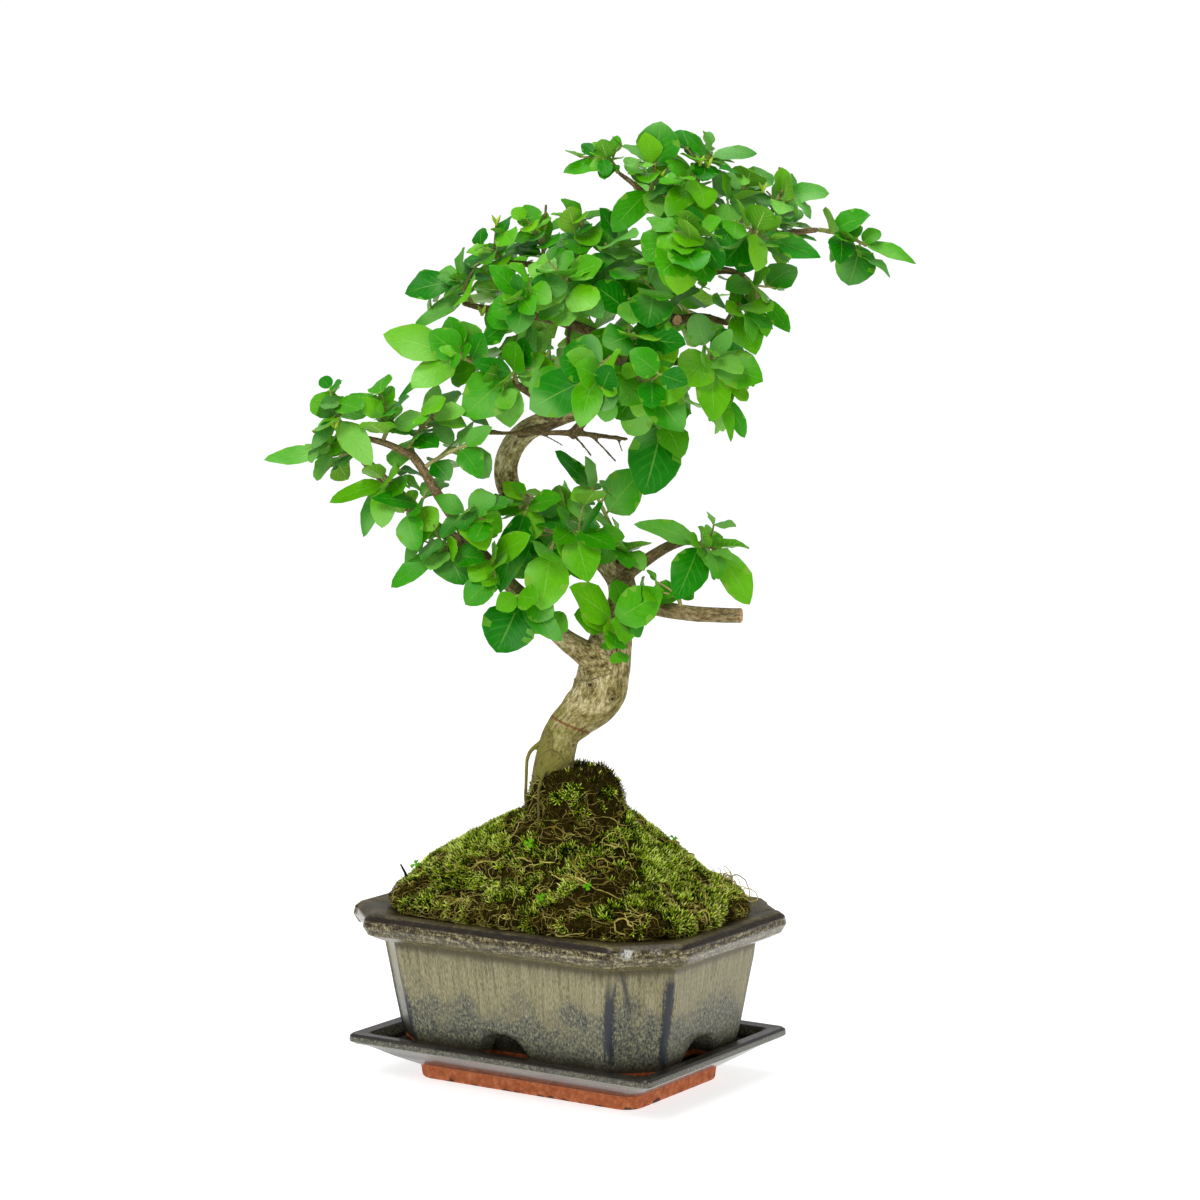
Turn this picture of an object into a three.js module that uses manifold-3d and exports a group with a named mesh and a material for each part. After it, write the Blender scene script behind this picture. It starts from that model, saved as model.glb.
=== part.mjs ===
// Chinese privet bonsai: a small S-shaped tree in a glazed pot that stands on its drip saucer.
// Millimetres, +Z up. The origin is the centre of the saucer's underside. The pot's long side runs along X.
// The tree's places are given as [across, toward, up], seen by someone who looks at it from its front side.

import * as THREE from "three";
import { mergeVertices } from "three/addons/utils/BufferGeometryUtils.js";
import Module from "manifold-3d";

const wasm = await Module();
wasm.setup();

// Driving dimensions
const GAP = 0.3;
const RIM_LENGTH = 200;
const RIM_WIDTH = 150;
const RIM_CHAMFER = 26;
const RIM_TOP = 88;
const MOUTH_LENGTH = 152;
const MOUTH_WIDTH = 102;
const MOUTH_CHAMFER = 22;
const POT_FLOOR_UNDERSIDE = 28;
const POT_FLOOR_TOP = 36;
const ARCH_HALF_WIDTH = 20;
const ARCH_TOP = 32.5;
const ARCH_DEPTH = 14;
const ARCH_OFFSET = -3;
const DRAIN_RADIUS = 6;
const DRAIN_SPACING = 76;
const SAUCER_LENGTH = 180;
const SAUCER_WIDTH = 135;
const SAUCER_TOP = 24;
const SAUCER_FOOT_LENGTH = 131;
const SAUCER_FOOT_WIDTH = 85;
const SAUCER_FOOT_HEIGHT = 7.5;
const SAUCER_LEDGE = 17;
const SAUCER_FLOOR = 8;
const TREE_TURN = 33;
const MOSS_THICKNESS = 3.5;
const MOSS_OVERHANG = 12.5;
const MOSS_UNDERSIDE = RIM_TOP + 0.5;
const MOUND_CENTRE = [3.4, 2.2];
const MOUND_INSET = 1.8;
const MOUND_SEGMENTS = 16;
const TWIG_RADIUS = 1.0;
const BLADE_KEEL = 0.9;
const PETIOLE_RADIUS = 0.8;
const PETIOLE_SHARE = 0.1;
const LEAF_CLEARANCE = 1.7;
const FAT_MARGIN = 0.7;

const { PI, abs, cos, max, min, sin, sqrt } = Math;
const UP = new THREE.Vector3(0, 0, 1);

// Solids

function toSolid(geometry) {
  const bare = geometry.clone();
  for (const name of Object.keys(bare.attributes)) {
    if (name !== "position") bare.deleteAttribute(name);
  }
  const merged = mergeVertices(bare, 1e-4);
  const mesh = new wasm.Mesh({
    numProp: 3,
    vertProperties: new Float32Array(merged.attributes.position.array),
    triVerts: new Uint32Array(merged.index.array),
  });
  return new wasm.Manifold(mesh);
}

function toGeometry(solid) {
  const mesh = solid.getMesh();
  const geometry = new THREE.BufferGeometry();
  geometry.setAttribute("position", new THREE.BufferAttribute(new Float32Array(mesh.vertProperties), 3));
  geometry.setIndex(new THREE.BufferAttribute(new Uint32Array(mesh.triVerts), 1));
  geometry.computeVertexNormals();
  return geometry;
}

function largestPiece(solid) {
  const pieces = solid.decompose();
  return pieces.reduce((best, piece) => (piece.volume() > best.volume() ? piece : best));
}

function moveVertices(geometry, move) {
  const position = geometry.attributes.position;
  const point = new THREE.Vector3();
  for (let i = 0; i < position.count; i++) {
    point.fromBufferAttribute(position, i);
    move(point, i);
    position.setXYZ(i, point.x, point.y, point.z);
  }
  return geometry;
}

// An outline drawn at its own size, carried up through levels of [height, length, width].
function lofted(outline, length, width, levels) {
  const shape = new THREE.Shape(outline.map(([x, y]) => new THREE.Vector2(x, y)));
  const steps = levels.length - 1;
  const geometry = new THREE.ExtrudeGeometry(shape, { depth: steps, steps, bevelEnabled: false });
  return moveVertices(geometry, (point) => {
    const [height, levelLength, levelWidth] = levels[Math.round(point.z)];
    point.set((point.x * levelLength) / length, (point.y * levelWidth) / width, height);
  });
}

// The corner steps are [inward from the short side, inward from the long side], from the long side round.
function corneredOutline(length, width, cornerSteps) {
  const outline = [];
  for (const [signX, signY] of [[1, -1], [1, 1], [-1, 1], [-1, -1]]) {
    const steps = signX * signY < 0 ? cornerSteps : [...cornerSteps].reverse();
    for (const [inX, inY] of steps) {
      outline.push([signX * (length / 2 - inX), signY * (width / 2 - inY)]);
    }
  }
  return outline;
}

function notchedCorner(chamfer) {
  const halfCorner = [
    [chamfer + 3, 0],
    [chamfer - 0.5, 1.2],
    [chamfer - 1.5, 4.2],
  ];
  return [...halfCorner, ...halfCorner.map(([a, b]) => [b, a]).reverse()];
}

function roundedCorner(radius, count) {
  return Array.from({ length: count + 1 }, (_, i) => {
    const angle = (i / count) * (PI / 2);
    return [radius * (1 - sin(angle)), radius * (1 - cos(angle))];
  });
}

// Saucer

function saucerSolid() {
  const footOutline = corneredOutline(SAUCER_FOOT_LENGTH, SAUCER_FOOT_WIDTH, roundedCorner(10, 3));
  const lipOutline = corneredOutline(SAUCER_LENGTH, SAUCER_WIDTH, roundedCorner(4, 2));
  const foot = lofted(footOutline, SAUCER_FOOT_LENGTH, SAUCER_FOOT_WIDTH, [
    [0, SAUCER_FOOT_LENGTH, SAUCER_FOOT_WIDTH],
    [SAUCER_FOOT_HEIGHT + 1, SAUCER_FOOT_LENGTH + 2, SAUCER_FOOT_WIDTH + 2],
  ]);
  const tray = lofted(lipOutline, SAUCER_LENGTH, SAUCER_WIDTH, [
    [SAUCER_FOOT_HEIGHT, SAUCER_FOOT_LENGTH + 5, SAUCER_FOOT_WIDTH + 5],
    [12, SAUCER_LENGTH - 29, SAUCER_WIDTH - 29],
    [17.5, SAUCER_LENGTH - 12, SAUCER_WIDTH - 12],
    [18.8, SAUCER_LENGTH - 4, SAUCER_WIDTH - 4],
    [20.2, SAUCER_LENGTH, SAUCER_WIDTH],
    [22.8, SAUCER_LENGTH, SAUCER_WIDTH],
    [SAUCER_TOP, SAUCER_LENGTH - 2.6, SAUCER_WIDTH - 2.6],
    [SAUCER_TOP - 0.4, SAUCER_LENGTH - 15.6, SAUCER_WIDTH - 15.6],
  ]);
  const pocket = lofted(lipOutline, SAUCER_LENGTH, SAUCER_WIDTH, [
    [SAUCER_LEDGE, SAUCER_LENGTH - 22, SAUCER_WIDTH - 22],
    [SAUCER_TOP + 1, SAUCER_LENGTH - 16.6, SAUCER_WIDTH - 16.6],
  ]);
  const basin = lofted(footOutline, SAUCER_FOOT_LENGTH, SAUCER_FOOT_WIDTH, [
    [SAUCER_FLOOR, SAUCER_FOOT_LENGTH + 3, SAUCER_FOOT_WIDTH + 1],
    [SAUCER_LEDGE + 0.5, SAUCER_FOOT_LENGTH + 7, SAUCER_FOOT_WIDTH + 5],
  ]);
  return toSolid(foot).add(toSolid(tray)).subtract(toSolid(pocket)).subtract(toSolid(basin));
}

// Pot

function archCut() {
  const shape = new THREE.Shape();
  shape.moveTo(-ARCH_HALF_WIDTH, 0);
  shape.lineTo(ARCH_HALF_WIDTH, 0);
  const shoulder = 0.82 * ARCH_TOP;
  shape.bezierCurveTo(ARCH_HALF_WIDTH - 4, shoulder, ARCH_HALF_WIDTH - 8, ARCH_TOP, 0, ARCH_TOP);
  shape.bezierCurveTo(8 - ARCH_HALF_WIDTH, ARCH_TOP, 4 - ARCH_HALF_WIDTH, shoulder, -ARCH_HALF_WIDTH, 0);
  const settings = { depth: ARCH_DEPTH + 20, bevelEnabled: false, curveSegments: 4 };
  const geometry = new THREE.ExtrudeGeometry(shape, settings);
  geometry.rotateX(PI / 2);
  return geometry;
}

function potSolid() {
  const rimOutline = corneredOutline(RIM_LENGTH, RIM_WIDTH, notchedCorner(RIM_CHAMFER));
  const footLevel = SAUCER_LEDGE + GAP;
  const outside = lofted(rimOutline, RIM_LENGTH, RIM_WIDTH, [
    [footLevel, 154.5, 104.5],
    [27, 160, 110],
    [48, 167, 116],
    [66, 173, 121.5],
    [73, 174.5, 123.5],
    [74.5, 186, 136],
    [77.5, 196, 146],
    [81.5, RIM_LENGTH, RIM_WIDTH],
    [85.5, RIM_LENGTH - 1.5, RIM_WIDTH - 1.5],
    [RIM_TOP, RIM_LENGTH - 7, RIM_WIDTH - 7],
    [RIM_TOP - 0.6, MOUTH_LENGTH, MOUTH_WIDTH],
  ]);
  const inside = lofted(rimOutline, RIM_LENGTH, RIM_WIDTH, [
    [POT_FLOOR_TOP, 142, 92],
    [RIM_TOP + 2, MOUTH_LENGTH, MOUTH_WIDTH],
  ]);
  const underside = new THREE.BoxGeometry(130, 80, 2 * (POT_FLOOR_UNDERSIDE - footLevel));
  underside.translate(0, 0, footLevel);
  let solid = toSolid(outside).subtract(toSolid(inside)).subtract(toSolid(underside));
  for (const [quarterTurns, reach] of [[0, 55], [1, 80], [2, 55], [3, 80]]) {
    const arch = archCut();
    arch.translate(ARCH_OFFSET, ARCH_DEPTH - reach, 0);
    arch.rotateZ((quarterTurns * PI) / 2);
    solid = solid.subtract(toSolid(arch));
  }
  for (const x of [-DRAIN_SPACING / 2, DRAIN_SPACING / 2]) {
    const drain = new THREE.CylinderGeometry(DRAIN_RADIUS, DRAIN_RADIUS, 20, 10);
    drain.rotateX(PI / 2);
    drain.translate(x, 0, (POT_FLOOR_UNDERSIDE + POT_FLOOR_TOP) / 2);
    solid = solid.subtract(toSolid(drain));
  }
  return solid;
}

// Mound of soil and moss

const MOUND_RINGS = [
  { radius: 0, height: 158 },
  { radius: 10.5, height: 158 },
  { radius: 16, height: 157 },
  { radius: 21, height: 151 },
  { radius: 24.5, height: 136 },
  { share: 0.2, height: 130 },
  { share: 0.45, height: 122 },
  { share: 0.7, height: 113 },
  { share: 0.88, height: 107 },
  { share: 1, height: 101 },
  { share: 1, over: MOSS_OVERHANG, height: 93 },
];
const MOUTH_RING = 9;
const COLUMN_RADIUS = 24.5;

function mouthReach(angle, inset) {
  const [centreX, centreY] = MOUND_CENTRE;
  const corner = (MOUTH_LENGTH / 2 + MOUTH_WIDTH / 2 - MOUTH_CHAMFER) / sqrt(2);
  let reach = Infinity;
  for (let eighth = 0; eighth < 8; eighth++) {
    const x = cos((eighth * PI) / 4);
    const y = sin((eighth * PI) / 4);
    const distance = eighth % 2 ? corner : eighth % 4 ? MOUTH_WIDTH / 2 : MOUTH_LENGTH / 2;
    const facing = x * cos(angle) + y * sin(angle);
    if (facing > 1e-6) reach = min(reach, (distance - inset - x * centreX - y * centreY) / facing);
  }
  return reach;
}

function moundPoint(ring, angle, drop) {
  const { radius, share, height, over = 0 } = MOUND_RINGS[ring];
  const reach = mouthReach(angle, MOUND_INSET);
  const distance = share === undefined ? radius : COLUMN_RADIUS + share * (reach - COLUMN_RADIUS) + over;
  const fromView = angle - THREE.MathUtils.degToRad(TREE_TURN);
  const outer = share && share < 1 ? share : 0;
  const shoulder = (1.6 * sin(3 * angle + 1) + 1.2 * sin(5 * angle) - 5.5 * cos(fromView)) * outer;
  return new THREE.Vector3(
    MOUND_CENTRE[0] + distance * cos(angle),
    MOUND_CENTRE[1] + distance * sin(angle),
    height + shoulder - drop,
  );
}

function moundGeometry(profile) {
  const geometry = new THREE.LatheGeometry(
    profile.map(({ ring, level }) => new THREE.Vector2(ring, level)),
    MOUND_SEGMENTS,
  );
  const rows = profile.length;
  return moveVertices(geometry, (point, i) => {
    const segment = Math.floor(i / rows) % MOUND_SEGMENTS;
    const { ring, drop, floor } = profile[i % rows];
    point.copy(moundPoint(ring, (segment / MOUND_SEGMENTS) * 2 * PI, drop));
    if (floor) point.z = floor;
  });
}

// The moss hangs over the pot's mouth and lies on the rim, clear of its glaze.
function mossSolid() {
  const rings = MOUND_RINGS.map((_, ring) => ring).slice(1);
  const upper = rings.map((ring) => ({ ring, level: 1, drop: 0 })).reverse();
  const lower = rings.map((ring) => {
    const floor = ring > MOUTH_RING ? MOSS_UNDERSIDE : undefined;
    return { ring, level: 0, drop: MOSS_THICKNESS, floor };
  });
  return toSolid(moundGeometry([...lower, ...upper, lower[0]]));
}

// The soil's top follows the moss's underside triangle for triangle, so the gap between them stays even.
function soilSolid() {
  const inMouth = MOUND_RINGS.slice(0, MOUTH_RING + 1);
  const top = inMouth.map((_, ring) => ({ ring, level: 1, drop: MOSS_THICKNESS + GAP }));
  const floor = 0.9 * RIM_TOP;
  const base = [MOUTH_RING, 0].map((ring) => ({ ring, level: 0, drop: 0, floor }));
  const facingIn = moundGeometry([...top, ...base]);
  facingIn.setIndex([...facingIn.index.array].reverse());
  const mound = toSolid(facingIn);
  const rimOutline = corneredOutline(RIM_LENGTH, RIM_WIDTH, notchedCorner(RIM_CHAMFER));
  const block = lofted(rimOutline, RIM_LENGTH, RIM_WIDTH, [
    [POT_FLOOR_TOP + GAP, 142 - 2 * GAP, 92 - 2 * GAP],
    [0.92 * RIM_TOP, MOUTH_LENGTH - 10 * GAP, MOUTH_WIDTH - 10 * GAP],
  ]);
  return toSolid(block).add(mound);
}

// Wood: every limb is a list of [across, toward, up, radius]

const LIMBS = {
  trunk: { sides: 8, rings: 32, points: [
    [-8, 0, 70, 13], [-8, 0, 111, 11.5], [-8, 0, 142, 11], [-8, 0, 154, 10.4], [-6, 0, 166, 9.8],
    [-3, 1, 176, 9.3], [4, 3, 184, 10.6], [12, 4, 192, 13], [16, 4, 199, 13.8], [18, 3, 208, 13],
    [20, 2, 217, 12], [23, 0, 229, 9.5], [27, -3, 242, 7.4], [26, -6, 253, 7], [15, -8, 266, 6.6],
    [-3, -8, 278, 6.2], [-20, -6, 289, 6.2], [-29, -4, 298, 6.2], [-31, -2, 309, 6], [-28, 0, 319, 5.9],
    [-20, 2, 328, 5.6], [-5, 4, 335, 5.2], [12, 4, 341, 5], [24, 3, 349, 4.8], [31, 1, 360, 4.6],
    [36, -1, 374, 4.3], [43, -3, 390, 4], [52, -4, 405, 3.6], [59, -4, 416, 3.2], [62, -2, 428, 2.7],
    [60, 0, 440, 2.2],
  ] },
  lower_left: { sides: 5, rings: 9, points: [
    [16, 4, 211, 7], [6, 8, 219, 6.2], [-4, 12, 227, 5], [-14, 15, 239, 4.4], [-26, 17, 250, 4],
    [-37, 18, 262, 3.6], [-52, 17, 273, 3.3], [-67, 14, 282, 3.1], [-79, 12, 293, 2.9],
    [-91, 10, 304, 2.7], [-102, 8, 315, 2.5],
  ] },
  left_fork: { sides: 4, rings: 5, points: [
    [-37, 18, 262, 3.2], [-47, 24, 274, 3.1], [-56, 28, 287, 2.8], [-64, 30, 299, 2.6],
    [-71, 30, 311, 2.4], [-78, 28, 320, 2.2],
  ] },
  left_high: { sides: 4, rings: 3, points: [
    [-76, 29, 317, 2], [-89, 28, 323, 1.8], [-100, 27, 326, 1.5], [-112, 26, 331, 1.1],
  ] },
  right_stub: { sides: 6, rings: 4, points: [
    [27, -3, 242, 5], [39, 8, 241, 4.3], [54, 16, 239, 4], [70, 22, 238, 3.9], [86, 26, 238, 3.7],
  ] },
  right_lower: { sides: 4, rings: 4, points: [
    [26, -6, 253, 4], [38, -3, 262, 3.2], [50, 2, 270, 2.7], [61, 6, 274, 2],
  ] },
  lower_back: { sides: 4, rings: 3, points: [
    [26, -6, 253, 4], [20, -22, 262, 2.6], [8, -38, 268, 2], [-6, -50, 272, 1.5],
  ] },
  cross_twig: { sides: 4, rings: 3, points: [
    [-41, 11, 327, 1], [-18, 12, 327, 1.2], [2, 9, 327, 1.7], [30, 11, 324, 1],
  ] },
  knob_branch: { sides: 4, rings: 3, points: [
    [1, 9, 325, 2.6], [8, 9, 333, 2.4], [16, 5, 342, 2.4],
  ] },
  left_bottom: { sides: 4, rings: 3, points: [
    [-5, 4, 335, 3], [-14, 14, 344, 2.4], [-26, 22, 352, 2], [-38, 26, 358, 1.4],
  ] },
  upper_left: { sides: 4, rings: 5, points: [
    [31, 1, 360, 3.4], [20, 4, 372, 3], [0, 6, 381, 2.7], [-22, 6, 386, 2.4], [-39, 6, 388, 2],
    [-52, 8, 391, 1.4],
  ] },
  high_left: { sides: 4, rings: 5, points: [
    [43, -3, 390, 3], [28, -4, 398, 2.6], [8, -2, 405, 2.3], [-12, 2, 409, 1.9], [-30, 4, 411, 1.4],
  ] },
  top_left: { sides: 4, rings: 3, points: [
    [58, -4, 414, 3], [49, -2, 430, 2.3], [42, 0, 440, 1.9], [33, 2, 449, 1.5], [25, 2, 455, 1.1],
  ] },
  right_upper: { sides: 4, rings: 5, points: [
    [57, -3, 412, 3.2], [72, -2, 421, 3], [88, -2, 423, 2.4], [106, -2, 425, 1.9], [124, -1, 427, 1.4],
  ] },
  right_mid: { sides: 4, rings: 3, points: [
    [48, -4, 399, 3], [62, 2, 404, 2.4], [78, 4, 407, 1.9], [88, 5, 404, 1.4],
  ] },
  right_low: { sides: 4, rings: 3, points: [
    [38, -2, 380, 3], [52, 2, 382, 2.8], [66, 4, 384, 2.2], [80, 6, 381, 1.5],
  ] },
  right_bottom: { sides: 4, rings: 3, points: [
    [31, 1, 360, 3], [44, 6, 362, 2.6], [58, 10, 362, 2], [68, 12, 360, 1.4],
  ] },
  front_stub: { sides: 6, rings: 2, points: [
    [42, -2, 384, 3], [49, 12, 384, 2.9], [54, 24, 383, 2.8],
  ] },
  front_low: { sides: 4, rings: 3, points: [
    [24, 3, 349, 3.2], [26, 18, 356, 2.8], [26, 34, 362, 2.3], [22, 50, 366, 1.5],
  ] },
  front_left: { sides: 4, rings: 3, points: [
    [0, 6, 381, 2.4], [-6, 22, 384, 2], [-12, 38, 386, 1.4],
  ] },
  front_up: { sides: 4, rings: 3, points: [
    [52, -4, 405, 3], [58, 10, 412, 2.4], [64, 24, 418, 1.8], [66, 36, 421, 1.3],
  ] },
  back_low: { sides: 4, rings: 3, points: [
    [12, 4, 341, 3.4], [14, -12, 350, 2.9], [10, -30, 358, 2.4], [2, -48, 363, 1.6],
  ] },
  back_mid: { sides: 4, rings: 3, points: [
    [36, -1, 374, 3.2], [40, -18, 384, 2.6], [46, -36, 391, 2.1], [52, -50, 394, 1.4],
  ] },
  back_up: { sides: 4, rings: 3, points: [
    [59, -4, 416, 2.8], [56, -18, 424, 2.2], [52, -32, 430, 1.5],
  ] },
  back_left: { sides: 4, rings: 3, points: [
    [0, 6, 381, 2.4], [-10, -10, 388, 2], [-20, -26, 393, 1.4],
  ] },
  right_back: { sides: 4, rings: 3, points: [
    [88, -2, 423, 2.2], [94, -16, 424, 1.7], [98, -28, 424, 1.3],
  ] },
  aerial_root: { sides: 3, rings: 5, points: [
    [-13, 2, 172, 1.4], [-19.5, 3, 166, 1.1], [-21, 4, 152, 1], [-21, 5, 140, 1], [-18, 6, 128, 1.1],
  ] },
  second_root: { sides: 3, rings: 4, points: [
    [-11, 9, 160, 1.2], [-14.5, 17, 150, 0.9], [-14.5, 22, 138, 0.9], [-15, 26, 122, 0.9],
  ] },
};
const KNOTS = [
  { at: [21, 16, 196], size: 3.4 }, { at: [12, 15.5, 202], size: 3.8 }, { at: [24, 2, 262], size: 5.2 },
  { at: [-79, 13, 292], size: 4 },
];

function place(across, toward, up) {
  return new THREE.Vector3(across, -toward, up);
}

class Limb {
  constructor({ sides, rings, points }) {
    this.sides = sides;
    this.rings = rings;
    this.radii = points.map((point) => point[3]);
    this.curve = new THREE.CatmullRomCurve3(points.map((point) => place(...point)), false, "centripetal");
  }

  radiusAt(share) {
    const spot = share * (this.radii.length - 1);
    const before = min(Math.floor(spot), this.radii.length - 2);
    return THREE.MathUtils.lerp(this.radii[before], this.radii[before + 1], spot - before);
  }

  solid(margin = 0) {
    const { sides, rings, curve } = this;
    const frames = sweepFrames(curve, rings);
    const geometry = new THREE.CylinderGeometry(1, 1, 1, sides, rings);
    moveVertices(geometry, (point) => {
      const ring = Math.round((0.5 - point.y) * rings);
      const radius = this.radiusAt(ring / rings) + margin;
      const { centre, tangent, normal, binormal } = frames[ring];
      const [a, b] = [point.x * radius, point.z * radius];
      const past = ring === 0 ? -margin : ring === rings ? margin : 0;
      point.copy(centre).addScaledVector(normal, a).addScaledVector(binormal, b);
      point.addScaledVector(tangent, past);
    });
    return toSolid(geometry);
  }

  spine(count) {
    return Array.from({ length: count + 1 }, (_, i) => ({
      centre: this.curve.getPoint(i / count),
      radius: this.radiusAt(i / count),
    }));
  }
}

// Frames along a curve that turn with it and never twist round it.
function sweepFrames(curve, rings) {
  const frames = [];
  let normal = new THREE.Vector3(0.3, 1, 0.2);
  for (let ring = 0; ring <= rings; ring++) {
    const tangent = curve.getTangent(ring / rings);
    normal = normal.clone().addScaledVector(tangent, -normal.dot(tangent)).normalize();
    const binormal = tangent.clone().cross(normal);
    frames.push({ centre: curve.getPoint(ring / rings), tangent, normal, binormal });
  }
  return frames;
}

const limbs = Object.values(LIMBS).map((limb) => new Limb(limb));

function woodSolid(margin = 0) {
  const solids = limbs.map((limb) => limb.solid(margin));
  for (const { at, size } of KNOTS) {
    const knot = new THREE.SphereGeometry(size + margin, 6, 4);
    knot.translate(...place(...at).toArray());
    solids.push(toSolid(knot));
  }
  return wasm.Manifold.union(solids);
}

// Leafy shoots: [name, foot on the wood, tip of the twig, pairs of leaves, leaf length, own leaves].
// An own leaf is set by hand: [share along the twig, across, toward, up, half width], with its tip's place.

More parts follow.
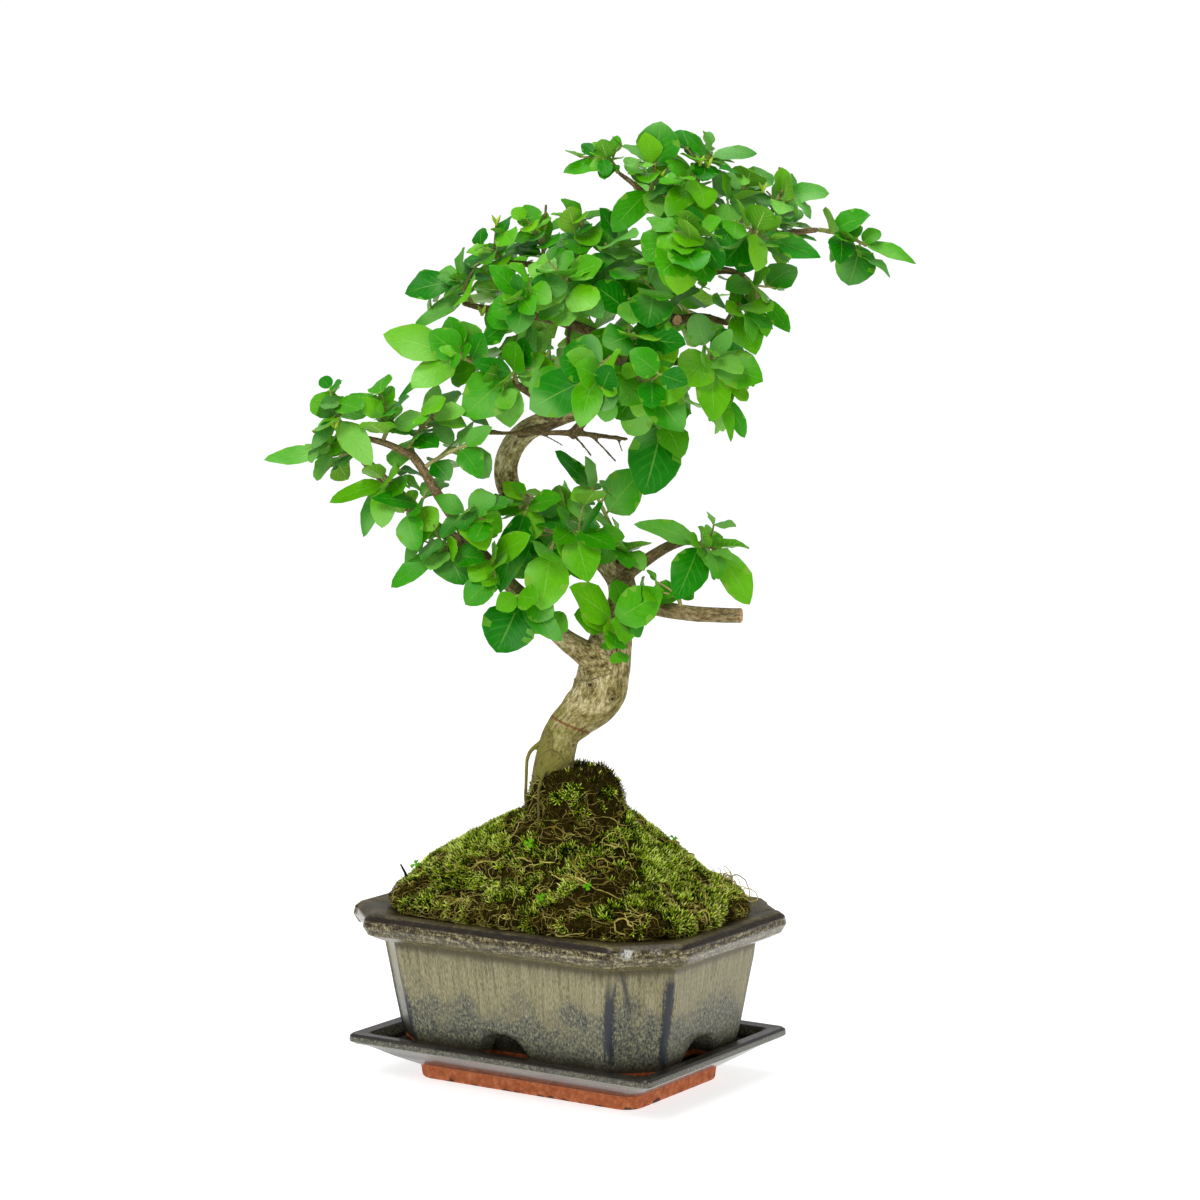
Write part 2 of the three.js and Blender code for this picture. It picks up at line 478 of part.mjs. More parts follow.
const SHOOTS = [
  ["crest_left", [26, 3, 455], [21, 5, 461], 1, 15, [[0.9, -2, 7, 454, 6.5]]],
  ["crest", [40, 1, 442], [43, 5, 458], 2, 16, [
    [1, 46, 6, 480, 10], [0.6, 55, 18, 450, 4.5], [0, 22, 18, 427, 7.5], [0, 44, 19, 433, 5.5],
  ]],
  ["crest_right", [60, 0, 440], [70, 4, 463], 2, 17, [
    [0.95, 56, 7, 475, 5.5], [1, 93, 4, 465, 4.5], [0.8, 66, 21, 451, 7], [0.4, 47, 10, 459, 5.5],
    [0.9, 81, 8, 449, 4],
  ]],
  ["top_front", [61, 0, 434], [62, 18, 452], 2, 21, [
    [1, 85, 22, 441, 5.5], [0.3, 68, 23, 422, 8], [0.6, 49, 27, 434, 6.5], [0, 42, 14, 415, 8],
  ]],
  ["top_back", [52, -32, 430], [48, -42, 450], 3, 21, []],
  ["top_mid_right", [74, -2, 421], [88, 2, 448], 3, 20, [[1, 84, 18, 434, 6], [0.5, 69, 16, 436, 6.5]]],
  ["right_stub", [98, -2, 424], [105, -1, 445], 2, 19, [
    [0.8, 124, 2, 446, 6], [0.4, 109, 14, 433, 6.5],
  ]],
  ["arm_end", [124, -1, 427], [146, 3, 420], 2, 20, [
    [1, 172, 4, 411, 5.5], [0.95, 139, 8, 400, 9.5], [0.1, 149, 8, 434, 8.5], [0.4, 133, 18, 410, 6.5],
  ]],
  ["arm_front", [88, -2, 423], [92, 24, 426], 2, 21, [
    [0.3, 124, 15, 412, 6.5], [0.5, 76, 27, 410, 9.5], [0.2, 109, 8, 411, 4.5],
  ]],
  ["arm_back", [98, -28, 424], [108, -38, 430], 3, 22, []],
  ["right_mid_tip", [86, 5, 404], [97, 6, 393], 2, 19, [
    [1, 109, 8, 376, 5.5], [0.8, 108, -2, 386, 6], [0.1, 99, 14, 408, 4], [0, 77, 18, 397, 6],
  ]],
  ["right_low_tip", [78, 6, 382], [84, 12, 390], 2, 20, [
    [0.4, 92, 17, 365, 9.5], [0.9, 90, 21, 405, 8.5],
  ]],
  ["right_bottom", [64, 11, 361], [71, 16, 364], 2, 22, [
    [0.6, 96, 22, 352, 10], [0.9, 71, 26, 333, 8.5], [0.8, 85, 32, 358, 7], [1, 80, 18, 377, 4.5],
  ]],
  ["right_hanging", [68, 12, 360], [78, 10, 344], 2, 18, [
    [1, 88, 10, 325, 4], [0.8, 80, 18, 325, 3.2],
  ]],
  ["bottom_big", [44, 6, 360], [47, 17, 332], 2, 20, [[1, 38, 26, 298, 12.5], [0.8, 62, 14, 308, 6.5]]],
  ["low_front_right", [26, 34, 362], [38, 46, 352], 2, 21, [
    [1, 56, 52, 330, 9.5], [0.9, 36, 54, 329, 8], [0.5, 12, 52, 344, 6.5],
  ]],
  ["low_front_left", [22, 50, 366], [12, 56, 356], 2, 22, [
    [1, -18, 54, 341, 10.5], [0.9, 6, 62, 331, 7], [0.5, 0, 62, 366, 6.5],
  ]],
  ["low_left", [-24, 21, 351], [-26, 30, 357], 2, 22, [
    [1, -50, 34, 337, 11], [0.9, -46, 34, 363, 4.5], [0.8, -10, 38, 366, 5.5],
  ]],
  ["left_edge", [-38, 26, 358], [-56, 24, 366], 2, 22, [
    [1, -90, 24, 376, 8.5], [0.9, -74, 32, 351, 9], [0.95, -84, 19, 345, 2.6], [0.4, -40, 32, 377, 6],
  ]],
  ["left_arm", [-46, 7, 390], [-54, 8, 402], 2, 19, [
    [1, -80, 10, 396, 7.5], [0.5, -62, 18, 393, 4.5], [0.1, -75, 12, 378, 5.5],
  ]],
  ["left_crest_outer", [-30, 4, 411], [-36, 8, 416], 3, 18, [[0.5, -25, 20, 424, 6]]],
  ["left_crest_middle", [-12, 2, 409], [-12, 4, 425], 3, 18, [[0.6, -6, 20, 421, 6.5]]],
  ["left_crest_inner", [8, -2, 405], [7, 4, 432], 3, 18, [[0.8, 14, 18, 420, 7]]],
  ["crown_left_front", [20, -3, 401], [19, 14, 419], 3, 21, [
    [1, 38, 22, 429, 9.5], [0.3, 4, 24, 395, 9], [0.9, -8, 20, 424, 6],
  ]],
  ["front_left_outer", [-12, 38, 386], [-22, 46, 394], 3, 22, [
    [0.8, -28, 50, 381, 7], [0.9, -37, 46, 410, 5.5],
  ]],
  ["front_left_inner", [-6, 22, 384], [0, 36, 404], 3, 22, [
    [1, -18, 44, 389, 8], [0.9, 17, 46, 385, 7], [0.1, -27, 46, 374, 7.5],
  ]],
  ["front_centre", [64, 24, 418], [62, 38, 424], 3, 22, [[1, 75, 44, 403, 7]]],
  ["front_centre_low", [66, 36, 421], [56, 48, 414], 2, 23, [[0.5, 42, 51, 404, 9.5]]],
  ["front_stub_shoot", [49, 12, 384], [42, 28, 398], 3, 23, [
    [1, 39, 42, 380, 10], [0.9, 22, 38, 400, 8],
  ]],
  ["front_middle", [26, 18, 356], [32, 36, 376], 2, 23, [
    [1, 17, 46, 371, 8.5], [0.9, 58, 46, 371, 8], [0.6, 45, 46, 357, 6.5], [0.4, 4, 40, 372, 5],
  ]],
  ["back_low_right", [10, -30, 358], [16, -46, 372], 3, 22, []],
  ["back_low_left", [2, -48, 363], [-10, -56, 354], 3, 22, []],
  ["back_middle_left", [46, -36, 391], [34, -50, 402], 3, 22, []],
  ["back_middle_right", [52, -50, 394], [64, -58, 382], 3, 22, []],
  ["back_left_end", [-20, -26, 393], [-34, -34, 402], 3, 21, []],
  ["back_left_low", [-10, -10, 388], [-26, -22, 374], 3, 21, []],
  ["far_left_tip", [-100, 8, 313], [-116, 10, 318], 2, 17, [
    [1, -150, 12, 313, 5.5], [0.9, -142, 15, 306, 5],
  ]],
  ["high_left_tip", [-106, 26, 328], [-114, 27, 336], 2, 18, [
    [0.9, -118, 30, 346, 7.5], [1, -91, 24, 345, 7], [0.5, -98, 36, 316, 6.5],
    [0.8, -124, 32, 320, 4.5],
  ]],
  ["high_left_middle", [-90, 28, 323], [-86, 30, 333], 2, 19, [[0.9, -67, 34, 335, 6.5]]],
  ["fork_top", [-78, 28, 320], [-66, 30, 336], 2, 19, [[1, -51, 32, 342, 5]]],
  ["fork_right", [-71, 30, 311], [-50, 34, 322], 2, 18, [[1, -36, 36, 331, 5], [0.9, -44, 40, 309, 6]]],
  ["fork_low", [-54, 27, 284], [-49, 34, 290], 2, 18, [
    [1, -35, 38, 298, 7], [0.8, -65, 34, 297, 5], [0.5, -64, 34, 280, 4.5], [0.9, -42, 42, 270, 7.5],
  ]],
  ["trunk_left", [-20, -6, 289], [-20, 12, 290], 2, 19, [
    [1, -36, 25, 256, 7.5], [0.9, -3, 20, 295, 6.5], [0.8, -7, 27, 275, 6],
  ]],
  ["lower_left_end", [-90, 10, 304], [-89, 20, 303], 2, 18, [
    [1, -117, 22, 293, 5.5], [0.6, -102, 14, 276, 5.5], [0.8, -90, 28, 285, 6],
  ]],
  ["lower_left_outer", [-74, 13, 288], [-72, 23, 292], 2, 19, [
    [0.5, -74, 30, 272, 8], [0.9, -95, 24, 297, 5],
  ]],
  ["lower_left_low", [-58, 16, 277], [-61, 22, 271], 2, 18, [
    [1, -87, 24, 252, 5], [0.8, -51, 33, 254, 9.5], [0.5, -64, 20, 247, 5.5], [0.9, -74, 18, 262, 6],
  ]],
  ["lower_middle", [-37, 18, 262], [-37, 30, 266], 2, 20, [
    [0.9, -45, 38, 243, 9.5], [0.8, -20, 36, 274, 7],
  ]],
  ["lower_hanging", [-26, 17, 250], [-23, 26, 244], 2, 18, [
    [1, -35, 32, 220, 12.5], [0.8, -4, 32, 225, 5.5],
  ]],
  ["lower_centre", [0, -8, 276], [-8, 26, 270], 2, 21, [
    [1, -13, 37, 242, 10.5], [0.8, -31, 36, 266, 7],
  ]],
  ["trunk_bend", [14, -8, 267], [2, 20, 280], 2, 20, [
    [1, 10, 30, 254, 9], [0.9, 24, 28, 271, 7], [0.7, 17, 22, 290, 4.5],
  ]],
  ["trunk_front", [24, 0, 232], [22, 20, 234], 2, 17, [
    [0.8, 3, 30, 231, 7.5], [1, 48, 29, 251, 9.5], [0.9, 38, 33, 223, 6.5], [0.6, 2, 30, 251, 9.5],
    [0.5, 20, 36, 243, 5.5],
  ]],
  ["thin_upright", [28, -4, 258], [12, 10, 300], 2, 17, [
    [1, -7, 14, 318, 6], [0.6, 37, 16, 309, 11], [0.1, 38, 12, 260, 6.5],
  ]],
  ["right_lower_tip", [57, 5, 273], [72, 12, 270], 2, 20, [
    [0.3, 80, 10, 277, 5.5], [1, 91, 14, 243, 8.5], [0.2, 54, 20, 244, 9], [0.8, 67, 24, 250, 8],
    [0.4, 34, 14, 283, 6.5],
  ]],
  ["stub_shoot", [58, 17, 239], [54, 20, 249], 2, 16, [[0.3, 51, 22, 222, 7.5], [0.6, 74, 24, 240, 5]]],
  ["lower_back_shoot", [8, -38, 268], [-4, -46, 280], 3, 22, []],
];

const CROWN_CENTRES = [place(30, 0, 380), place(-20, 0, 262)];
const BLADE_ROWS = [0, 0.12, 0.4, 0.76, 1];
const BLADE_SECTION = [[-1, 0], [1, 0], [0, -1]];
const FAT_SECTION = [[-1, 0], [0, 1], [1, 0], [0, -1]];
const SAMPLE_ROWS = [0.35, 0.55, 0.75, 0.9];
const SAMPLE_SIDES = [-1, -0.5, 0, 0.5, 1];
const TRIES = 8;
const TWIG_END = 0.97;
const BASE_SINK = 0.3;

// A repeatable stream of numbers from 0 to 1.
function numberStream(seed) {
  let state = seed;
  return () => {
    state = (state * 1664525 + 1013904223) % 4294967296;
    return state / 4294967296;
  };
}

class Leaf {
  constructor(base, forward, facing, length, halfWidth, fold, curl) {
    this.base = base.clone().addScaledVector(forward, -BASE_SINK);
    this.forward = forward;
    this.normal = facing.clone().addScaledVector(forward, -facing.dot(forward)).normalize();
    this.side = this.normal.clone().cross(forward);
    Object.assign(this, { length: length + BASE_SINK, halfWidth, fold, curl });
  }

  widthAt(share) {
    const blade = max(0, min(1, (share - PETIOLE_SHARE) / (1 - PETIOLE_SHARE)));
    const swell = max(0, sin(PI * blade ** 0.9)) ** 0.8;
    return PETIOLE_RADIUS + (this.halfWidth - PETIOLE_RADIUS) * swell;
  }

  point(share, across, lift = 0) {
    const width = this.widthAt(share);
    const height = this.fold * width * abs(across) - this.curl * this.length * share * share + lift;
    return this.base.clone()
      .addScaledVector(this.forward, this.length * share)
      .addScaledVector(this.side, width * across)
      .addScaledVector(this.normal, height);
  }

  samples() {
    const points = SAMPLE_ROWS.flatMap((row) => SAMPLE_SIDES.map((side) => this.point(row, side)));
    points.push(this.point(1, 0));
    return points;
  }

  holds(point) {
    const offset = point.clone().sub(this.base);
    const share = offset.dot(this.forward) / this.length;
    if (share < 0.06 || share > 1.1) return false;
    const across = abs(offset.dot(this.side));
    if (across > this.widthAt(min(share, 0.96)) + 1.2) return false;
    const surface = this.fold * across - this.curl * this.length * share * share;
    return abs(offset.dot(this.normal) - surface) < LEAF_CLEARANCE;
  }

  // A blade is level from edge to edge on top, has a keel along its midrib, and ends in a point both ways.
  solid(margin = 0) {
    const section = margin > 0 ? FAT_SECTION : BLADE_SECTION;
    const columns = section.length;
    const geometry = new THREE.SphereGeometry(1, columns, BLADE_ROWS.length - 1);
    moveVertices(geometry, (vertex, i) => {
      const row = Math.floor(i / (columns + 1));
      const share = BLADE_ROWS[row];
      const width = this.widthAt(share);
      const [across, level] = section[(i % (columns + 1)) % columns];
      const lift = level > 0 ? this.fold * width + margin : level * (BLADE_KEEL + margin);
      const pole = row === 0 || row === BLADE_ROWS.length - 1;
      vertex.copy(pole ? this.point(share, 0) : this.point(share, across * (1 + margin / width), lift));
    });
    return toSolid(geometry);
  }
}

class Rod {
  constructor(from, to, radius) {
    const marks = [0.05, 0.5, 0.95].map((share) => from.clone().lerp(to, share));
    Object.assign(this, { from, radius, marks, along: to.clone().sub(from) });
  }

  near(point, clearance) {
    const offset = point.clone().sub(this.from);
    const share = min(1, max(0, offset.dot(this.along) / this.along.dot(this.along)));
    return offset.addScaledVector(this.along, -share).length() < this.radius + clearance;
  }
}

// The twig of a shoot: it starts inside the wood and bows a little upwards.
class Twig {
  constructor(foot, tip, spines, woodRods) {
    let best = Infinity;
    let start = foot;
    for (const { centre } of spines) {
      const distance = centre.distanceTo(foot);
      if (distance < best) {
        best = distance;
        start = centre;
      }
    }
    const middle = start.clone().add(tip).multiplyScalar(0.5);
    middle.z += 0.1 * start.distanceTo(tip);
    this.curve = new THREE.QuadraticBezierCurve3(start, middle, tip);
    this.free = TWIG_END;
    const inWood = (share) => woodRods.some((rod) => rod.near(this.curve.getPoint(share), 2));
    while (this.free > 0.05 && !inWood(this.free - 0.05)) this.free -= 0.05;
  }

  // The share along the twig of a leaf's place, counted from where the twig is clear of the wood.
  nodeShare(share) {
    return this.free + (TWIG_END - this.free) * share;
  }

  rods() {
    const points = this.curve.getPoints(4);
    return points.slice(1).map((point, i) => new Rod(points[i], point, TWIG_RADIUS));
  }

  solid(margin = 0) {
    const rings = 2;
    const frames = sweepFrames(this.curve, rings);
    const geometry = new THREE.CylinderGeometry(1, 1, 1, 3, rings);
    moveVertices(geometry, (point) => {
      const ring = Math.round((0.5 - point.y) * rings);
      const radius = TWIG_RADIUS * (1.25 - (0.4 * ring) / rings) + margin;
      const { centre, normal, binormal } = frames[ring];
      const [a, b] = [point.x * radius, point.z * radius];
      point.copy(centre).addScaledVector(normal, a).addScaledVector(binormal, b);
    });
    return toSolid(geometry);
  }
}

function outwardAt(point) {
  const [near] = [...CROWN_CENTRES].sort((a, b) => a.distanceTo(point) - b.distanceTo(point));
  return point.clone().sub(near).normalize();
}

function isClear(leaf, leaves, rods) {
  const samples = leaf.samples();
  const middle = leaf.point(0.5, 0);
  for (const other of leaves) {
    const reach = 0.55 * (leaf.length + other.length) + 8;
    if (other.point(0.5, 0).distanceTo(middle) > reach) continue;
    if (samples.some((sample) => other.holds(sample))) return false;
    if (other.samples().some((sample) => leaf.holds(sample))) return false;
  }
  for (const rod of rods) {
    if (rod.from.distanceTo(middle) > leaf.length + rod.along.length() + 8) continue;
    if (samples.some((sample) => rod.near(sample, 1))) return false;
    if (rod.marks.some((mark) => leaf.holds(mark))) return false;
  }
  return true;
}

// A leaf set by hand turns its face to the light and the front, and its tip lies at or near the given point.
function handLeaf(twig, [share, across, toward, up, halfWidth], attempt, random) {
  const base = twig.curve.getPoint(twig.nodeShare(share));
  const tip = place(across, toward, up);
  const shift = attempt * 1.6;
  tip.x += (random() - 0.5) * shift;
  tip.y -= (random() + 0.2) * shift;
  tip.z += (random() - 0.5) * shift;
  const chord = tip.clone().sub(base);
  const curl = 0.1 + 0.1 * random();
  const facing = outwardAt(base).multiplyScalar(0.35).add(new THREE.Vector3(0.1, -0.85, 0.62));
  facing.addScaledVector(chord, -facing.dot(chord) / chord.dot(chord)).normalize();
  const length = chord.length() / sqrt(1 + curl * curl);
  const forward = chord.clone().addScaledVector(facing, curl * length).normalize();
  return new Leaf(base, forward, facing, length, halfWidth, 0.06 + 0.12 * random(), curl);
}

// Leaves stand in pairs along the twig, each pair turned a quarter from the last, facing the light.
function ruleLeaf(twig, leafLength, pair, pairs, sign, attempt, random) {
  const share = twig.nodeShare(pairs > 1 ? 0.1 + (0.9 * pair) / (pairs - 1) : 1);
  const base = twig.curve.getPoint(share);
  const axis = twig.curve.getTangent(share);
  const level = axis.clone().cross(UP).normalize();
  const turn = pair * (PI / 2) + (random() - 0.5) * (0.8 + 0.5 * attempt) + (sign < 0 ? PI : 0);
  const radial = level.applyAxisAngle(axis, turn);
  const last = pair === pairs - 1;
  const spread = (last ? 0.75 : 1.05) + (random() - 0.5) * (0.5 + 0.1 * attempt);
  const forward = axis.clone().multiplyScalar(cos(spread)).addScaledVector(radial, sin(spread));
  forward.z -= 0.25 * random();
  forward.normalize();
  const facing = outwardAt(base).multiplyScalar(0.8);
  facing.x += (random() - 0.5) * 0.5;
  facing.y += (random() - 0.5) * 0.5 - 0.3;
  facing.z += 0.55;
  const grown = (last ? 0.82 : 1) * (1 - 0.05 * attempt);
  const length = leafLength * grown * (0.95 + 0.35 * random());
  const halfWidth = length * (0.36 + 0.1 * random());
  return new Leaf(base, forward, facing, length, halfWidth, 0.06 + 0.14 * random(), 0.04 + 0.2 * random());
}

function growShoots() {
  const spines = limbs.flatMap((limb) => limb.spine(24));
  const woodRods = limbs.flatMap((limb) => {
    const spine = limb.spine(12);
    return spine.slice(1).map(({ centre, radius }, i) => new Rod(spine[i].centre, centre, radius));
  });
  const rods = [...woodRods];
  const shoots = SHOOTS.map(([name, foot, tip, pairs, leafLength, own], index) => {
    const twig = new Twig(place(...foot), place(...tip), spines, woodRods);
    rods.push(...twig.rods());
    return { name, twig, pairs, leafLength, own, random: numberStream(7919 * index + 17), leaves: [] };
  });
  const leaves = [];
  const grow = (shoot, draw) => {
    for (let attempt = 0; attempt < TRIES; attempt++) {
      const leaf = draw(attempt);
      if (!isClear(leaf, leaves, rods)) continue;
      leaves.push(leaf);
      shoot.leaves.push(leaf);
      return;
    }
  };
  for (const shoot of shoots) {
    const { twig, own, random } = shoot;
    for (const given of own) grow(shoot, (attempt) => handLeaf(twig, given, attempt, random));
  }
  for (const shoot of shoots) {
    const { twig, leafLength, pairs, random } = shoot;
    for (let pair = 0; pair < pairs; pair++) {
      for (const sign of [1, -1]) {
        grow(shoot, (attempt) => ruleLeaf(twig, leafLength, pair, pairs, sign, attempt, random));
      }
    }
  }
  return shoots;
}

function shootSolid(shoot, wood, others) {
  const parts = [shoot.twig.solid(), ...shoot.leaves.map((leaf) => leaf.solid())];
  let solid = wasm.Manifold.union(parts).subtract(wood);
  const box = solid.boundingBox();
  const near = others.filter((other) => {
    const { min: low, max: high } = other.boundingBox();
    return [0, 1, 2].every((axis) => low[axis] < box.max[axis] && high[axis] > box.min[axis]);
  });
  if (near.length) solid = solid.subtract(wasm.Manifold.union(near));
  return largestPiece(solid);
}

// The whole object

const FINISHES = {
  saucer: { color: 0x4d4a3c, roughness: 0.3, metalness: 0 },
  pot: { color: 0x8d8868, roughness: 0.3, metalness: 0 },
  soil: { color: 0x35291a, roughness: 0.95, metalness: 0 },
  moss: { color: 0x4f7a18, roughness: 0.95, metalness: 0 },
  wood: { color: 0x8a7a5c, roughness: 0.85, metalness: 0 },
  leaf: { color: 0x2f9a1c, roughness: 0.45, metalness: 0 },
};

function namedMesh(name, solid, finish) {
  const mesh = new THREE.Mesh(toGeometry(solid), new THREE.MeshStandardMaterial(FINISHES[finish]));
  mesh.name = name;
  return mesh;
}

const woodForm = woodSolid();
const woodRoom = woodSolid(GAP + 0.05);
const turnedRoom = woodRoom.rotate([0, 0, TREE_TURN]);

const bonsai = new THREE.Group();
bonsai.add(namedMesh("saucer", saucerSolid(), "saucer"));
bonsai.add(namedMesh("pot", potSolid(), "pot"));
bonsai.add(namedMesh("soil", largestPiece(soilSolid().subtract(turnedRoom)), "soil"));
bonsai.add(namedMesh("moss_cover", largestPiece(mossSolid().subtract(turnedRoom)), "moss"));

const tree = new THREE.Group();
tree.rotation.z = THREE.MathUtils.degToRad(TREE_TURN);
tree.add(namedMesh("trunk_and_branches", woodForm, "wood"));
const occupied = [];
for (const shoot of growShoots()) {
  tree.add(namedMesh(`shoot_${shoot.name}`, shootSolid(shoot, woodRoom, occupied), "leaf"));
  occupied.push(shoot.twig.solid(FAT_MARGIN), ...shoot.leaves.map((leaf) => leaf.solid(FAT_MARGIN)));
}
bonsai.add(tree);

export default bonsai;
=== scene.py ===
"""Chinese privet bonsai: the finished look of the tree, its mossy mound, the glazed pot and the drip saucer.

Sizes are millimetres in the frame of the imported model, +Z up, and are turned into metres when a mesh is made.
The tree's places are [across, toward, up], seen by someone who looks at it from its front side.
"""

import logging
from dataclasses import dataclass, field
from enum import Enum
from math import cos, exp, floor, hypot, pi, radians, sin, sqrt
from typing import Any, Callable, Iterable, Sequence

import bpy
import numpy as np
from mathutils import Matrix, Vector, kdtree, noise


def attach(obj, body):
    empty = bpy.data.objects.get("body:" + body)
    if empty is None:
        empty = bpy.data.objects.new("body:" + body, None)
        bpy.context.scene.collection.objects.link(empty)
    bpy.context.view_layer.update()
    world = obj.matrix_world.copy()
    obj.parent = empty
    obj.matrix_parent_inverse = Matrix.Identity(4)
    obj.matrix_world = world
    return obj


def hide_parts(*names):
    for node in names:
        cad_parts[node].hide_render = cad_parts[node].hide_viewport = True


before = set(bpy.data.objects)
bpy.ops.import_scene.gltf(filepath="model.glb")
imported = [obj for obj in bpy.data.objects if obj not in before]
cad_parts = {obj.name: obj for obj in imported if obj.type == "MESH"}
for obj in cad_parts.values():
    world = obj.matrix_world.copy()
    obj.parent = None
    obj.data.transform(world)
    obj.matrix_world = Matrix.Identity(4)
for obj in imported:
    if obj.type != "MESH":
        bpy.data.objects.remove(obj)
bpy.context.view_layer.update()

LOG = logging.getLogger("bonsai")
METRES = 0.001
BODY = "root"
TREE_TURN = radians(33)
VIEW_DROP = 0.186  # how much lower a place of the mound shows for each millimetre that it lies nearer
TUFT_HEIGHT = 1.75
UP = np.array([0.0, 0.0, 1.0])

Object = bpy.types.Object
Material = bpy.types.Material
Mesh = bpy.types.Mesh
Row = Sequence[float]
Point = np.ndarray
Colour = tuple[float, float, float, float]
Stop = Sequence[float]  # a place on a ramp, and the red, green and blue that a screen shows there


class Slot(Enum):
    """The record's material slots."""

    SAUCER = "saucer_glaze"
    POT = "pot_glaze"
    SOIL = "soil"
    MOSS = "moss"
    BARK = "bark"
    LEAF = "leaf"


class Kind(Enum):
    """What a mesh attribute holds, as Blender names it."""

    NUMBER = "FLOAT"
    VECTOR = "FLOAT_VECTOR"
    FLAG = "BOOLEAN"


# Node trees as expressions


def worked(operation: str, swapped: bool = False) -> Callable[["Value", "Value | float"], "Value"]:
    """A Python operator that adds a Math node, with its two values swapped or not.

    Args:
        operation: the node's operation.
        swapped: whether the other value comes first.

    Returns:
        The operator, as a method.
    """

    def work(self: "Value", other: "Value | float") -> "Value":
        """Adds the node."""
        pair = (other, self) if swapped else (self, other)
        return self.sheet.math(operation, *pair)

    return work


class Value:
    """A node's output, on which Python arithmetic adds Math nodes."""

    def __init__(self, sheet: "Sheet", socket: bpy.types.NodeSocket) -> None:
        """Keeps the output and the sheet that it stands on."""
        self.sheet = sheet
        self.socket = socket

    __add__ = __radd__ = worked("ADD")
    __mul__ = __rmul__ = worked("MULTIPLY")
    __sub__, __rsub__ = worked("SUBTRACT"), worked("SUBTRACT", swapped=True)
    __truediv__ = worked("DIVIDE")
    __pow__ = worked("POWER")


class Sheet:
    """A node tree that is written as expressions."""

    def __init__(self, tree: bpy.types.NodeTree) -> None:
        """Keeps the node tree."""
        self.tree = tree

    def node(
        self,
        kind: str,
        settings: dict[str, Any] | None = None,
        sockets: dict[str | int, Any] | None = None,
        output: str | int = 0,
    ) -> Value:
        """Adds a node.

        Args:
            kind: the node's type.
            settings: its properties, set first. "stops" are a ramp's.
            sockets: values, or other nodes' outputs, for its inputs.
            output: which output to hand on.

        Returns:
            The chosen output.
        """
        made = self.tree.nodes.new(kind)
        for name, setting in (settings or {}).items():
            if name == "stops":
                self._fill_ramp(made.color_ramp, setting)
            else:
                setattr(made, name, setting)
        for key, given in (sockets or {}).items():
            for one in given if isinstance(given, list) else [given]:
                if isinstance(one, Value):
                    self.tree.links.new(one.socket, made.inputs[key])
                else:
                    made.inputs[key].default_value = one
        return Value(self, made.outputs[output])

    @staticmethod
    def _fill_ramp(ramp: bpy.types.ColorRamp, stops: Sequence[Stop]) -> None:
        """Sets a ramp's stops.

        Args:
            ramp: the ramp.
            stops: its stops, in order.
        """
        while len(ramp.elements) < len(stops):
            ramp.elements.new(1.0)
        for element, (place, *shown) in zip(ramp.elements, stops):
            element.position = place
            element.color = paint(*shown)

    def math(self, operation: str, a: Any, b: Any = 0.0) -> Value:
        """A Math node on two values."""
        return self.node("ShaderNodeMath", {"operation": operation}, {0: a, 1: b})

    def vector(self, operation: str, a: Any, b: Any = (0.0, 0.0, 0.0), output: int = 0) -> Value:
        """A Vector Math node on two vectors."""
        return self.node("ShaderNodeVectorMath", {"operation": operation}, {0: a, 1: b}, output)

    def scaled(self, vector: Any, factor: Any) -> Value:
        """A vector times a number."""
        settings = {"operation": "SCALE"}
        return self.node("ShaderNodeVectorMath", settings, {"Vector": vector, "Scale": factor})

    def parts(self, vector: Value) -> tuple[Value, Value, Value]:
        """A vector's three numbers.

        Args:
            vector: the vector.

        Returns:
            x, y and z.
        """
        made = self.node("ShaderNodeSeparateXYZ", {}, {0: vector})
        outputs = made.socket.node.outputs
        return tuple(Value(self, outputs[i]) for i in range(3))

    def joined(self, x: Any = 0.0, y: Any = 0.0, z: Any = 0.0) -> Value:
        """A vector of three numbers."""
        return self.node("ShaderNodeCombineXYZ", {}, {0: x, 1: y, 2: z})

    def largest(self, a: Any, b: Any) -> Value:
        """The larger of two values."""
        return self.math("MAXIMUM", a, b)

    def smallest(self, a: Any, b: Any) -> Value:
        """The smaller of two values."""
        return self.math("MINIMUM", a, b)

    def rise(self, value: Any, low: Any, high: Any) -> Value:
        """A smooth step from 0 at low to 1 at high. High may be the lower of the two."""
        settings = {"interpolation_type": "SMOOTHSTEP"}
        return self.node("ShaderNodeMapRange", settings, {0: value, 1: low, 2: high, 3: 0.0, 4: 1.0})

    def band(self, value: Value, middle: Any, reach: float) -> Value:
        """1 at the middle, falling smoothly to 0 at reach on both sides."""
        return self.rise(self.math("ABSOLUTE", value - middle), reach, 0.0)

    def blend(self, factor: Any, a: Any, b: Any) -> Value:
        """A mix of two colours."""
        settings = {"data_type": "RGBA", "blend_type": "MIX", "clamp_factor": True}
        return self.node("ShaderNodeMix", settings, {0: factor, 6: a, 7: b}, 2)

    def coats(self, colour: Value, *layers: tuple[Any, Row]) -> Value:
        """Colours laid over one another, each through its mask.

        Args:
            colour: the colour underneath.
            *layers: pairs of a mask and a colour, 0 to 255.

        Returns:
            The colour on top.
        """
        for mask, shown in layers:
            colour = self.blend(mask, colour, paint(*shown))
        return colour

    def noise(self, where: Any, scale: float, detail: float = 3.0, rough: float = 0.5) -> Value:
        """Noise from 0 to 1. Scale is waves a unit of the given vector."""
        sockets = {"Vector": where, "Scale": scale, "Detail": detail, "Roughness": rough}
        return self.node("ShaderNodeTexNoise", {}, sockets)

    def cells(self, where: Any, scale: float) -> Value:
        """How far a place is from the middle of the nearest of many scattered cells."""
        sockets = {"Vector": where, "Scale": scale}
        return self.node("ShaderNodeTexVoronoi", {"feature": "F1"}, sockets, "Distance")

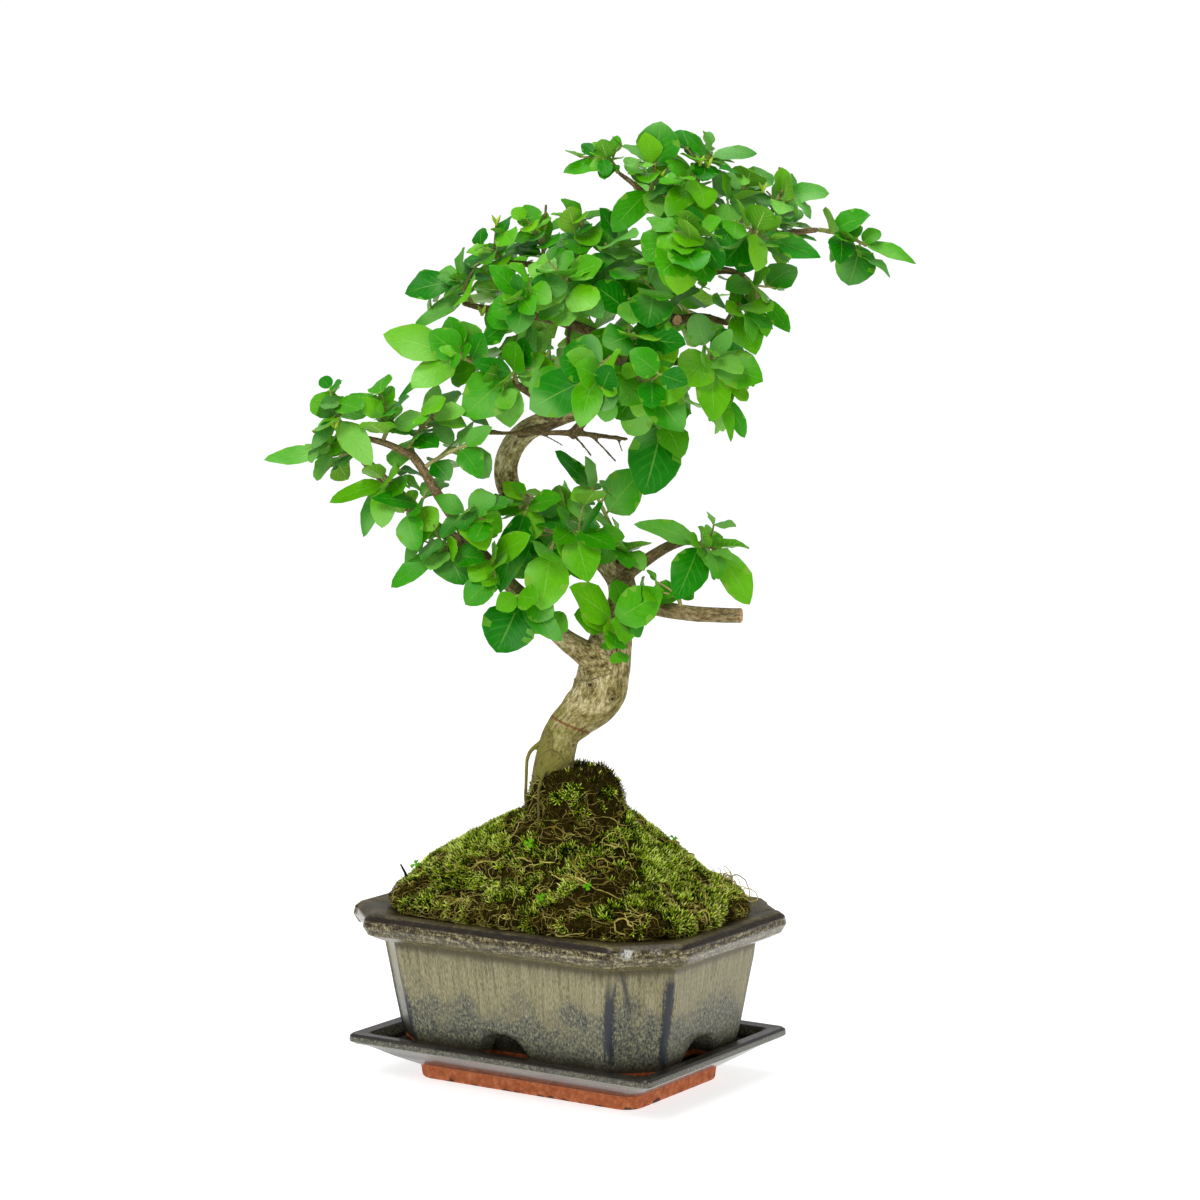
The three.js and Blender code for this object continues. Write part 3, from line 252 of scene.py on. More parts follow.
    def ramp(self, value: Any, stops: Sequence[Stop]) -> Value:
        """A colour ramp."""
        return self.node("ShaderNodeValToRGB", {"stops": stops}, {0: value})

    def place(self) -> Value:
        """The point's place in millimetres."""
        metres = self.node("ShaderNodeTexCoord", {}, {}, "Object")
        return self.scaled(metres, 1.0 / METRES)

    def read(self, name: str, output: str = "Vector") -> Value:
        """A mesh attribute, in a material."""
        return self.node("ShaderNodeAttribute", {"attribute_name": name}, {}, output)

    def bump(self, height: Value, depth: float, strength: float = 1.0) -> Value:
        """A bumped normal. Depth is the height's full range in millimetres."""
        sockets = {"Strength": strength, "Distance": depth * METRES, "Height": height}
        return self.node("ShaderNodeBump", {}, sockets, "Normal")


def paint(red: float, green: float, blue: float) -> Colour:
    """A colour as a screen shows it, 0 to 255, turned into the linear values that Blender mixes.

    Args:
        red: 0 to 255.
        green: 0 to 255.
        blue: 0 to 255.

    Returns:
        Red, green, blue and a full alpha.
    """
    shown = [channel / 255 for channel in (red, green, blue)]
    linear = [s / 12.92 if s <= 0.04045 else ((s + 0.055) / 1.055) ** 2.4 for s in shown]
    return (*linear, 1.0)


# Meshes


def make_object(name: str, mesh: Mesh) -> Object:
    """Puts a mesh into the scene as an object at the origin.

    Args:
        name: the object's name.
        mesh: its mesh.

    Returns:
        The object.
    """
    made = bpy.data.objects.new(name, mesh)
    bpy.context.scene.collection.objects.link(made)
    return made


def make_mesh(
    name: str,
    points: Any,
    faces: Sequence[Sequence[int]] = (),
    edges: Sequence[Sequence[int]] = (),
    smooth: bool = True,
) -> Mesh:
    """Makes a mesh.

    Args:
        name: the mesh's name.
        points: its points, in millimetres.
        faces: rows of point numbers.
        edges: pairs of point numbers, for paths.
        smooth: whether the faces are shaded smooth.

    Returns:
        The mesh.
    """
    mesh = bpy.data.meshes.new(name)
    mesh.from_pydata((np.asarray(points, float) * METRES).tolist(), edges, faces)
    mesh.update()
    if smooth and faces:
        mesh.polygons.foreach_set("use_smooth", np.ones(len(faces), bool))
    return mesh


def write_attributes(mesh: Mesh, **columns: Any) -> None:
    """Stores a number, a vector or a flag for each of a mesh's points, under each given name.

    Args:
        mesh: the mesh.
        **columns: each attribute's values, one for each point.
    """
    for name, column in columns.items():
        values = np.asarray(column)
        flags = values.dtype == bool
        kind = Kind.FLAG if flags else Kind.VECTOR if values.ndim > 1 else Kind.NUMBER
        attribute = mesh.attributes.new(name, kind.value, "POINT")
        flat = values.astype(bool if flags else np.float32).ravel()
        attribute.data.foreach_set("vector" if kind is Kind.VECTOR else "value", flat)


def points_of(mesh: Mesh) -> np.ndarray:
    """A mesh's points, in millimetres.

    Args:
        mesh: the mesh.

    Returns:
        Rows of x, y and z.
    """
    flat = np.empty(3 * len(mesh.vertices), np.float32)
    mesh.vertices.foreach_get("co", flat)
    return flat.reshape(-1, 3).astype(float) / METRES


def normals_of(mesh: Mesh) -> np.ndarray:
    """The normals at a mesh's points.

    Args:
        mesh: the mesh.

    Returns:
        Rows of x, y and z, at length 1.
    """
    flat = np.empty(3 * len(mesh.vertices), np.float32)
    mesh.vertex_normals.foreach_get("vector", flat)
    return flat.reshape(-1, 3).astype(float)


def move_points(mesh: Mesh, points: np.ndarray) -> None:
    """Puts a mesh's points at new places, in millimetres."""
    mesh.vertices.foreach_set("co", (points * METRES).astype(np.float32).ravel())
    mesh.update()


def settle(piece: Object) -> Object:
    """Turns what a piece's modifiers make into its plain mesh, and removes them.

    Args:
        piece: the object with its modifiers.

    Returns:
        The same object.
    """
    view = bpy.context.evaluated_depsgraph_get()
    mesh = bpy.data.meshes.new_from_object(piece.evaluated_get(view))
    piece.modifiers.clear()
    piece.data = mesh
    return piece


def add_piece(
    piece: Object,
    slot: Slot,
    material: Material | None = None,
    stands_for: Iterable[str] = (),
) -> Object:
    """Gives a finished piece its material, hangs it under the body's empty and hides the CAD nodes that it
    replaces.

    Args:
        piece: the object, at the origin.
        slot: the record's material slot for the piece; not used.
        material: its material, if the mesh doesn't have it yet.
        stands_for: the CAD nodes that it replaces.

    Returns:
        The piece.
    """
    if material is not None:
        piece.data.materials.clear()
        piece.data.materials.append(material)
    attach(piece, BODY)
    for node in stands_for:
        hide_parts(node)
    LOG.info("%s: %d faces", piece.name, len(piece.data.polygons))
    return piece


def guarded(rows: np.ndarray, reach: float, closed: bool = False) -> np.ndarray:
    """Adds points near the corners of a polyline, so that rounding them leaves its long runs straight.

    Args:
        rows: the polyline's points.
        reach: how far from a corner a point is added.
        closed: whether the line runs back to its start.

    Returns:
        The points with the added ones.
    """
    ends = np.vstack([rows, rows[:1]]) if closed else rows
    made = []
    for start, end in zip(ends[:-1], ends[1:]):
        made.append(start)
        run = float(np.linalg.norm(end - start))
        if run > 2.5 * reach:
            made += [start + (end - start) * reach / run, end - (end - start) * reach / run]
    if not closed:
        made.append(ends[-1])
    return np.array(made)


def softened(rows: np.ndarray, passes: int = 2, closed: bool = False) -> np.ndarray:
    """Cuts the corners of a polyline again and again, which rounds them. Open ends stay.

    Args:
        rows: the polyline's points.
        passes: how often the corners are cut.
        closed: whether the line runs back to its start.

    Returns:
        The rounded line.
    """
    for _ in range(passes):
        after = np.roll(rows, -1, axis=0) if closed else rows[1:]
        before = rows if closed else rows[:-1]
        cut = np.empty((2 * len(before), rows.shape[1]))
        cut[0::2] = 0.75 * before + 0.25 * after
        cut[1::2] = 0.25 * before + 0.75 * after
        rows = cut if closed else np.vstack([rows[:1], cut, rows[-1:]])
    return rows


def skin(rows: int, columns: int, capped: bool = True) -> list[tuple[int, ...]]:
    """Faces of a tube of rows of points, each row a closed ring, with a fan at both ends.

    Args:
        rows: how many rings.
        columns: how many points a ring.
        capped: whether the fans' centres, the last two points, close the ends.

    Returns:
        The faces, facing out where rings run anticlockwise and rise.
    """
    faces: list[tuple[int, ...]] = []
    for row in range(rows - 1):
        low, high = row * columns, (row + 1) * columns
        for i in range(columns):
            j = (i + 1) % columns
            faces.append((low + i, low + j, high + j, high + i))
    if capped:
        first, last = rows * columns, rows * columns + 1
        top = (rows - 1) * columns
        for i in range(columns):
            j = (i + 1) % columns
            faces.append((j, i, first))
            faces.append((top + i, top + j, last))
    return faces


def add_prism(
    points: list[Point], faces: list[tuple[int, ...]], low: Sequence[Point], high: Sequence[Point]
) -> None:
    """Adds a closed body between a loop of points and another that lies over it.

    Args:
        points: the mesh's points so far.
        faces: its faces so far.
        low: the loop underneath.
        high: the loop over it.
    """
    first, count = len(points), len(low)
    points += [*low, *high]
    faces.append((first, *range(first + count - 1, first, -1)))
    faces.append(tuple(range(first + count, first + 2 * count)))
    for i in range(count):
        j = (i + 1) % count
        faces.append((first + i, first + j, first + count + j, first + count + i))


def finder_over(places: np.ndarray) -> kdtree.KDTree:
    """What finds the nearest of some places.

    Args:
        places: the places.

    Returns:
        The finder.
    """
    finder = kdtree.KDTree(len(places))
    for index, spot in enumerate(places):
        finder.insert(Vector(spot), index)
    finder.balance()
    return finder


def number_stream(seed: int) -> Callable[[], float]:
    """A repeatable stream of numbers from 0 to 1.

    Args:
        seed: the stream's start.

    Returns:
        What draws the next number.
    """
    state = seed

    def draw() -> float:
        """The next number.

        Returns:
            From 0 to 1.
        """
        nonlocal state
        state = (state * 1664525 + 1013904223) % 4294967296
        return state / 4294967296

    return draw


# Geometry node trees


class Grower:
    """A Geometry Nodes tree with named inputs, and the modifier that runs it on a piece."""

    def __init__(self, name: str, inputs: dict[str, str]) -> None:
        """Makes an empty tree.

        Args:
            name: the tree's name.
            inputs: each named input's socket type.
        """
        self.tree = bpy.data.node_groups.new(name, "GeometryNodeTree")
        self.sheet = Sheet(self.tree)
        face = self.tree.interface
        face.new_socket("Geometry", in_out="INPUT", socket_type="NodeSocketGeometry")
        self.identifiers = {
            label: face.new_socket(label, in_out="INPUT", socket_type=kind).identifier
            for label, kind in inputs.items()
        }
        face.new_socket("Geometry", in_out="OUTPUT", socket_type="NodeSocketGeometry")
        self.source = self.tree.nodes.new("NodeGroupInput")

    def given(self, label: str) -> Value:
        """One of the tree's inputs."""
        return Value(self.sheet, self.source.outputs[label])

    def read(self, name: str, kind: Kind = Kind.NUMBER) -> Value:
        """A mesh attribute, in the tree."""
        return self.sheet.node("GeometryNodeInputNamedAttribute", {"data_type": kind.value}, {"Name": name})

    def tube(self, source: Value, sides: Value) -> Value:
        """A round tube along the source's edges, as thick as its girth attribute.

        Args:
            source: paths, as edges.
            sides: how many sides the tube has.

        Returns:
            The tubes.
        """
        sheet = self.sheet
        curve = sheet.node("GeometryNodeMeshToCurve", {}, {"Mesh": source})
        ring = sheet.node("GeometryNodeCurvePrimitiveCircle", {}, {"Resolution": sides, "Radius": METRES})
        sockets = {"Curve": curve, "Profile Curve": ring, "Scale": self.read("girth"), "Fill Caps": True}
        mesh = sheet.node("GeometryNodeCurveToMesh", {}, sockets)
        return sheet.node("GeometryNodeSetShadeSmooth", {}, {"Geometry": mesh})

    def end(self, geometry: Value | list[Value]) -> None:
        """Ends the tree in Realize Instances and Set Material.

        Args:
            geometry: what the tree has made, or several such.
        """
        sheet = self.sheet
        if isinstance(geometry, list):
            geometry = sheet.node("GeometryNodeJoinGeometry", {}, {"Geometry": geometry})
        whole = sheet.node("GeometryNodeRealizeInstances", {}, {"Geometry": geometry})
        sockets = {"Geometry": whole, "Material": self.given("Finish")}
        dressed = sheet.node("GeometryNodeSetMaterial", {}, sockets)
        out = self.tree.nodes.new("NodeGroupOutput")
        self.tree.links.new(dressed.socket, out.inputs[0])

    def grow(self, piece: Object, settings: dict[str, Any]) -> Object:
        """Runs the tree on a piece and keeps the plain mesh that it makes.

        Args:
            piece: the object.
            settings: the tree's inputs by name.

        Returns:
            The same object.
        """
        modifier = piece.modifiers.new(self.tree.name, "NODES")
        modifier.node_group = self.tree
        for label, setting in settings.items():
            modifier[self.identifiers[label]] = setting
        return settle(piece)


def strand_grower() -> Grower:
    """The tree for what runs along paths: limbs, rootlets, buds and litter.

    Returns:
        The finished tree.
    """
    grower = Grower("strands", {"Sides": "NodeSocketInt", "Finish": "NodeSocketMaterial"})
    grower.end(grower.tube(grower.given("Geometry"), grower.given("Sides")))
    return grower


def sward_grower() -> Grower:
    """The tree for moss: tufts scattered on a mesh where its moss attribute lets them grow.

    Returns:
        The finished tree.
    """
    inputs = {
        "Tuft": "NodeSocketObject", "Density": "NodeSocketFloat", "Least size": "NodeSocketFloat",
        "Greatest size": "NodeSocketFloat", "Seed": "NodeSocketInt", "Finish": "NodeSocketMaterial",
    }
    grower = Grower("sward", inputs)
    sheet = grower.sheet
    thick = grower.given("Density") * grower.read("moss")
    settings = {"distribute_method": "RANDOM"}
    sockets = {"Mesh": grower.given("Geometry"), "Density": thick, "Seed": grower.given("Seed")}
    points = sheet.node("GeometryNodeDistributePointsOnFaces", settings, sockets)
    upright = Value(sheet, points.socket.node.outputs["Rotation"])

    def chance(low: Any, high: Any, seed: int) -> Value:
        """A number between two others, drawn for each tuft."""
        ends = {2: low, 3: high, 8: seed}
        return sheet.node("FunctionNodeRandomValue", {"data_type": "FLOAT"}, ends, 1)

    turn = chance(0.0, 2 * pi, 5)
    spin = sheet.node("FunctionNodeAxisAngleToRotation", {}, {"Axis": (0.0, 0.0, 1.0), "Angle": turn})
    turned = sheet.node(
        "FunctionNodeRotateRotation", {"rotation_space": "LOCAL"}, {"Rotation": upright, "Rotate By": spin}
    )
    size = chance(grower.given("Least size"), grower.given("Greatest size"), 9)
    toned = sheet.node(
        "GeometryNodeStoreNamedAttribute", {"data_type": "FLOAT", "domain": "POINT"},
        {"Geometry": points, "Name": "tone", "Value": chance(0.0, 1.0, 13)},
    )
    tuft = sheet.node("GeometryNodeObjectInfo", {}, {"Object": grower.given("Tuft")}, "Geometry")
    sockets = {"Points": toned, "Instance": tuft, "Rotation": turned, "Scale": sheet.joined(size, size, size)}
    grower.end(sheet.node("GeometryNodeInstanceOnPoints", {}, sockets))
    return grower


def shoot_grower() -> Grower:
    """The tree for a leafy shoot: a blade on each leaf point, bent by its attributes, and the twig's tube.

    Returns:
        The finished tree.
    """
    inputs = {
        "Blade": "NodeSocketObject", "Stalk radius": "NodeSocketFloat", "Stalk share": "NodeSocketFloat",
        "Fullness": "NodeSocketFloat", "Blade thickness": "NodeSocketFloat", "Twig sides": "NodeSocketInt",
        "Finish": "NodeSocketMaterial",
    }
    grower = Grower("leafy_shoot", inputs)
    sheet = grower.sheet
    blade = sheet.node("GeometryNodeObjectInfo", {}, {"Object": grower.given("Blade")}, "Geometry")
    sockets = {
        "Points": grower.given("Geometry"), "Selection": grower.read("leaf", Kind.FLAG), "Instance": blade,
    }
    blades = sheet.node("GeometryNodeInstanceOnPoints", {}, sockets)
    real = sheet.node("GeometryNodeRealizeInstances", {}, {"Geometry": blades})
    across, share, side_up = sheet.parts(grower.read("spot", Kind.VECTOR))
    length, half_width, fold = sheet.parts(grower.read("leaf_size", Kind.VECTOR))
    curl, phase, kind = sheet.parts(grower.read("leaf_bend", Kind.VECTOR))
    stalk, stalk_share = grower.given("Stalk radius"), grower.given("Stalk share")
    green = sheet.largest((share - stalk_share) / (1.0 - stalk_share), 0.0)
    swell = sheet.largest(sheet.math("SINE", (green ** 0.86) * pi), 0.0) ** (0.6 + kind * 0.36)
    point = 1.0 - 0.9 * sheet.rise(share, 0.95, 1.0)
    width = (stalk * 0.8 + (half_width * grower.given("Fullness") - stalk * 0.8) * swell) * point
    spread = sheet.math("ABSOLUTE", across)
    wave = sheet.math("SINE", share * 11.0 + phase * 6.28 + across * 1.6) * (across * across) * swell
    dome = sheet.math("SQRT", sheet.largest(1.0 - across * across, 0.0))
    on_blade = sheet.rise(share, stalk_share * 0.75, stalk_share * 1.7)
    thick = stalk * 0.62 + on_blade * (grower.given("Blade thickness") * 0.5 - stalk * 0.62)
    keel = sheet.largest(1.0 - spread * 5.0, 0.0) * sheet.smallest(side_up, 0.0)
    keel = keel * on_blade * (1.0 - share * 0.8)
    recurve = sheet.rise(share, 0.66, 1.0) * sheet.math("SINE", phase * 17.0) * 0.06
    twist = width * across * share * sheet.math("SINE", phase * 31.0) * 0.3
    height = (
        fold * width * spread - curl * length * share * share + wave * half_width * 0.12
        + side_up * thick * dome + keel * (stalk * 0.45) + recurve * length + twist
    )
    place = grower.read("leaf_base", Kind.VECTOR)
    for name, far in (("forward", length * share), ("side", width * across), ("normal", height)):
        place = sheet.vector("ADD", place, sheet.scaled(grower.read(f"leaf_{name}", Kind.VECTOR), far))
    bent = sheet.node("GeometryNodeSetPosition", {}, {"Geometry": real, "Position": place})
    grower.end([bent, grower.tube(grower.given("Geometry"), grower.given("Twig sides"))])
    return grower


# Pottery


def rounded_outline(length: float, width: float, radius: float, count: int = 8) -> np.ndarray:
    """A rectangle with round corners, anticlockwise.

    Args:
        length: along x.
        width: along y.
        radius: the corners' radius.
        count: how many steps a corner has.

    Returns:
        Rows of x and y.
    """
    outline = []
    for quarter, (sign_x, sign_y) in enumerate([(1, 1), (-1, 1), (-1, -1), (1, -1)]):
        centre = (sign_x * (length / 2 - radius), sign_y * (width / 2 - radius))
        for step in range(count + 1):
            angle = (quarter + step / count) * pi / 2
            outline.append((centre[0] + radius * cos(angle), centre[1] + radius * sin(angle)))
    return np.array(outline)


def loft(name: str, rings: Sequence[np.ndarray]) -> Mesh:
    """Closes a body over rings of points that rise on the outside and come down on the inside.

    Args:
        name: the mesh's name.
        rings: rings with the same number of points.

    Returns:
        The mesh.
    """
    columns = len(rings[0])
    ends = [rings[0].mean(axis=0), rings[-1].mean(axis=0)]
    return make_mesh(name, np.vstack([*rings, *ends]), skin(len(rings), columns))


def at_level(outline: np.ndarray, height: float) -> np.ndarray:
    """An outline as points at a height."""
    return np.column_stack([outline, np.full(len(outline), height)])


def dent(mesh: Mesh, depth: float, wave: float) -> None:
    """Gives thrown and glazed ware its slight unevenness.

    Args:
        mesh: the mesh.
        depth: how deep the dents are.
        wave: how wide they are.
    """
    points, normals = points_of(mesh), normals_of(mesh)
    lift = np.array([noise.noise(Vector(point / wave)) for point in points])
    move_points(mesh, points + normals * (lift * depth)[:, None])


@dataclass
class Saucer:
    """The drip saucer: an unglazed foot, a sloping glazed tray and a flat lip.

    Attributes:
        length: across the lip.
        width: across the lip the short way.
        top: the lip's height.
        foot_length: across the foot.
        foot_width: across the foot the short way.
        foot_height: where the tray starts.
        ledge: the height on which the pot stands.
        floor: the basin's floor.
    """

    length: float = 180.0
    width: float = 135.0
    top: float = 24.0
    foot_length: float = 131.0
    foot_width: float = 85.0
    foot_height: float = 7.5
    ledge: float = 17.0
    floor: float = 8.0

    def profile(self) -> np.ndarray:
        """Rows of height, length, width and corner radius, from the foot round to the basin's floor.

        Returns:
            The rows, all in millimetres.
        """
        length, width = self.length, self.width
        foot_length, foot_width = self.foot_length, self.foot_width
        return np.array([
            (0.0, foot_length - 1.2, foot_width - 1.2, 9.4),
            (0.7, foot_length, foot_width, 10.0),
            (self.foot_height - 0.2, foot_length + 1.6, foot_width + 1.6, 10.4),
            (self.foot_height, foot_length + 5, foot_width + 5, 9.0),
            (12.0, length - 29, width - 29, 6.0),
            (17.5, length - 12, width - 12, 4.6),
            (18.8, length - 4, width - 4, 4.2),
            (20.2, length, width, 4.2),
            (22.9, length - 0.2, width - 0.2, 4.2),
            (self.top, length - 2.8, width - 2.8, 3.6),
            (self.top - 0.4, length - 14.6, width - 14.6, 3.4),
            (self.top - 1.6, length - 17.2, width - 17.2, 3.4),
            (self.ledge, length - 22, width - 22, 4.0),
            (self.ledge - 0.2, foot_length + 8, foot_width + 6, 8.0),
            (self.floor, foot_length + 3, foot_width + 1, 8.0),
        ])

    def build(self, finish: Material) -> Object:
        """Makes the saucer.

        Args:
            finish: the piece's material.

        Returns:
            The piece.
        """
        rows = softened(guarded(self.profile(), 1.1), 2)
        mesh = loft("saucer_glazed", [
            at_level(rounded_outline(length, width, radius), height) for height, length, width, radius in rows
        ])
        dent(mesh, 0.16, 14.0)
        points = points_of(mesh)
        points[:, 2] = np.maximum(points[:, 2], 0.0)
        move_points(mesh, points)
        return add_piece(make_object("saucer_glazed", mesh), Slot.SAUCER, finish, ["saucer"])


@dataclass
class Pot:
    """The pot: an eight-sided flared body under a fat bead rim, with low arches in its foot.

    Attributes:
        length: across the rim.
        width: across the rim the short way.
        chamfer: how much the rim's corners are cut.
        levels: height, length and width of the outside, over the rim, and down to the inside floor.
        widest: the height at which the rim is widest.
        arch_half_width: half of a foot arch's span.
        arch_top: the arch's height.
        arch_depth: how far it reaches in.
        arch_offset: how far it stands off the wall's middle.
        drain_radius: of the two holes in the floor.
        drain_spacing: between them.
    """

    length: float = 200.0
    width: float = 150.0
    chamfer: float = 26.0
    levels: Sequence[Row] = (
        (17.3, 153.6, 103.6), (18.0, 154.7, 104.7), (27, 160, 110), (48, 167, 116), (66, 173, 121.5),
        (72.6, 174.5, 123.5), (74.3, 185, 135), (77.2, 195.6, 145.6), (81.5, 200, 150), (85.4, 198.4, 148.4),
        (87.6, 193.6, 143.6), (88.0, 189, 139), (87.2, 181, 131), (86.4, 172, 122), (86.2, 161, 111),
        (86.3, 152, 102), (60, 147, 97), (36, 142, 92),
    )
    widest: float = 81.5
    arch_half_width: float = 20.0
    arch_top: float = 32.5
    arch_depth: float = 14.0
    arch_offset: float = -3.0
    drain_radius: float = 6.0
    drain_spacing: float = 76.0

    def outline(self) -> np.ndarray:
        """The rim's outline, anticlockwise, with its notched corners a little rounded.

        Returns:
            Rows of x and y.
        """
        half = [(self.chamfer + 3, 0.0), (self.chamfer - 0.5, 1.2), (self.chamfer - 1.5, 4.2)]
        steps = half + [(b, a) for a, b in reversed(half)]
        outline = []
        for sign_x, sign_y in [(1, -1), (1, 1), (-1, 1), (-1, -1)]:
            for in_x, in_y in steps if sign_x * sign_y < 0 else reversed(steps):
                outline.append((sign_x * (self.length / 2 - in_x), sign_y * (self.width / 2 - in_y)))
        return softened(guarded(np.array(outline), 2.2, closed=True), 2, closed=True)

    def arch(self) -> Mesh:
        """What is cut away under one arch.

        Returns:
            The mesh.
        """
        half, top = self.arch_half_width, self.arch_top
        shoulder = 0.82 * top
        corners = [(half, 0.0), (half - 4, shoulder), (half - 8, top), (0.0, top)]
        side = []
        for step in range(10):
            t = step / 9
            weights = ((1 - t) ** 3, 3 * (1 - t) ** 2 * t, 3 * (1 - t) * t * t, t ** 3)
            side.append(tuple(sum(w * c[i] for w, c in zip(weights, corners)) for i in (0, 1)))
        loop = side + [(-x, z) for x, z in reversed(side[:-1])]
        rings = [np.array([(x, y, z) for x, z in loop]) for y in (0.0, -self.arch_depth - 20)]
        return loft("arch", rings)

    def cutters(self) -> list[Object]:
        """The shapes that are cut out of the foot and the floor.

        Returns:
            One object for each cut.
        """
        foot, made = self.levels[0][0], []
        for quarter, reach in enumerate((55.0, 80.0, 55.0, 80.0)):
            mesh = self.arch()
            shift = Matrix.Translation(Vector((self.arch_offset, self.arch_depth - reach, 0)) * METRES)
            mesh.transform(Matrix.Rotation(quarter * pi / 2, 4, "Z") @ shift)
            made.append(make_object("arch_cut", mesh))
        ring = rounded_outline(130, 80, 6)
        levels = [(foot - 9, 1.0), (27.4, 1.0), (28.0, 0.985)]
        recess = loft("recess", [at_level(ring * scale, height) for height, scale in levels])
        made.append(make_object("recess_cut", recess))
        circle = rounded_outline(2 * self.drain_radius, 2 * self.drain_radius, self.drain_radius - 0.01, 6)
        for side in (-0.5, 0.5):
            moved = circle + (side * self.drain_spacing, 0)
            rings = [at_level(moved, height) for height in (20.0, 44.0)]
            made.append(make_object("drain_cut", loft("drain", rings)))
        return made

    def build(self, finish: Material) -> Object:
        """Makes the pot.

        Args:
            finish: the piece's material.

        Returns:
            The piece.
        """
        outline = self.outline()
        rows = softened(guarded(np.array(self.levels), 1.4), 2)
        mesh = loft("pot_glazed", [
            at_level(outline * (length / self.length, width / self.width), height)
            for height, length, width in rows
        ])
        dent(mesh, 0.22, 17.0)
        piece = make_object("pot_glazed", mesh)
        cutters = self.cutters()
        for cutter in cutters:
            cut = piece.modifiers.new("cut", "BOOLEAN")
            cut.operation, cut.solver, cut.object = "DIFFERENCE", "EXACT", cutter
        settle(piece)
        for cutter in cutters:
            bpy.data.objects.remove(cutter)
        self.mark(piece.data)
        return add_piece(piece, Slot.POT, finish, ["pot"])

    def mark(self, mesh: Mesh) -> None:
        """Stores each point's place carried out to the rim, and how far it lies inside the rim's outline.

        Args:
            mesh: the mesh.
        """
        points = points_of(mesh)
        outside = np.array([level for level in self.levels if level[0] <= self.widest][:9])
        grown = [side / np.interp(points[:, 2], outside[:, 0], outside[:, column])
                 for column, side in ((1, self.length), (2, self.width))]
        grown.append(np.ones(len(points)))
        write_attributes(mesh, rim_place=points * np.column_stack(grown))
        across, along = np.abs(points[:, 0]), np.abs(points[:, 1])
        corner = (self.length / 2 + self.width / 2 - self.chamfer) / sqrt(2)
        inset = np.minimum(self.length / 2 - across, self.width / 2 - along)
        inset = np.minimum(inset, corner - (across + along) / sqrt(2))
        write_attributes(mesh, inset=inset)


# The mound


def clamped(value: float) -> float:
    """A value held between 0 and 1."""
    return min(1.0, max(0.0, value))


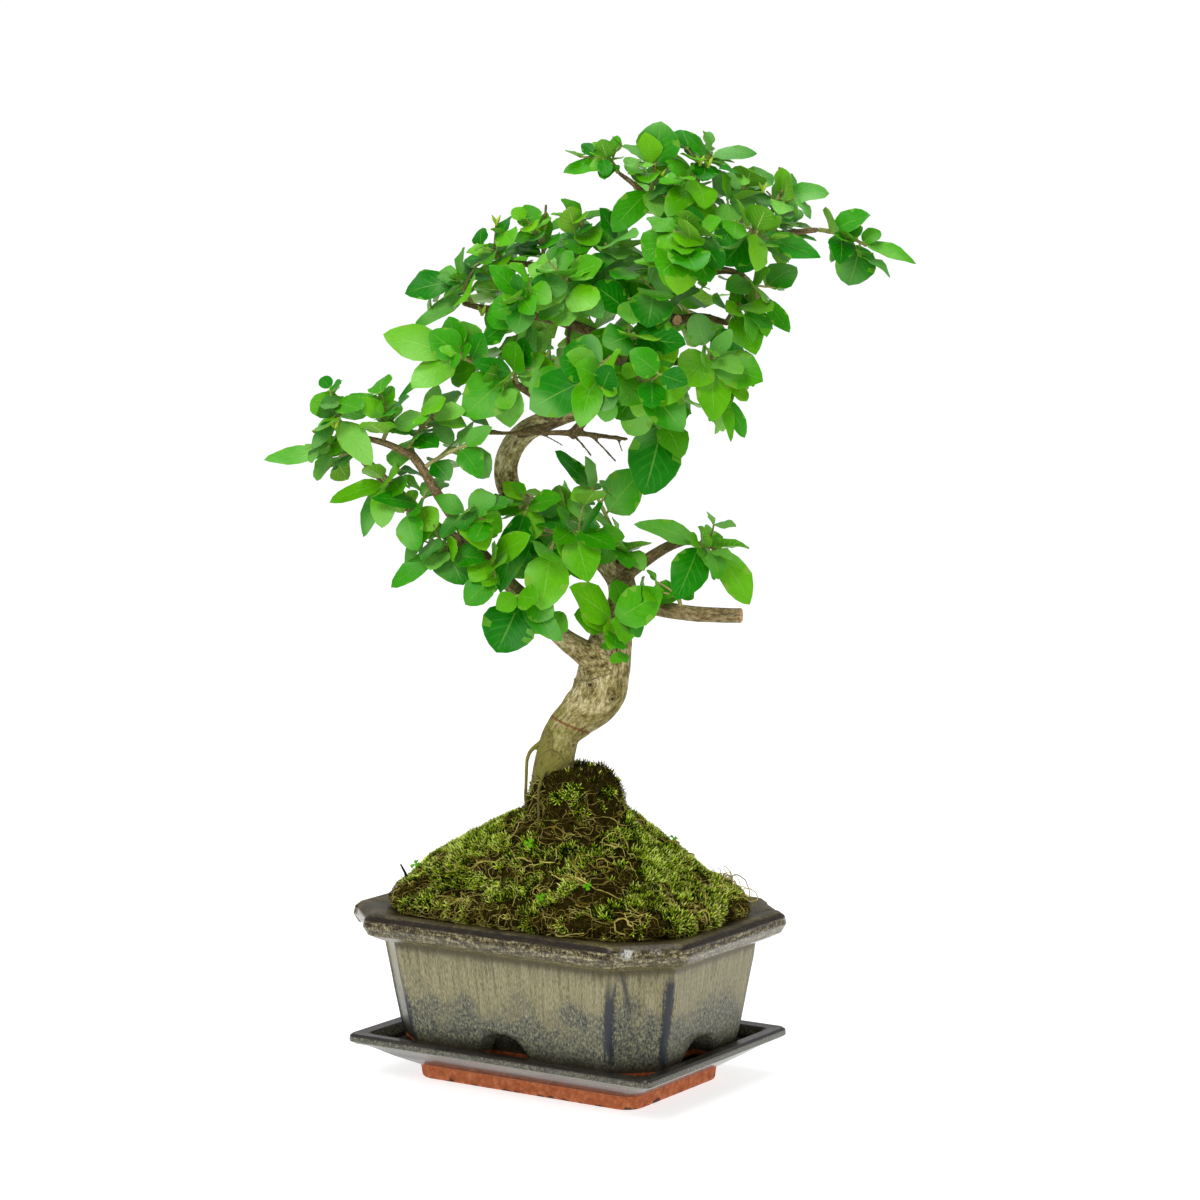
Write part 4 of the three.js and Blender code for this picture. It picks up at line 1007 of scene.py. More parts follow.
@dataclass
class Mound:
    """Soil heaped round a column at the trunk, under moss, rootlets and small weeds.

    Attributes:
        rings: the distance from the centre, in millimetres or as a share of the way from the column to the
            mouth, and the height there.
        centre: the mound's centre.
        column_radius: the column's radius.
        inset: how far the mound stays from the pot's mouth.
        mouth: the mouth's length, width and corner chamfer.
        thickness: of the moss skin.
        lowest: how low its edge hangs, just clear of the rim.
        columns: how many points go round the fine skin.
        rows: how many go from its middle to its edge.
    """

    rings: Sequence[tuple[float, float, float]] = (
        (0, 0, 158), (10.5, 0, 158), (16, 0, 157), (21, 0, 151), (24.5, 0, 136), (24.5, 0.2, 130),
        (24.5, 0.45, 122), (24.5, 0.7, 113), (24.5, 0.88, 107), (24.5, 1, 101), (36.0, 1, 94),
        (37.6, 1, 90.5), (36.6, 1, 87.8),
    )
    centre: tuple[float, float] = (3.4, 2.2)
    column_radius: float = 24.5
    inset: float = 1.8
    mouth: tuple[float, float, float] = (152.0, 102.0, 22.0)
    thickness: float = 3.5
    lowest: float = 87.3
    columns: int = 256
    rows: int = 130

    def reach(self, angle: float) -> float:
        """How far the mouth is from the mound's centre.

        Args:
            angle: the direction, anticlockwise from x.

        Returns:
            The distance, in millimetres.
        """
        length, width, chamfer = self.mouth
        corner = (length / 2 + width / 2 - chamfer) / sqrt(2)
        best = float("inf")
        for eighth in range(8):
            x, y = cos(eighth * pi / 4), sin(eighth * pi / 4)
            distance = corner if eighth % 2 else (width / 2 if eighth % 4 else length / 2)
            facing = x * cos(angle) + y * sin(angle)
            if facing > 1e-6:
                away = distance - self.inset - x * self.centre[0] - y * self.centre[1]
                best = min(best, away / facing)
        return best

    def lay(self) -> np.ndarray:
        """The smooth mound's top, as rows by columns by three.

        Returns:
            The grid, from the middle outwards.
        """
        rings = np.array(self.rings)
        spots = np.linspace(0.0, len(rings) - 1.0, self.rows)
        order = np.arange(len(rings))
        base, share, height = (np.interp(spots, order, rings[:, i]) for i in range(3))
        outer = np.interp(spots, order, np.where(rings[:, 1] < 1, rings[:, 1], 0.0))[:, None]
        angles = np.arange(self.columns) / self.columns * 2 * pi
        reach = np.array([self.reach(angle) for angle in angles])
        kernel = np.exp(-0.5 * (np.arange(-9, 10) / 3.5) ** 2)
        kernel /= kernel.sum()
        reach = np.convolve(np.concatenate([reach[-9:], reach, reach[:9]]), kernel, "valid")
        shoulder = 1.6 * np.sin(3 * angles + 1) + 1.2 * np.sin(5 * angles) - 5.5 * np.cos(angles - TREE_TURN)
        distance = base[:, None] + share[:, None] * (reach - self.column_radius)
        top = height[:, None] + shoulder * outer
        grid = np.stack([
            self.centre[0] + distance * np.cos(angles), self.centre[1] + distance * np.sin(angles), top,
        ], axis=2)
        for _ in range(3):
            grid[1:-1] = 0.25 * grid[:-2] + 0.5 * grid[1:-1] + 0.25 * grid[2:]
        return grid

    def mossy(self, point: np.ndarray) -> float:
        """How much moss grows at a place, 0 to 1.

        Args:
            point: the place, in millimetres.

        Returns:
            Its share of moss.
        """
        across, toward, up = seen(point)
        patch = 1.7 * noise.noise(Vector((point[0] / 12, point[1] / 12, point[2] / 9 + 3.1)))
        fine = noise.noise(Vector(point / 5.5))
        lean = 0.34 * clamped((-10 - across) / 10) * clamped((up - 98) / 8)
        lean += 0.34 * clamped((across - 24) / 10) * clamped((up - 92) / 8)
        lean -= 0.45 * clamped((up - 128) / 8)
        lean -= 0.16 if up < 100 and toward > 0 else 0.0
        lean -= 0.2 * exp(-((across - 6) / 20) ** 2) if toward > 0 else 0.0
        return clamped((patch + 0.6 * fine + lean + 0.04) * 3.0)

    def build(self, finish: Material) -> Object:
        """Makes the mossy skin, and keeps its top for what grows on it.

        Args:
            finish: the piece's material.

        Returns:
            The piece.
        """
        grid = self.lay()
        outward = np.gradient(grid, axis=0)
        round_it = np.roll(grid, -1, axis=1) - np.roll(grid, 1, axis=1)
        lean = np.cross(outward, round_it)
        lean[0] = UP
        lean /= np.linalg.norm(lean, axis=2, keepdims=True)
        moss = np.array([[self.mossy(point) for point in row] for row in grid])
        lift = np.empty(moss.shape)
        for spot in np.ndindex(*moss.shape):
            point, grown = grid[spot], moss[spot]
            cushion = noise.noise(Vector(point / 6.5)) + 0.5 * noise.noise(Vector(point / 2.6))
            crumb = noise.noise(Vector(point / 3.4)) + 0.7 * noise.noise(Vector(point / 1.5))
            lift[spot] = 0.5 + grown * (0.7 + 1.1 * cushion) + (1 - grown) * 0.9 * crumb
        edge = np.clip((self.rows - 1 - np.arange(self.rows)) / 6, 0.3, 1.0)[:, None]
        top = grid + lean * (lift * edge)[:, :, None]
        top[:, :, 2] = np.maximum(top[:, :, 2], self.lowest)
        under = grid[::8].copy()
        away = under[:, :, :2] - self.centre
        far = np.linalg.norm(away, axis=2, keepdims=True)
        under[:, :, :2] -= away / np.maximum(far, 1.0) * np.minimum(2.4, far * 0.8)
        under[:, :, 2] = np.maximum(under[:, :, 2] - self.thickness, self.lowest)
        mesh = loft("mound_skin", [*under, *top[::-1]])
        growth = np.concatenate([np.zeros(under.shape[0] * self.columns), moss[::-1].ravel(), np.zeros(2)])
        write_attributes(mesh, moss=growth)
        self.top, self.lean, self.growth = top, lean, moss
        return add_piece(make_object("mound_skin", mesh), Slot.MOSS, finish, ["moss_cover"])

    def on_top(self, angle: float, row: float, lift: float = 0.0) -> np.ndarray:
        """The place over the mound's top at an angle and a row number, a given height above it.

        Args:
            angle: the direction from the centre.
            row: the row number, with its fraction.
            lift: the height.

        Returns:
            The place, in millimetres.
        """
        row = min(max(row, 0.0), self.rows - 1.001)
        low = int(row)
        column = int(angle / (2 * pi) * self.columns) % self.columns
        share = row - low
        place = self.top[low, column] * (1 - share) + self.top[low + 1, column] * share
        return place + self.lean[low, column] * lift

    def spot_seen_at(self, across: float, up: float) -> tuple[float, float]:
        """The angle and row of the place that shows at a point of the front view.

        Args:
            across: to the right in the front view.
            up: its height there.

        Returns:
            The angle and the row number.
        """
        places = seen(self.top)
        facing = seen(self.lean)[..., 1] > -0.05
        miss = np.hypot(places[..., 0] - across, places[..., 2] - VIEW_DROP * places[..., 1] - up)
        row, column = np.unravel_index(np.argmin(np.where(facing, miss, 1e9)), miss.shape)
        return column / self.columns * 2 * pi, float(row)

    def strand(
        self, start: tuple[float, float], draw: Callable[[], float], look: "StrandLook"
    ) -> list[Point]:
        """A rootlet's path: it wanders over the mound from its start, and loops a little off it.

        Args:
            start: the start's angle and row number.
            draw: the stream of numbers.
            look: how the kind runs.

        Returns:
            The places along it.
        """
        angle, row = start
        heading = draw() * 2 * pi
        count = int(look.points * (0.6 + 0.8 * draw()))
        phase, bend, path = draw() * 6.0, 0.0, []
        for step in range(count):
            bend += (draw() - 0.5) * look.wander
            bend *= 0.82
            heading += bend
            share = step / max(1, count - 1)
            hop = look.hop * abs(sin(phase + share * look.loops)) * sin(pi * share) ** 0.5
            path.append(self.on_top(angle, row, look.lift + hop))
            here = self.on_top(angle, row)
            around = max(6.0, hypot(here[0] - self.centre[0], here[1] - self.centre[1]))
            along = self.on_top(angle, row + 1.0)
            pace = max(0.25, float(np.linalg.norm(along - here)))
            angle += look.step * cos(heading) / around
            row += look.step * sin(heading) / pace
            row = min(row, self.rows - 2.0 + look.over)
        return path


@dataclass(frozen=True)
class StrandLook:
    """How a kind of rootlet runs.

    Attributes:
        points: about how many points its path has.
        step: between them.
        wander: how sharply it turns.
        hop: how far it loops off the ground.
        loops: how often, as an angle.
        lift: how far it lies above the ground.
        radius: its thickness, and how much that varies.
        over: how many rows it may hang past the edge.
    """

    points: int = 13
    step: float = 1.5
    wander: float = 1.3
    hop: float = 1.6
    loops: float = 7.0
    lift: float = 0.5
    radius: tuple[float, float] = (0.12, 0.14)
    over: float = 0.0


@dataclass
class Strands:
    """Paths with their girth and tone, gathered to be made into one piece."""

    points: list[Point] = field(default_factory=list)
    edges: list[tuple[int, int]] = field(default_factory=list)
    girth: list[float] = field(default_factory=list)
    tone: list[float] = field(default_factory=list)

    def add(self, path: Sequence[Any], girth: Sequence[float] | float, tone: float = 0.5) -> None:
        """Adds a path. A single girth tapers towards the path's end.

        Args:
            path: places along it.
            girth: the radius, one for all or one for each place.
            tone: how light it is, 0 to 1.
        """
        first, count = len(self.points), len(path)
        if isinstance(girth, (int, float)):
            girth = [girth * (1.0 - 0.55 * (i / (count - 1)) ** 2) for i in range(count)]
        self.points += [np.asarray(point, float) for point in path]
        self.edges += [(first + i, first + i + 1) for i in range(count - 1)]
        self.girth += list(girth)
        self.tone += [tone] * count

    def build(self, name: str, grower: Grower, sides: int, finish: Material) -> Object:
        """Runs the strand tree on the paths.

        Args:
            name: the piece's name.
            grower: the tree that makes tubes of paths.
            sides: how many sides a tube has.
            finish: the piece's material.

        Returns:
            The piece.
        """
        mesh = make_mesh(name, self.points, edges=self.edges)
        write_attributes(mesh, girth=self.girth, tone=self.tone)
        return grower.grow(make_object(name, mesh), {"Sides": sides, "Finish": finish})


@dataclass
class Undergrowth:
    """What grows and lies on the mound: moss tufts, rootlets, clover and dead bits.

    Attributes:
        mound: the mound under it.
        density: moss tufts a square metre.
        tuft_size: the least and greatest tuft, as shares of the drawn one.
        clovers: the clover's places in the front view, [across, up, leaf size].
        coils: places of the thick curly rootlets in the front view, [across, up].
        clump: where a loose clump of rootlets stands off, [across, up].
        strands: how many fine rootlets lie low on the mound, and how many higher up.
        stalks: how many short stalks stand on the column.
    """

    mound: Mound
    density: float = 820000.0
    tuft_size: tuple[float, float] = (0.8, 1.9)
    clovers: Sequence[Row] = ((-18, 118, 2.6), (-75, 107, 2.9), (-12, 90, 2.4), (52, 121, 2.2), (10, 96, 2.2))
    coils: Sequence[Row] = (
        (2, 124), (8, 128), (14, 126), (17, 120), (6, 116), (22, 130), (28, 124), (-2, 120), (12, 112),
        (20, 108), (30, 104), (4, 104), (36, 100), (12, 98), (26, 96), (-8, 110), (33, 112), (8, 92),
    )
    clump: tuple[float, float] = (83, 101)
    strands: tuple[int, int] = (1450, 620)
    stalks: int = 1200

    def tuft(self) -> Object:
        """One small shoot of moss: four pointed leaflets that lean outwards.

        Returns:
            The pattern.
        """
        points, faces = [], []
        for leaf in range(4):
            turn = leaf * pi / 2
            out = np.array([cos(turn), sin(turn), 0.0])
            side = np.array([-sin(turn), cos(turn), 0.0])
            reach, height = (1.25, 1.15) if leaf % 2 else (0.8, TUFT_HEIGHT)
            first = len(points)
            points += [-side * 0.3 + out * 0.1, side * 0.3 + out * 0.1, out * 0.45 + UP * 0.15]
            points.append(out * reach + UP * height)
            faces += [(first, first + 1, first + 3), (first + 1, first + 2, first + 3),
                      (first + 2, first, first + 3), (first, first + 2, first + 1)]
        mesh = make_mesh("tuft_pattern", points, faces, smooth=False)
        write_attributes(mesh, tip=np.array(points)[:, 2] / TUFT_HEIGHT)
        return make_object("tuft_pattern", mesh)

    def sward(self, grower: Grower, finish: Material) -> Object:
        """Makes the moss tufts.

        Args:
            grower: the tree that scatters tufts.
            finish: the piece's material.

        Returns:
            The piece.
        """
        mound, tuft = self.mound, self.tuft()
        top, columns = mound.top, mound.columns
        faces = skin(mound.rows, columns, capped=False)
        mesh = make_mesh("moss_sward", top[::-1].reshape(-1, 3), faces)
        write_attributes(mesh, moss=np.clip(mound.growth[::-1].ravel(), 0.03, 1.0))
        least, greatest = self.tuft_size
        settings = {
            "Tuft": tuft, "Density": self.density, "Least size": least, "Greatest size": greatest,
            "Seed": 4, "Finish": finish,
        }
        piece = grower.grow(make_object("moss_sward", mesh), settings)
        bpy.data.objects.remove(tuft)
        return add_piece(piece, Slot.MOSS)

    def rootlets(self, grower: Grower, finish: Material) -> Object:
        """Makes the wiry rootlets that mat the mound, most of them low down.

        Args:
            grower: the tree that makes tubes of paths.
            finish: the piece's material.

        Returns:
            The piece.
        """
        rows, draw, strands = self.mound.rows, number_stream(411), Strands()
        fine = StrandLook(over=0.6)
        for count, start, run, bias in zip(self.strands, (0.55, 0.24), (0.45, 0.5), (0.7, 1.0)):
            for _ in range(count):
                spot = (draw() * 2 * pi, rows * (start + run * draw() ** bias))
                self.lay_strand(strands, spot, draw, fine)
        return add_piece(strands.build("rootlets", grower, 3, finish), Slot.MOSS)

    def curly_roots(self, grower: Grower, finish: Material) -> Object:
        """Makes the thick curly roots, many of them in front.

        Args:
            grower: the tree that makes tubes of paths.
            finish: the piece's material.

        Returns:
            The piece.
        """
        mound, draw, strands = self.mound, number_stream(523), Strands()
        thick = StrandLook(points=18, step=1.6, wander=1.0, hop=3.0, lift=0.6, radius=(0.28, 0.2))
        for across, up in self.coils:
            self.lay_strand(strands, mound.spot_seen_at(across, up), draw, thick)
        for _ in range(34):
            spot = (draw() * 2 * pi, mound.rows * (0.5 + 0.45 * draw()))
            self.lay_strand(strands, spot, draw, thick)
        loose = StrandLook(points=14, step=1.6, wander=1.1, hop=7.0, loops=3.0, radius=(0.16, 0.16))
        for _ in range(16):
            across, up = self.clump
            spot = mound.spot_seen_at(across + 8 * (draw() - 0.5), up + 6 * (draw() - 0.5))
            self.lay_strand(strands, spot, draw, loose)
        return add_piece(strands.build("curly_roots", grower, 6, finish), Slot.MOSS)

    def column_stalks(self, grower: Grower, finish: Material) -> Object:
        """Makes the short stalks of old moss that stand out of the column and the bare places.

        Args:
            grower: the tree that makes tubes of paths.
            finish: the piece's material.

        Returns:
            The piece.
        """
        mound, draw, strands = self.mound, number_stream(97), Strands()
        while len(strands.points) < 4 * self.stalks:
            angle, row = draw() * 2 * pi, mound.rows * (0.1 + 0.36 * draw())
            foot, head = mound.on_top(angle, row, -0.4), mound.on_top(angle, row, 1.0)
            out = (head - foot) / 1.4
            way = out + UP * (0.1 + 0.5 * draw())
            way += np.array([draw() - 0.5, draw() - 0.5, draw() - 0.5]) * 0.9
            run = 1.0 + 1.7 * draw() ** 1.5
            path = [foot + way * run * share + out * 0.3 * sin(share * 3.0) for share in (0, 0.35, 0.7, 1)]
            strands.add(path, 0.12 + 0.13 * draw(), draw())
        return add_piece(strands.build("moss_stalks", grower, 3, finish), Slot.MOSS)

    def lay_strand(
        self, strands: Strands, start: tuple[float, float], draw: Callable[[], float], look: StrandLook
    ) -> None:
        """Adds one rootlet of a kind.

        Args:
            strands: the paths that it joins.
            start: the start's angle and row number.
            draw: the stream of numbers.
            look: how the kind runs.
        """
        path = self.mound.strand(start, draw, look)
        least, more = look.radius
        strands.add(path, least + more * draw() ** 2, draw())

    def clover(self, finish: Material) -> Object:
        """Makes the clover plants: three notched leaflets on a short stalk.

        Args:
            finish: the piece's material.

        Returns:
            The piece.
        """
        points, faces = [], []
        for number, (across, up, size) in enumerate(self.clovers):
            angle, row = self.mound.spot_seen_at(across, up)
            root, head = self.mound.on_top(angle, row, 0.0), self.mound.on_top(angle, row, 3.2)
            lean = self.mound.lean[int(row), int(angle / (2 * pi) * self.mound.columns) % self.mound.columns]
            facing = lean + np.array([0.35, -0.5, 0.5])
            facing /= np.linalg.norm(facing)
            first_side = np.cross(facing, UP)
            first_side /= np.linalg.norm(first_side)
            for leaflet in range(3):
                turn = leaflet * 2 * pi / 3 + number
                out = first_side * cos(turn) + np.cross(facing, first_side) * sin(turn)
                side = np.cross(facing, out)
                loop = [(0.0, 0.0), (0.45, 0.42), (0.85, 0.5), (1.05, 0.3), (0.93, 0.0)]
                loop += [(a, -b) for a, b in reversed(loop[1:-1])]
                add_prism(points, faces, *(
                    [head + out * a * size + side * b * size + facing * (level + 0.25 * abs(b) * size)
                     for a, b in loop] for level in (0.0, 0.25)))
            side = np.cross(facing, first_side)
            add_prism(points, faces, *(
                [end + (first_side * cos(t) + side * sin(t)) * 0.3 for t in (0.0, 2.1, 4.2)]
                for end in (root, head)))
        mesh = make_mesh("clover", points, faces, smooth=False)
        return add_piece(make_object("clover", mesh), Slot.LEAF, finish)

    def litter(self, grower: Grower, finish: Material) -> Object:
        """Makes the dead twigs and bits that lie on the mound.

        Args:
            grower: the tree that makes tubes of paths.
            finish: the piece's material.

        Returns:
            The piece.
        """
        draw, strands = number_stream(77), Strands()
        angle, row = self.mound.spot_seen_at(-84, 106)
        foot = self.mound.on_top(angle, row, -0.5)
        tip = foot + turned((-3.5, 2.0, 9.0))
        strands.add([foot, foot * 0.5 + tip * 0.5 + (0.6, 0.0, 0.0), tip], [0.75, 0.7, 0.45], 0.1)
        look = StrandLook(points=5, step=1.4, wander=0.3, hop=0.2, lift=0.4, radius=(0.45, 0.35))
        for _ in range(90):
            self.lay_strand(strands, (draw() * 2 * pi, self.mound.rows * (0.3 + 0.68 * draw())), draw, look)
        return add_piece(strands.build("litter", grower, 5, finish), Slot.SOIL)


# The tree: places from its front side


def place(across: float, toward: float, up: float) -> np.ndarray:
    """A place of the front view in the tree's own frame."""
    return np.array([across, -toward, up], float)


def turned(point: Any) -> np.ndarray:
    """A vector or places of the front view, [across, toward, up], in the model's frame."""
    given = np.asarray(point, float)
    return to_frame(given * (1.0, -1.0, 1.0))


def to_frame(local: np.ndarray) -> np.ndarray:
    """Places or directions of the tree's own frame in the model's frame.

    Args:
        local: the last axis is x, y and z.

    Returns:
        The same shape.
    """
    x, y, z = local[..., 0], local[..., 1], local[..., 2]
    turned_x = x * cos(TREE_TURN) - y * sin(TREE_TURN)
    return np.stack([turned_x, x * sin(TREE_TURN) + y * cos(TREE_TURN), z], axis=-1)


def seen(point: np.ndarray) -> np.ndarray:
    """Places or directions of the model's frame as [across, toward, up] of the front view.

    Args:
        point: the last axis is x, y and z.

    Returns:
        The same shape.
    """
    x, y, z = point[..., 0], point[..., 1], point[..., 2]
    across = x * cos(TREE_TURN) + y * sin(TREE_TURN)
    return np.stack([across, x * sin(TREE_TURN) - y * cos(TREE_TURN), z], axis=-1)


def unit(vector: np.ndarray) -> np.ndarray:
    """The vector at length 1."""
    return vector * (1.0 / (norm(vector) or 1.0))


def dot(a: np.ndarray, b: np.ndarray) -> Any:
    """The dot product along the last axis, added up from x to z."""
    return a[..., 0] * b[..., 0] + a[..., 1] * b[..., 1] + a[..., 2] * b[..., 2]


def norm(a: np.ndarray) -> Any:
    """The length along the last axis."""
    return np.sqrt(dot(a, a))


def off_axis(axis: Point, turn: float, spread: float) -> Point:
    """A direction that spreads from an axis, turned about it.

    Args:
        axis: the axis, at length 1.
        turn: the angle about it.
        spread: the angle away from it.

    Returns:
        The direction, at length 1.
    """
    level = unit(np.cross(axis, UP))
    radial = level * cos(turn) + np.cross(axis, level) * sin(turn)
    return axis * cos(spread) + radial * sin(spread)


class Path:
    """A smooth centripetal curve through given points."""

    def __init__(self, points: Iterable[np.ndarray]) -> None:
        """Keeps the points."""
        self.points = list(points)

    def at(self, share: float) -> np.ndarray:
        """The place at a share of the way, counted in points.

        Args:
            share: from 0 at the start to 1 at the end.

        Returns:
            The place.
        """
        points = self.points
        count = len(points)
        spot = (count - 1) * share
        index = floor(spot)
        weight = spot - index
        if weight == 0 and index == count - 1:
            index, weight = count - 2, 1.0
        p1, p2 = points[index], points[index + 1]
        p0 = points[index - 1] if index > 0 else points[0] - points[1] + points[0]
        p3 = points[index + 2] if index + 2 < count else points[-1] - points[-2] + points[-1]
        d0, d1, d2 = (dot(b - a, b - a) ** 0.25 for a, b in ((p0, p1), (p1, p2), (p2, p3)))
        d1 = 1.0 if d1 < 1e-4 else d1
        d0 = d1 if d0 < 1e-4 else d0
        d2 = d1 if d2 < 1e-4 else d2
        t1 = ((p1 - p0) / d0 - (p2 - p0) / (d0 + d1) + (p2 - p1) / d1) * d1
        t2 = ((p2 - p1) / d1 - (p3 - p1) / (d1 + d2) + (p3 - p2) / d2) * d1
        c2 = -3 * p1 + 3 * p2 - 2 * t1 - t2
        c3 = 2 * p1 - 2 * p2 + t1 + t2
        return p1 + t1 * weight + c2 * weight * weight + c3 * weight * weight * weight

    def heading(self, share: float) -> np.ndarray:
        """The direction at a share of the way."""
        return unit(self.at(min(1.0, share + 0.0001)) - self.at(max(0.0, share - 0.0001)))


class Bow(Path):
    """A quadratic Bezier curve over three points."""

    def at(self, share: float) -> np.ndarray:
        """The place at a share of the way.

        Args:
            share: from 0 at the start to 1 at the end.

        Returns:
            The place.
        """
        p0, p1, p2 = self.points
        back = 1 - share
        return back * back * p0 + 2 * back * share * p1 + share * share * p2


LIMBS: dict[str, Sequence[Row]] = {
    "trunk": (
        (-8, 0, 70, 13), (-8, 0, 111, 11.5), (-8, 0, 142, 11), (-8, 0, 154, 10.4), (-6, 0, 166, 9.8),
        (-3, 1, 176, 9.3), (4, 3, 184, 10.6), (12, 4, 192, 13), (16, 4, 199, 13.8), (18, 3, 208, 13),
        (20, 2, 217, 12), (23, 0, 229, 9.5), (27, -3, 242, 7.4), (26, -6, 253, 7), (15, -8, 266, 6.6),
        (-3, -8, 278, 6.2), (-20, -6, 289, 6.2), (-29, -4, 298, 6.2), (-31, -2, 309, 6),
        (-28, 0, 319, 5.9), (-20, 2, 328, 5.6), (-5, 4, 335, 5.2), (12, 4, 341, 5), (24, 3, 349, 4.8),
        (31, 1, 360, 4.6), (36, -1, 374, 4.3), (43, -3, 390, 4), (52, -4, 405, 3.6), (59, -4, 416, 3.2),
        (62, -2, 428, 2.7), (60, 0, 440, 2.2),
    ),
    "lower_left": (
        (16, 4, 211, 7), (6, 8, 219, 6.2), (-4, 12, 227, 5), (-14, 15, 239, 4.4), (-26, 17, 250, 4),
        (-37, 18, 262, 3.6), (-52, 17, 273, 3.3), (-67, 14, 282, 3.1), (-79, 12, 293, 2.9),
        (-91, 10, 304, 2.7), (-102, 8, 315, 2.5),
    ),
    "left_fork": (
        (-37, 18, 262, 3.2), (-47, 24, 274, 3.1), (-56, 28, 287, 2.8), (-64, 30, 299, 2.6),
        (-71, 30, 311, 2.4), (-78, 28, 320, 2.2),
    ),
    "left_high": ((-76, 29, 317, 2), (-89, 28, 323, 1.8), (-100, 27, 326, 1.5), (-112, 26, 331, 1.1)),
    "right_stub": (
        (27, -3, 242, 5), (39, 8, 241, 4.3), (54, 16, 239, 4), (70, 22, 238, 3.9), (86, 26, 238, 3.7),
    ),
    "right_lower": ((26, -6, 253, 4), (38, -3, 262, 3.2), (50, 2, 270, 2.7), (61, 6, 274, 2)),
    "lower_back": ((26, -6, 253, 4), (20, -22, 262, 2.6), (8, -38, 268, 2), (-6, -50, 272, 1.5)),
    "cross_twig": ((-41, 11, 327, 1), (-18, 12, 327, 1.2), (2, 9, 327, 1.7), (30, 11, 324, 1)),
    "knob_branch": ((1, 9, 325, 2.6), (8, 9, 333, 2.4), (16, 5, 342, 2.4)),
    "left_bottom": ((-5, 4, 335, 3), (-14, 14, 344, 2.4), (-26, 22, 352, 2), (-38, 26, 358, 1.4)),
    "upper_left": (
        (31, 1, 360, 3.4), (20, 4, 372, 3), (0, 6, 381, 2.7), (-22, 6, 386, 2.4), (-39, 6, 388, 2),
        (-52, 8, 391, 1.4),
    ),
    "high_left": (
        (43, -3, 390, 3), (28, -4, 398, 2.6), (8, -2, 405, 2.3), (-12, 2, 409, 1.9), (-30, 4, 411, 1.4),
    ),
    "top_left": (
        (58, -4, 414, 3), (49, -2, 430, 2.3), (42, 0, 440, 1.9), (33, 2, 449, 1.5), (25, 2, 455, 1.1),
    ),
    "right_upper": (
        (57, -3, 412, 3.2), (72, -2, 421, 3), (88, -2, 423, 2.4), (106, -2, 425, 1.9),
        (124, -1, 427, 1.4),
    ),
    "right_mid": ((48, -4, 399, 3), (62, 2, 404, 2.4), (78, 4, 407, 1.9), (88, 5, 404, 1.4)),
    "right_low": ((38, -2, 380, 3), (52, 2, 382, 2.8), (66, 4, 384, 2.2), (80, 6, 381, 1.5)),
    "right_bottom": ((31, 1, 360, 3), (44, 6, 362, 2.6), (58, 10, 362, 2), (68, 12, 360, 1.4)),
    "front_stub": ((42, -2, 384, 3), (49, 12, 384, 2.9), (54, 24, 383, 2.8)),
    "front_low": ((24, 3, 349, 3.2), (26, 18, 356, 2.8), (26, 34, 362, 2.3), (22, 50, 366, 1.5)),
    "front_left": ((0, 6, 381, 2.4), (-6, 22, 384, 2), (-12, 38, 386, 1.4)),
    "front_up": ((52, -4, 405, 3), (58, 10, 412, 2.4), (64, 24, 418, 1.8), (66, 36, 421, 1.3)),
    "back_low": ((12, 4, 341, 3.4), (14, -12, 350, 2.9), (10, -30, 358, 2.4), (2, -48, 363, 1.6)),
    "back_mid": ((36, -1, 374, 3.2), (40, -18, 384, 2.6), (46, -36, 391, 2.1), (52, -50, 394, 1.4)),
    "back_up": ((59, -4, 416, 2.8), (56, -18, 424, 2.2), (52, -32, 430, 1.5)),
    "back_left": ((0, 6, 381, 2.4), (-10, -10, 388, 2), (-20, -26, 393, 1.4)),
    "right_back": ((88, -2, 423, 2.2), (94, -16, 424, 1.7), (98, -28, 424, 1.3)),
    "aerial_root": (
        (-13, 2, 172, 1.4), (-19.5, 3, 166, 1.1), (-21, 4, 152, 1), (-21, 5, 140, 1), (-18, 6, 128, 1.1),
    ),
    "second_root": ((-11, 9, 160, 1.2), (-14.5, 17, 150, 0.9), (-14.5, 22, 138, 0.9), (-15, 26, 122, 0.9)),
}
KNOTS: Sequence[tuple[Row, float]] = (
    ((21, 16, 196), 3.4), ((12, 15.5, 202), 3.8), ((24, 2, 262), 5.2), ((-79, 13, 292), 4.0),
)
STUBS: Sequence[tuple[Row, Row, float]] = (
    ((-36, 8, 416), (-35, 6, 430), 0.8), ((-12, 4, 425), (-10.5, 4, 439.5), 0.8),
    ((43, 5, 457), (35, 4, 473.5), 0.9), ((69, 4, 459), (63.5, 5, 466), 0.9),
    ((105, -1, 443), (104.5, 0, 458), 0.9), ((1, 7, 381), (0, 9, 367), 1.0),
    ((-66, 30, 334), (-65.5, 31, 340), 1.0), ((-112, 26, 331), (-124.5, 27, 328), 0.9),
    ((2, 9, 327), (12, 18, 316), 0.7), ((10, 9, 327), (24, 12, 313), 0.7),
    ((-14, 12, 327), (-2, 16, 321), 0.6), ((24, 9, 326), (27, 14, 318), 0.6),
    ((-30, 12, 327), (-44, 12, 329), 0.7),
)
BUDS: Sequence[Row] = (
    (-42, 14, 386), (-11, 20, 364.5), (65, 12, 459), (69, 12, 458), (-113.5, 30, 330.5), (-35, 7, 430),
    (46, 8, 452), (-12, 6, 426), (96, 8, 446), (-54, 12, 402),
)

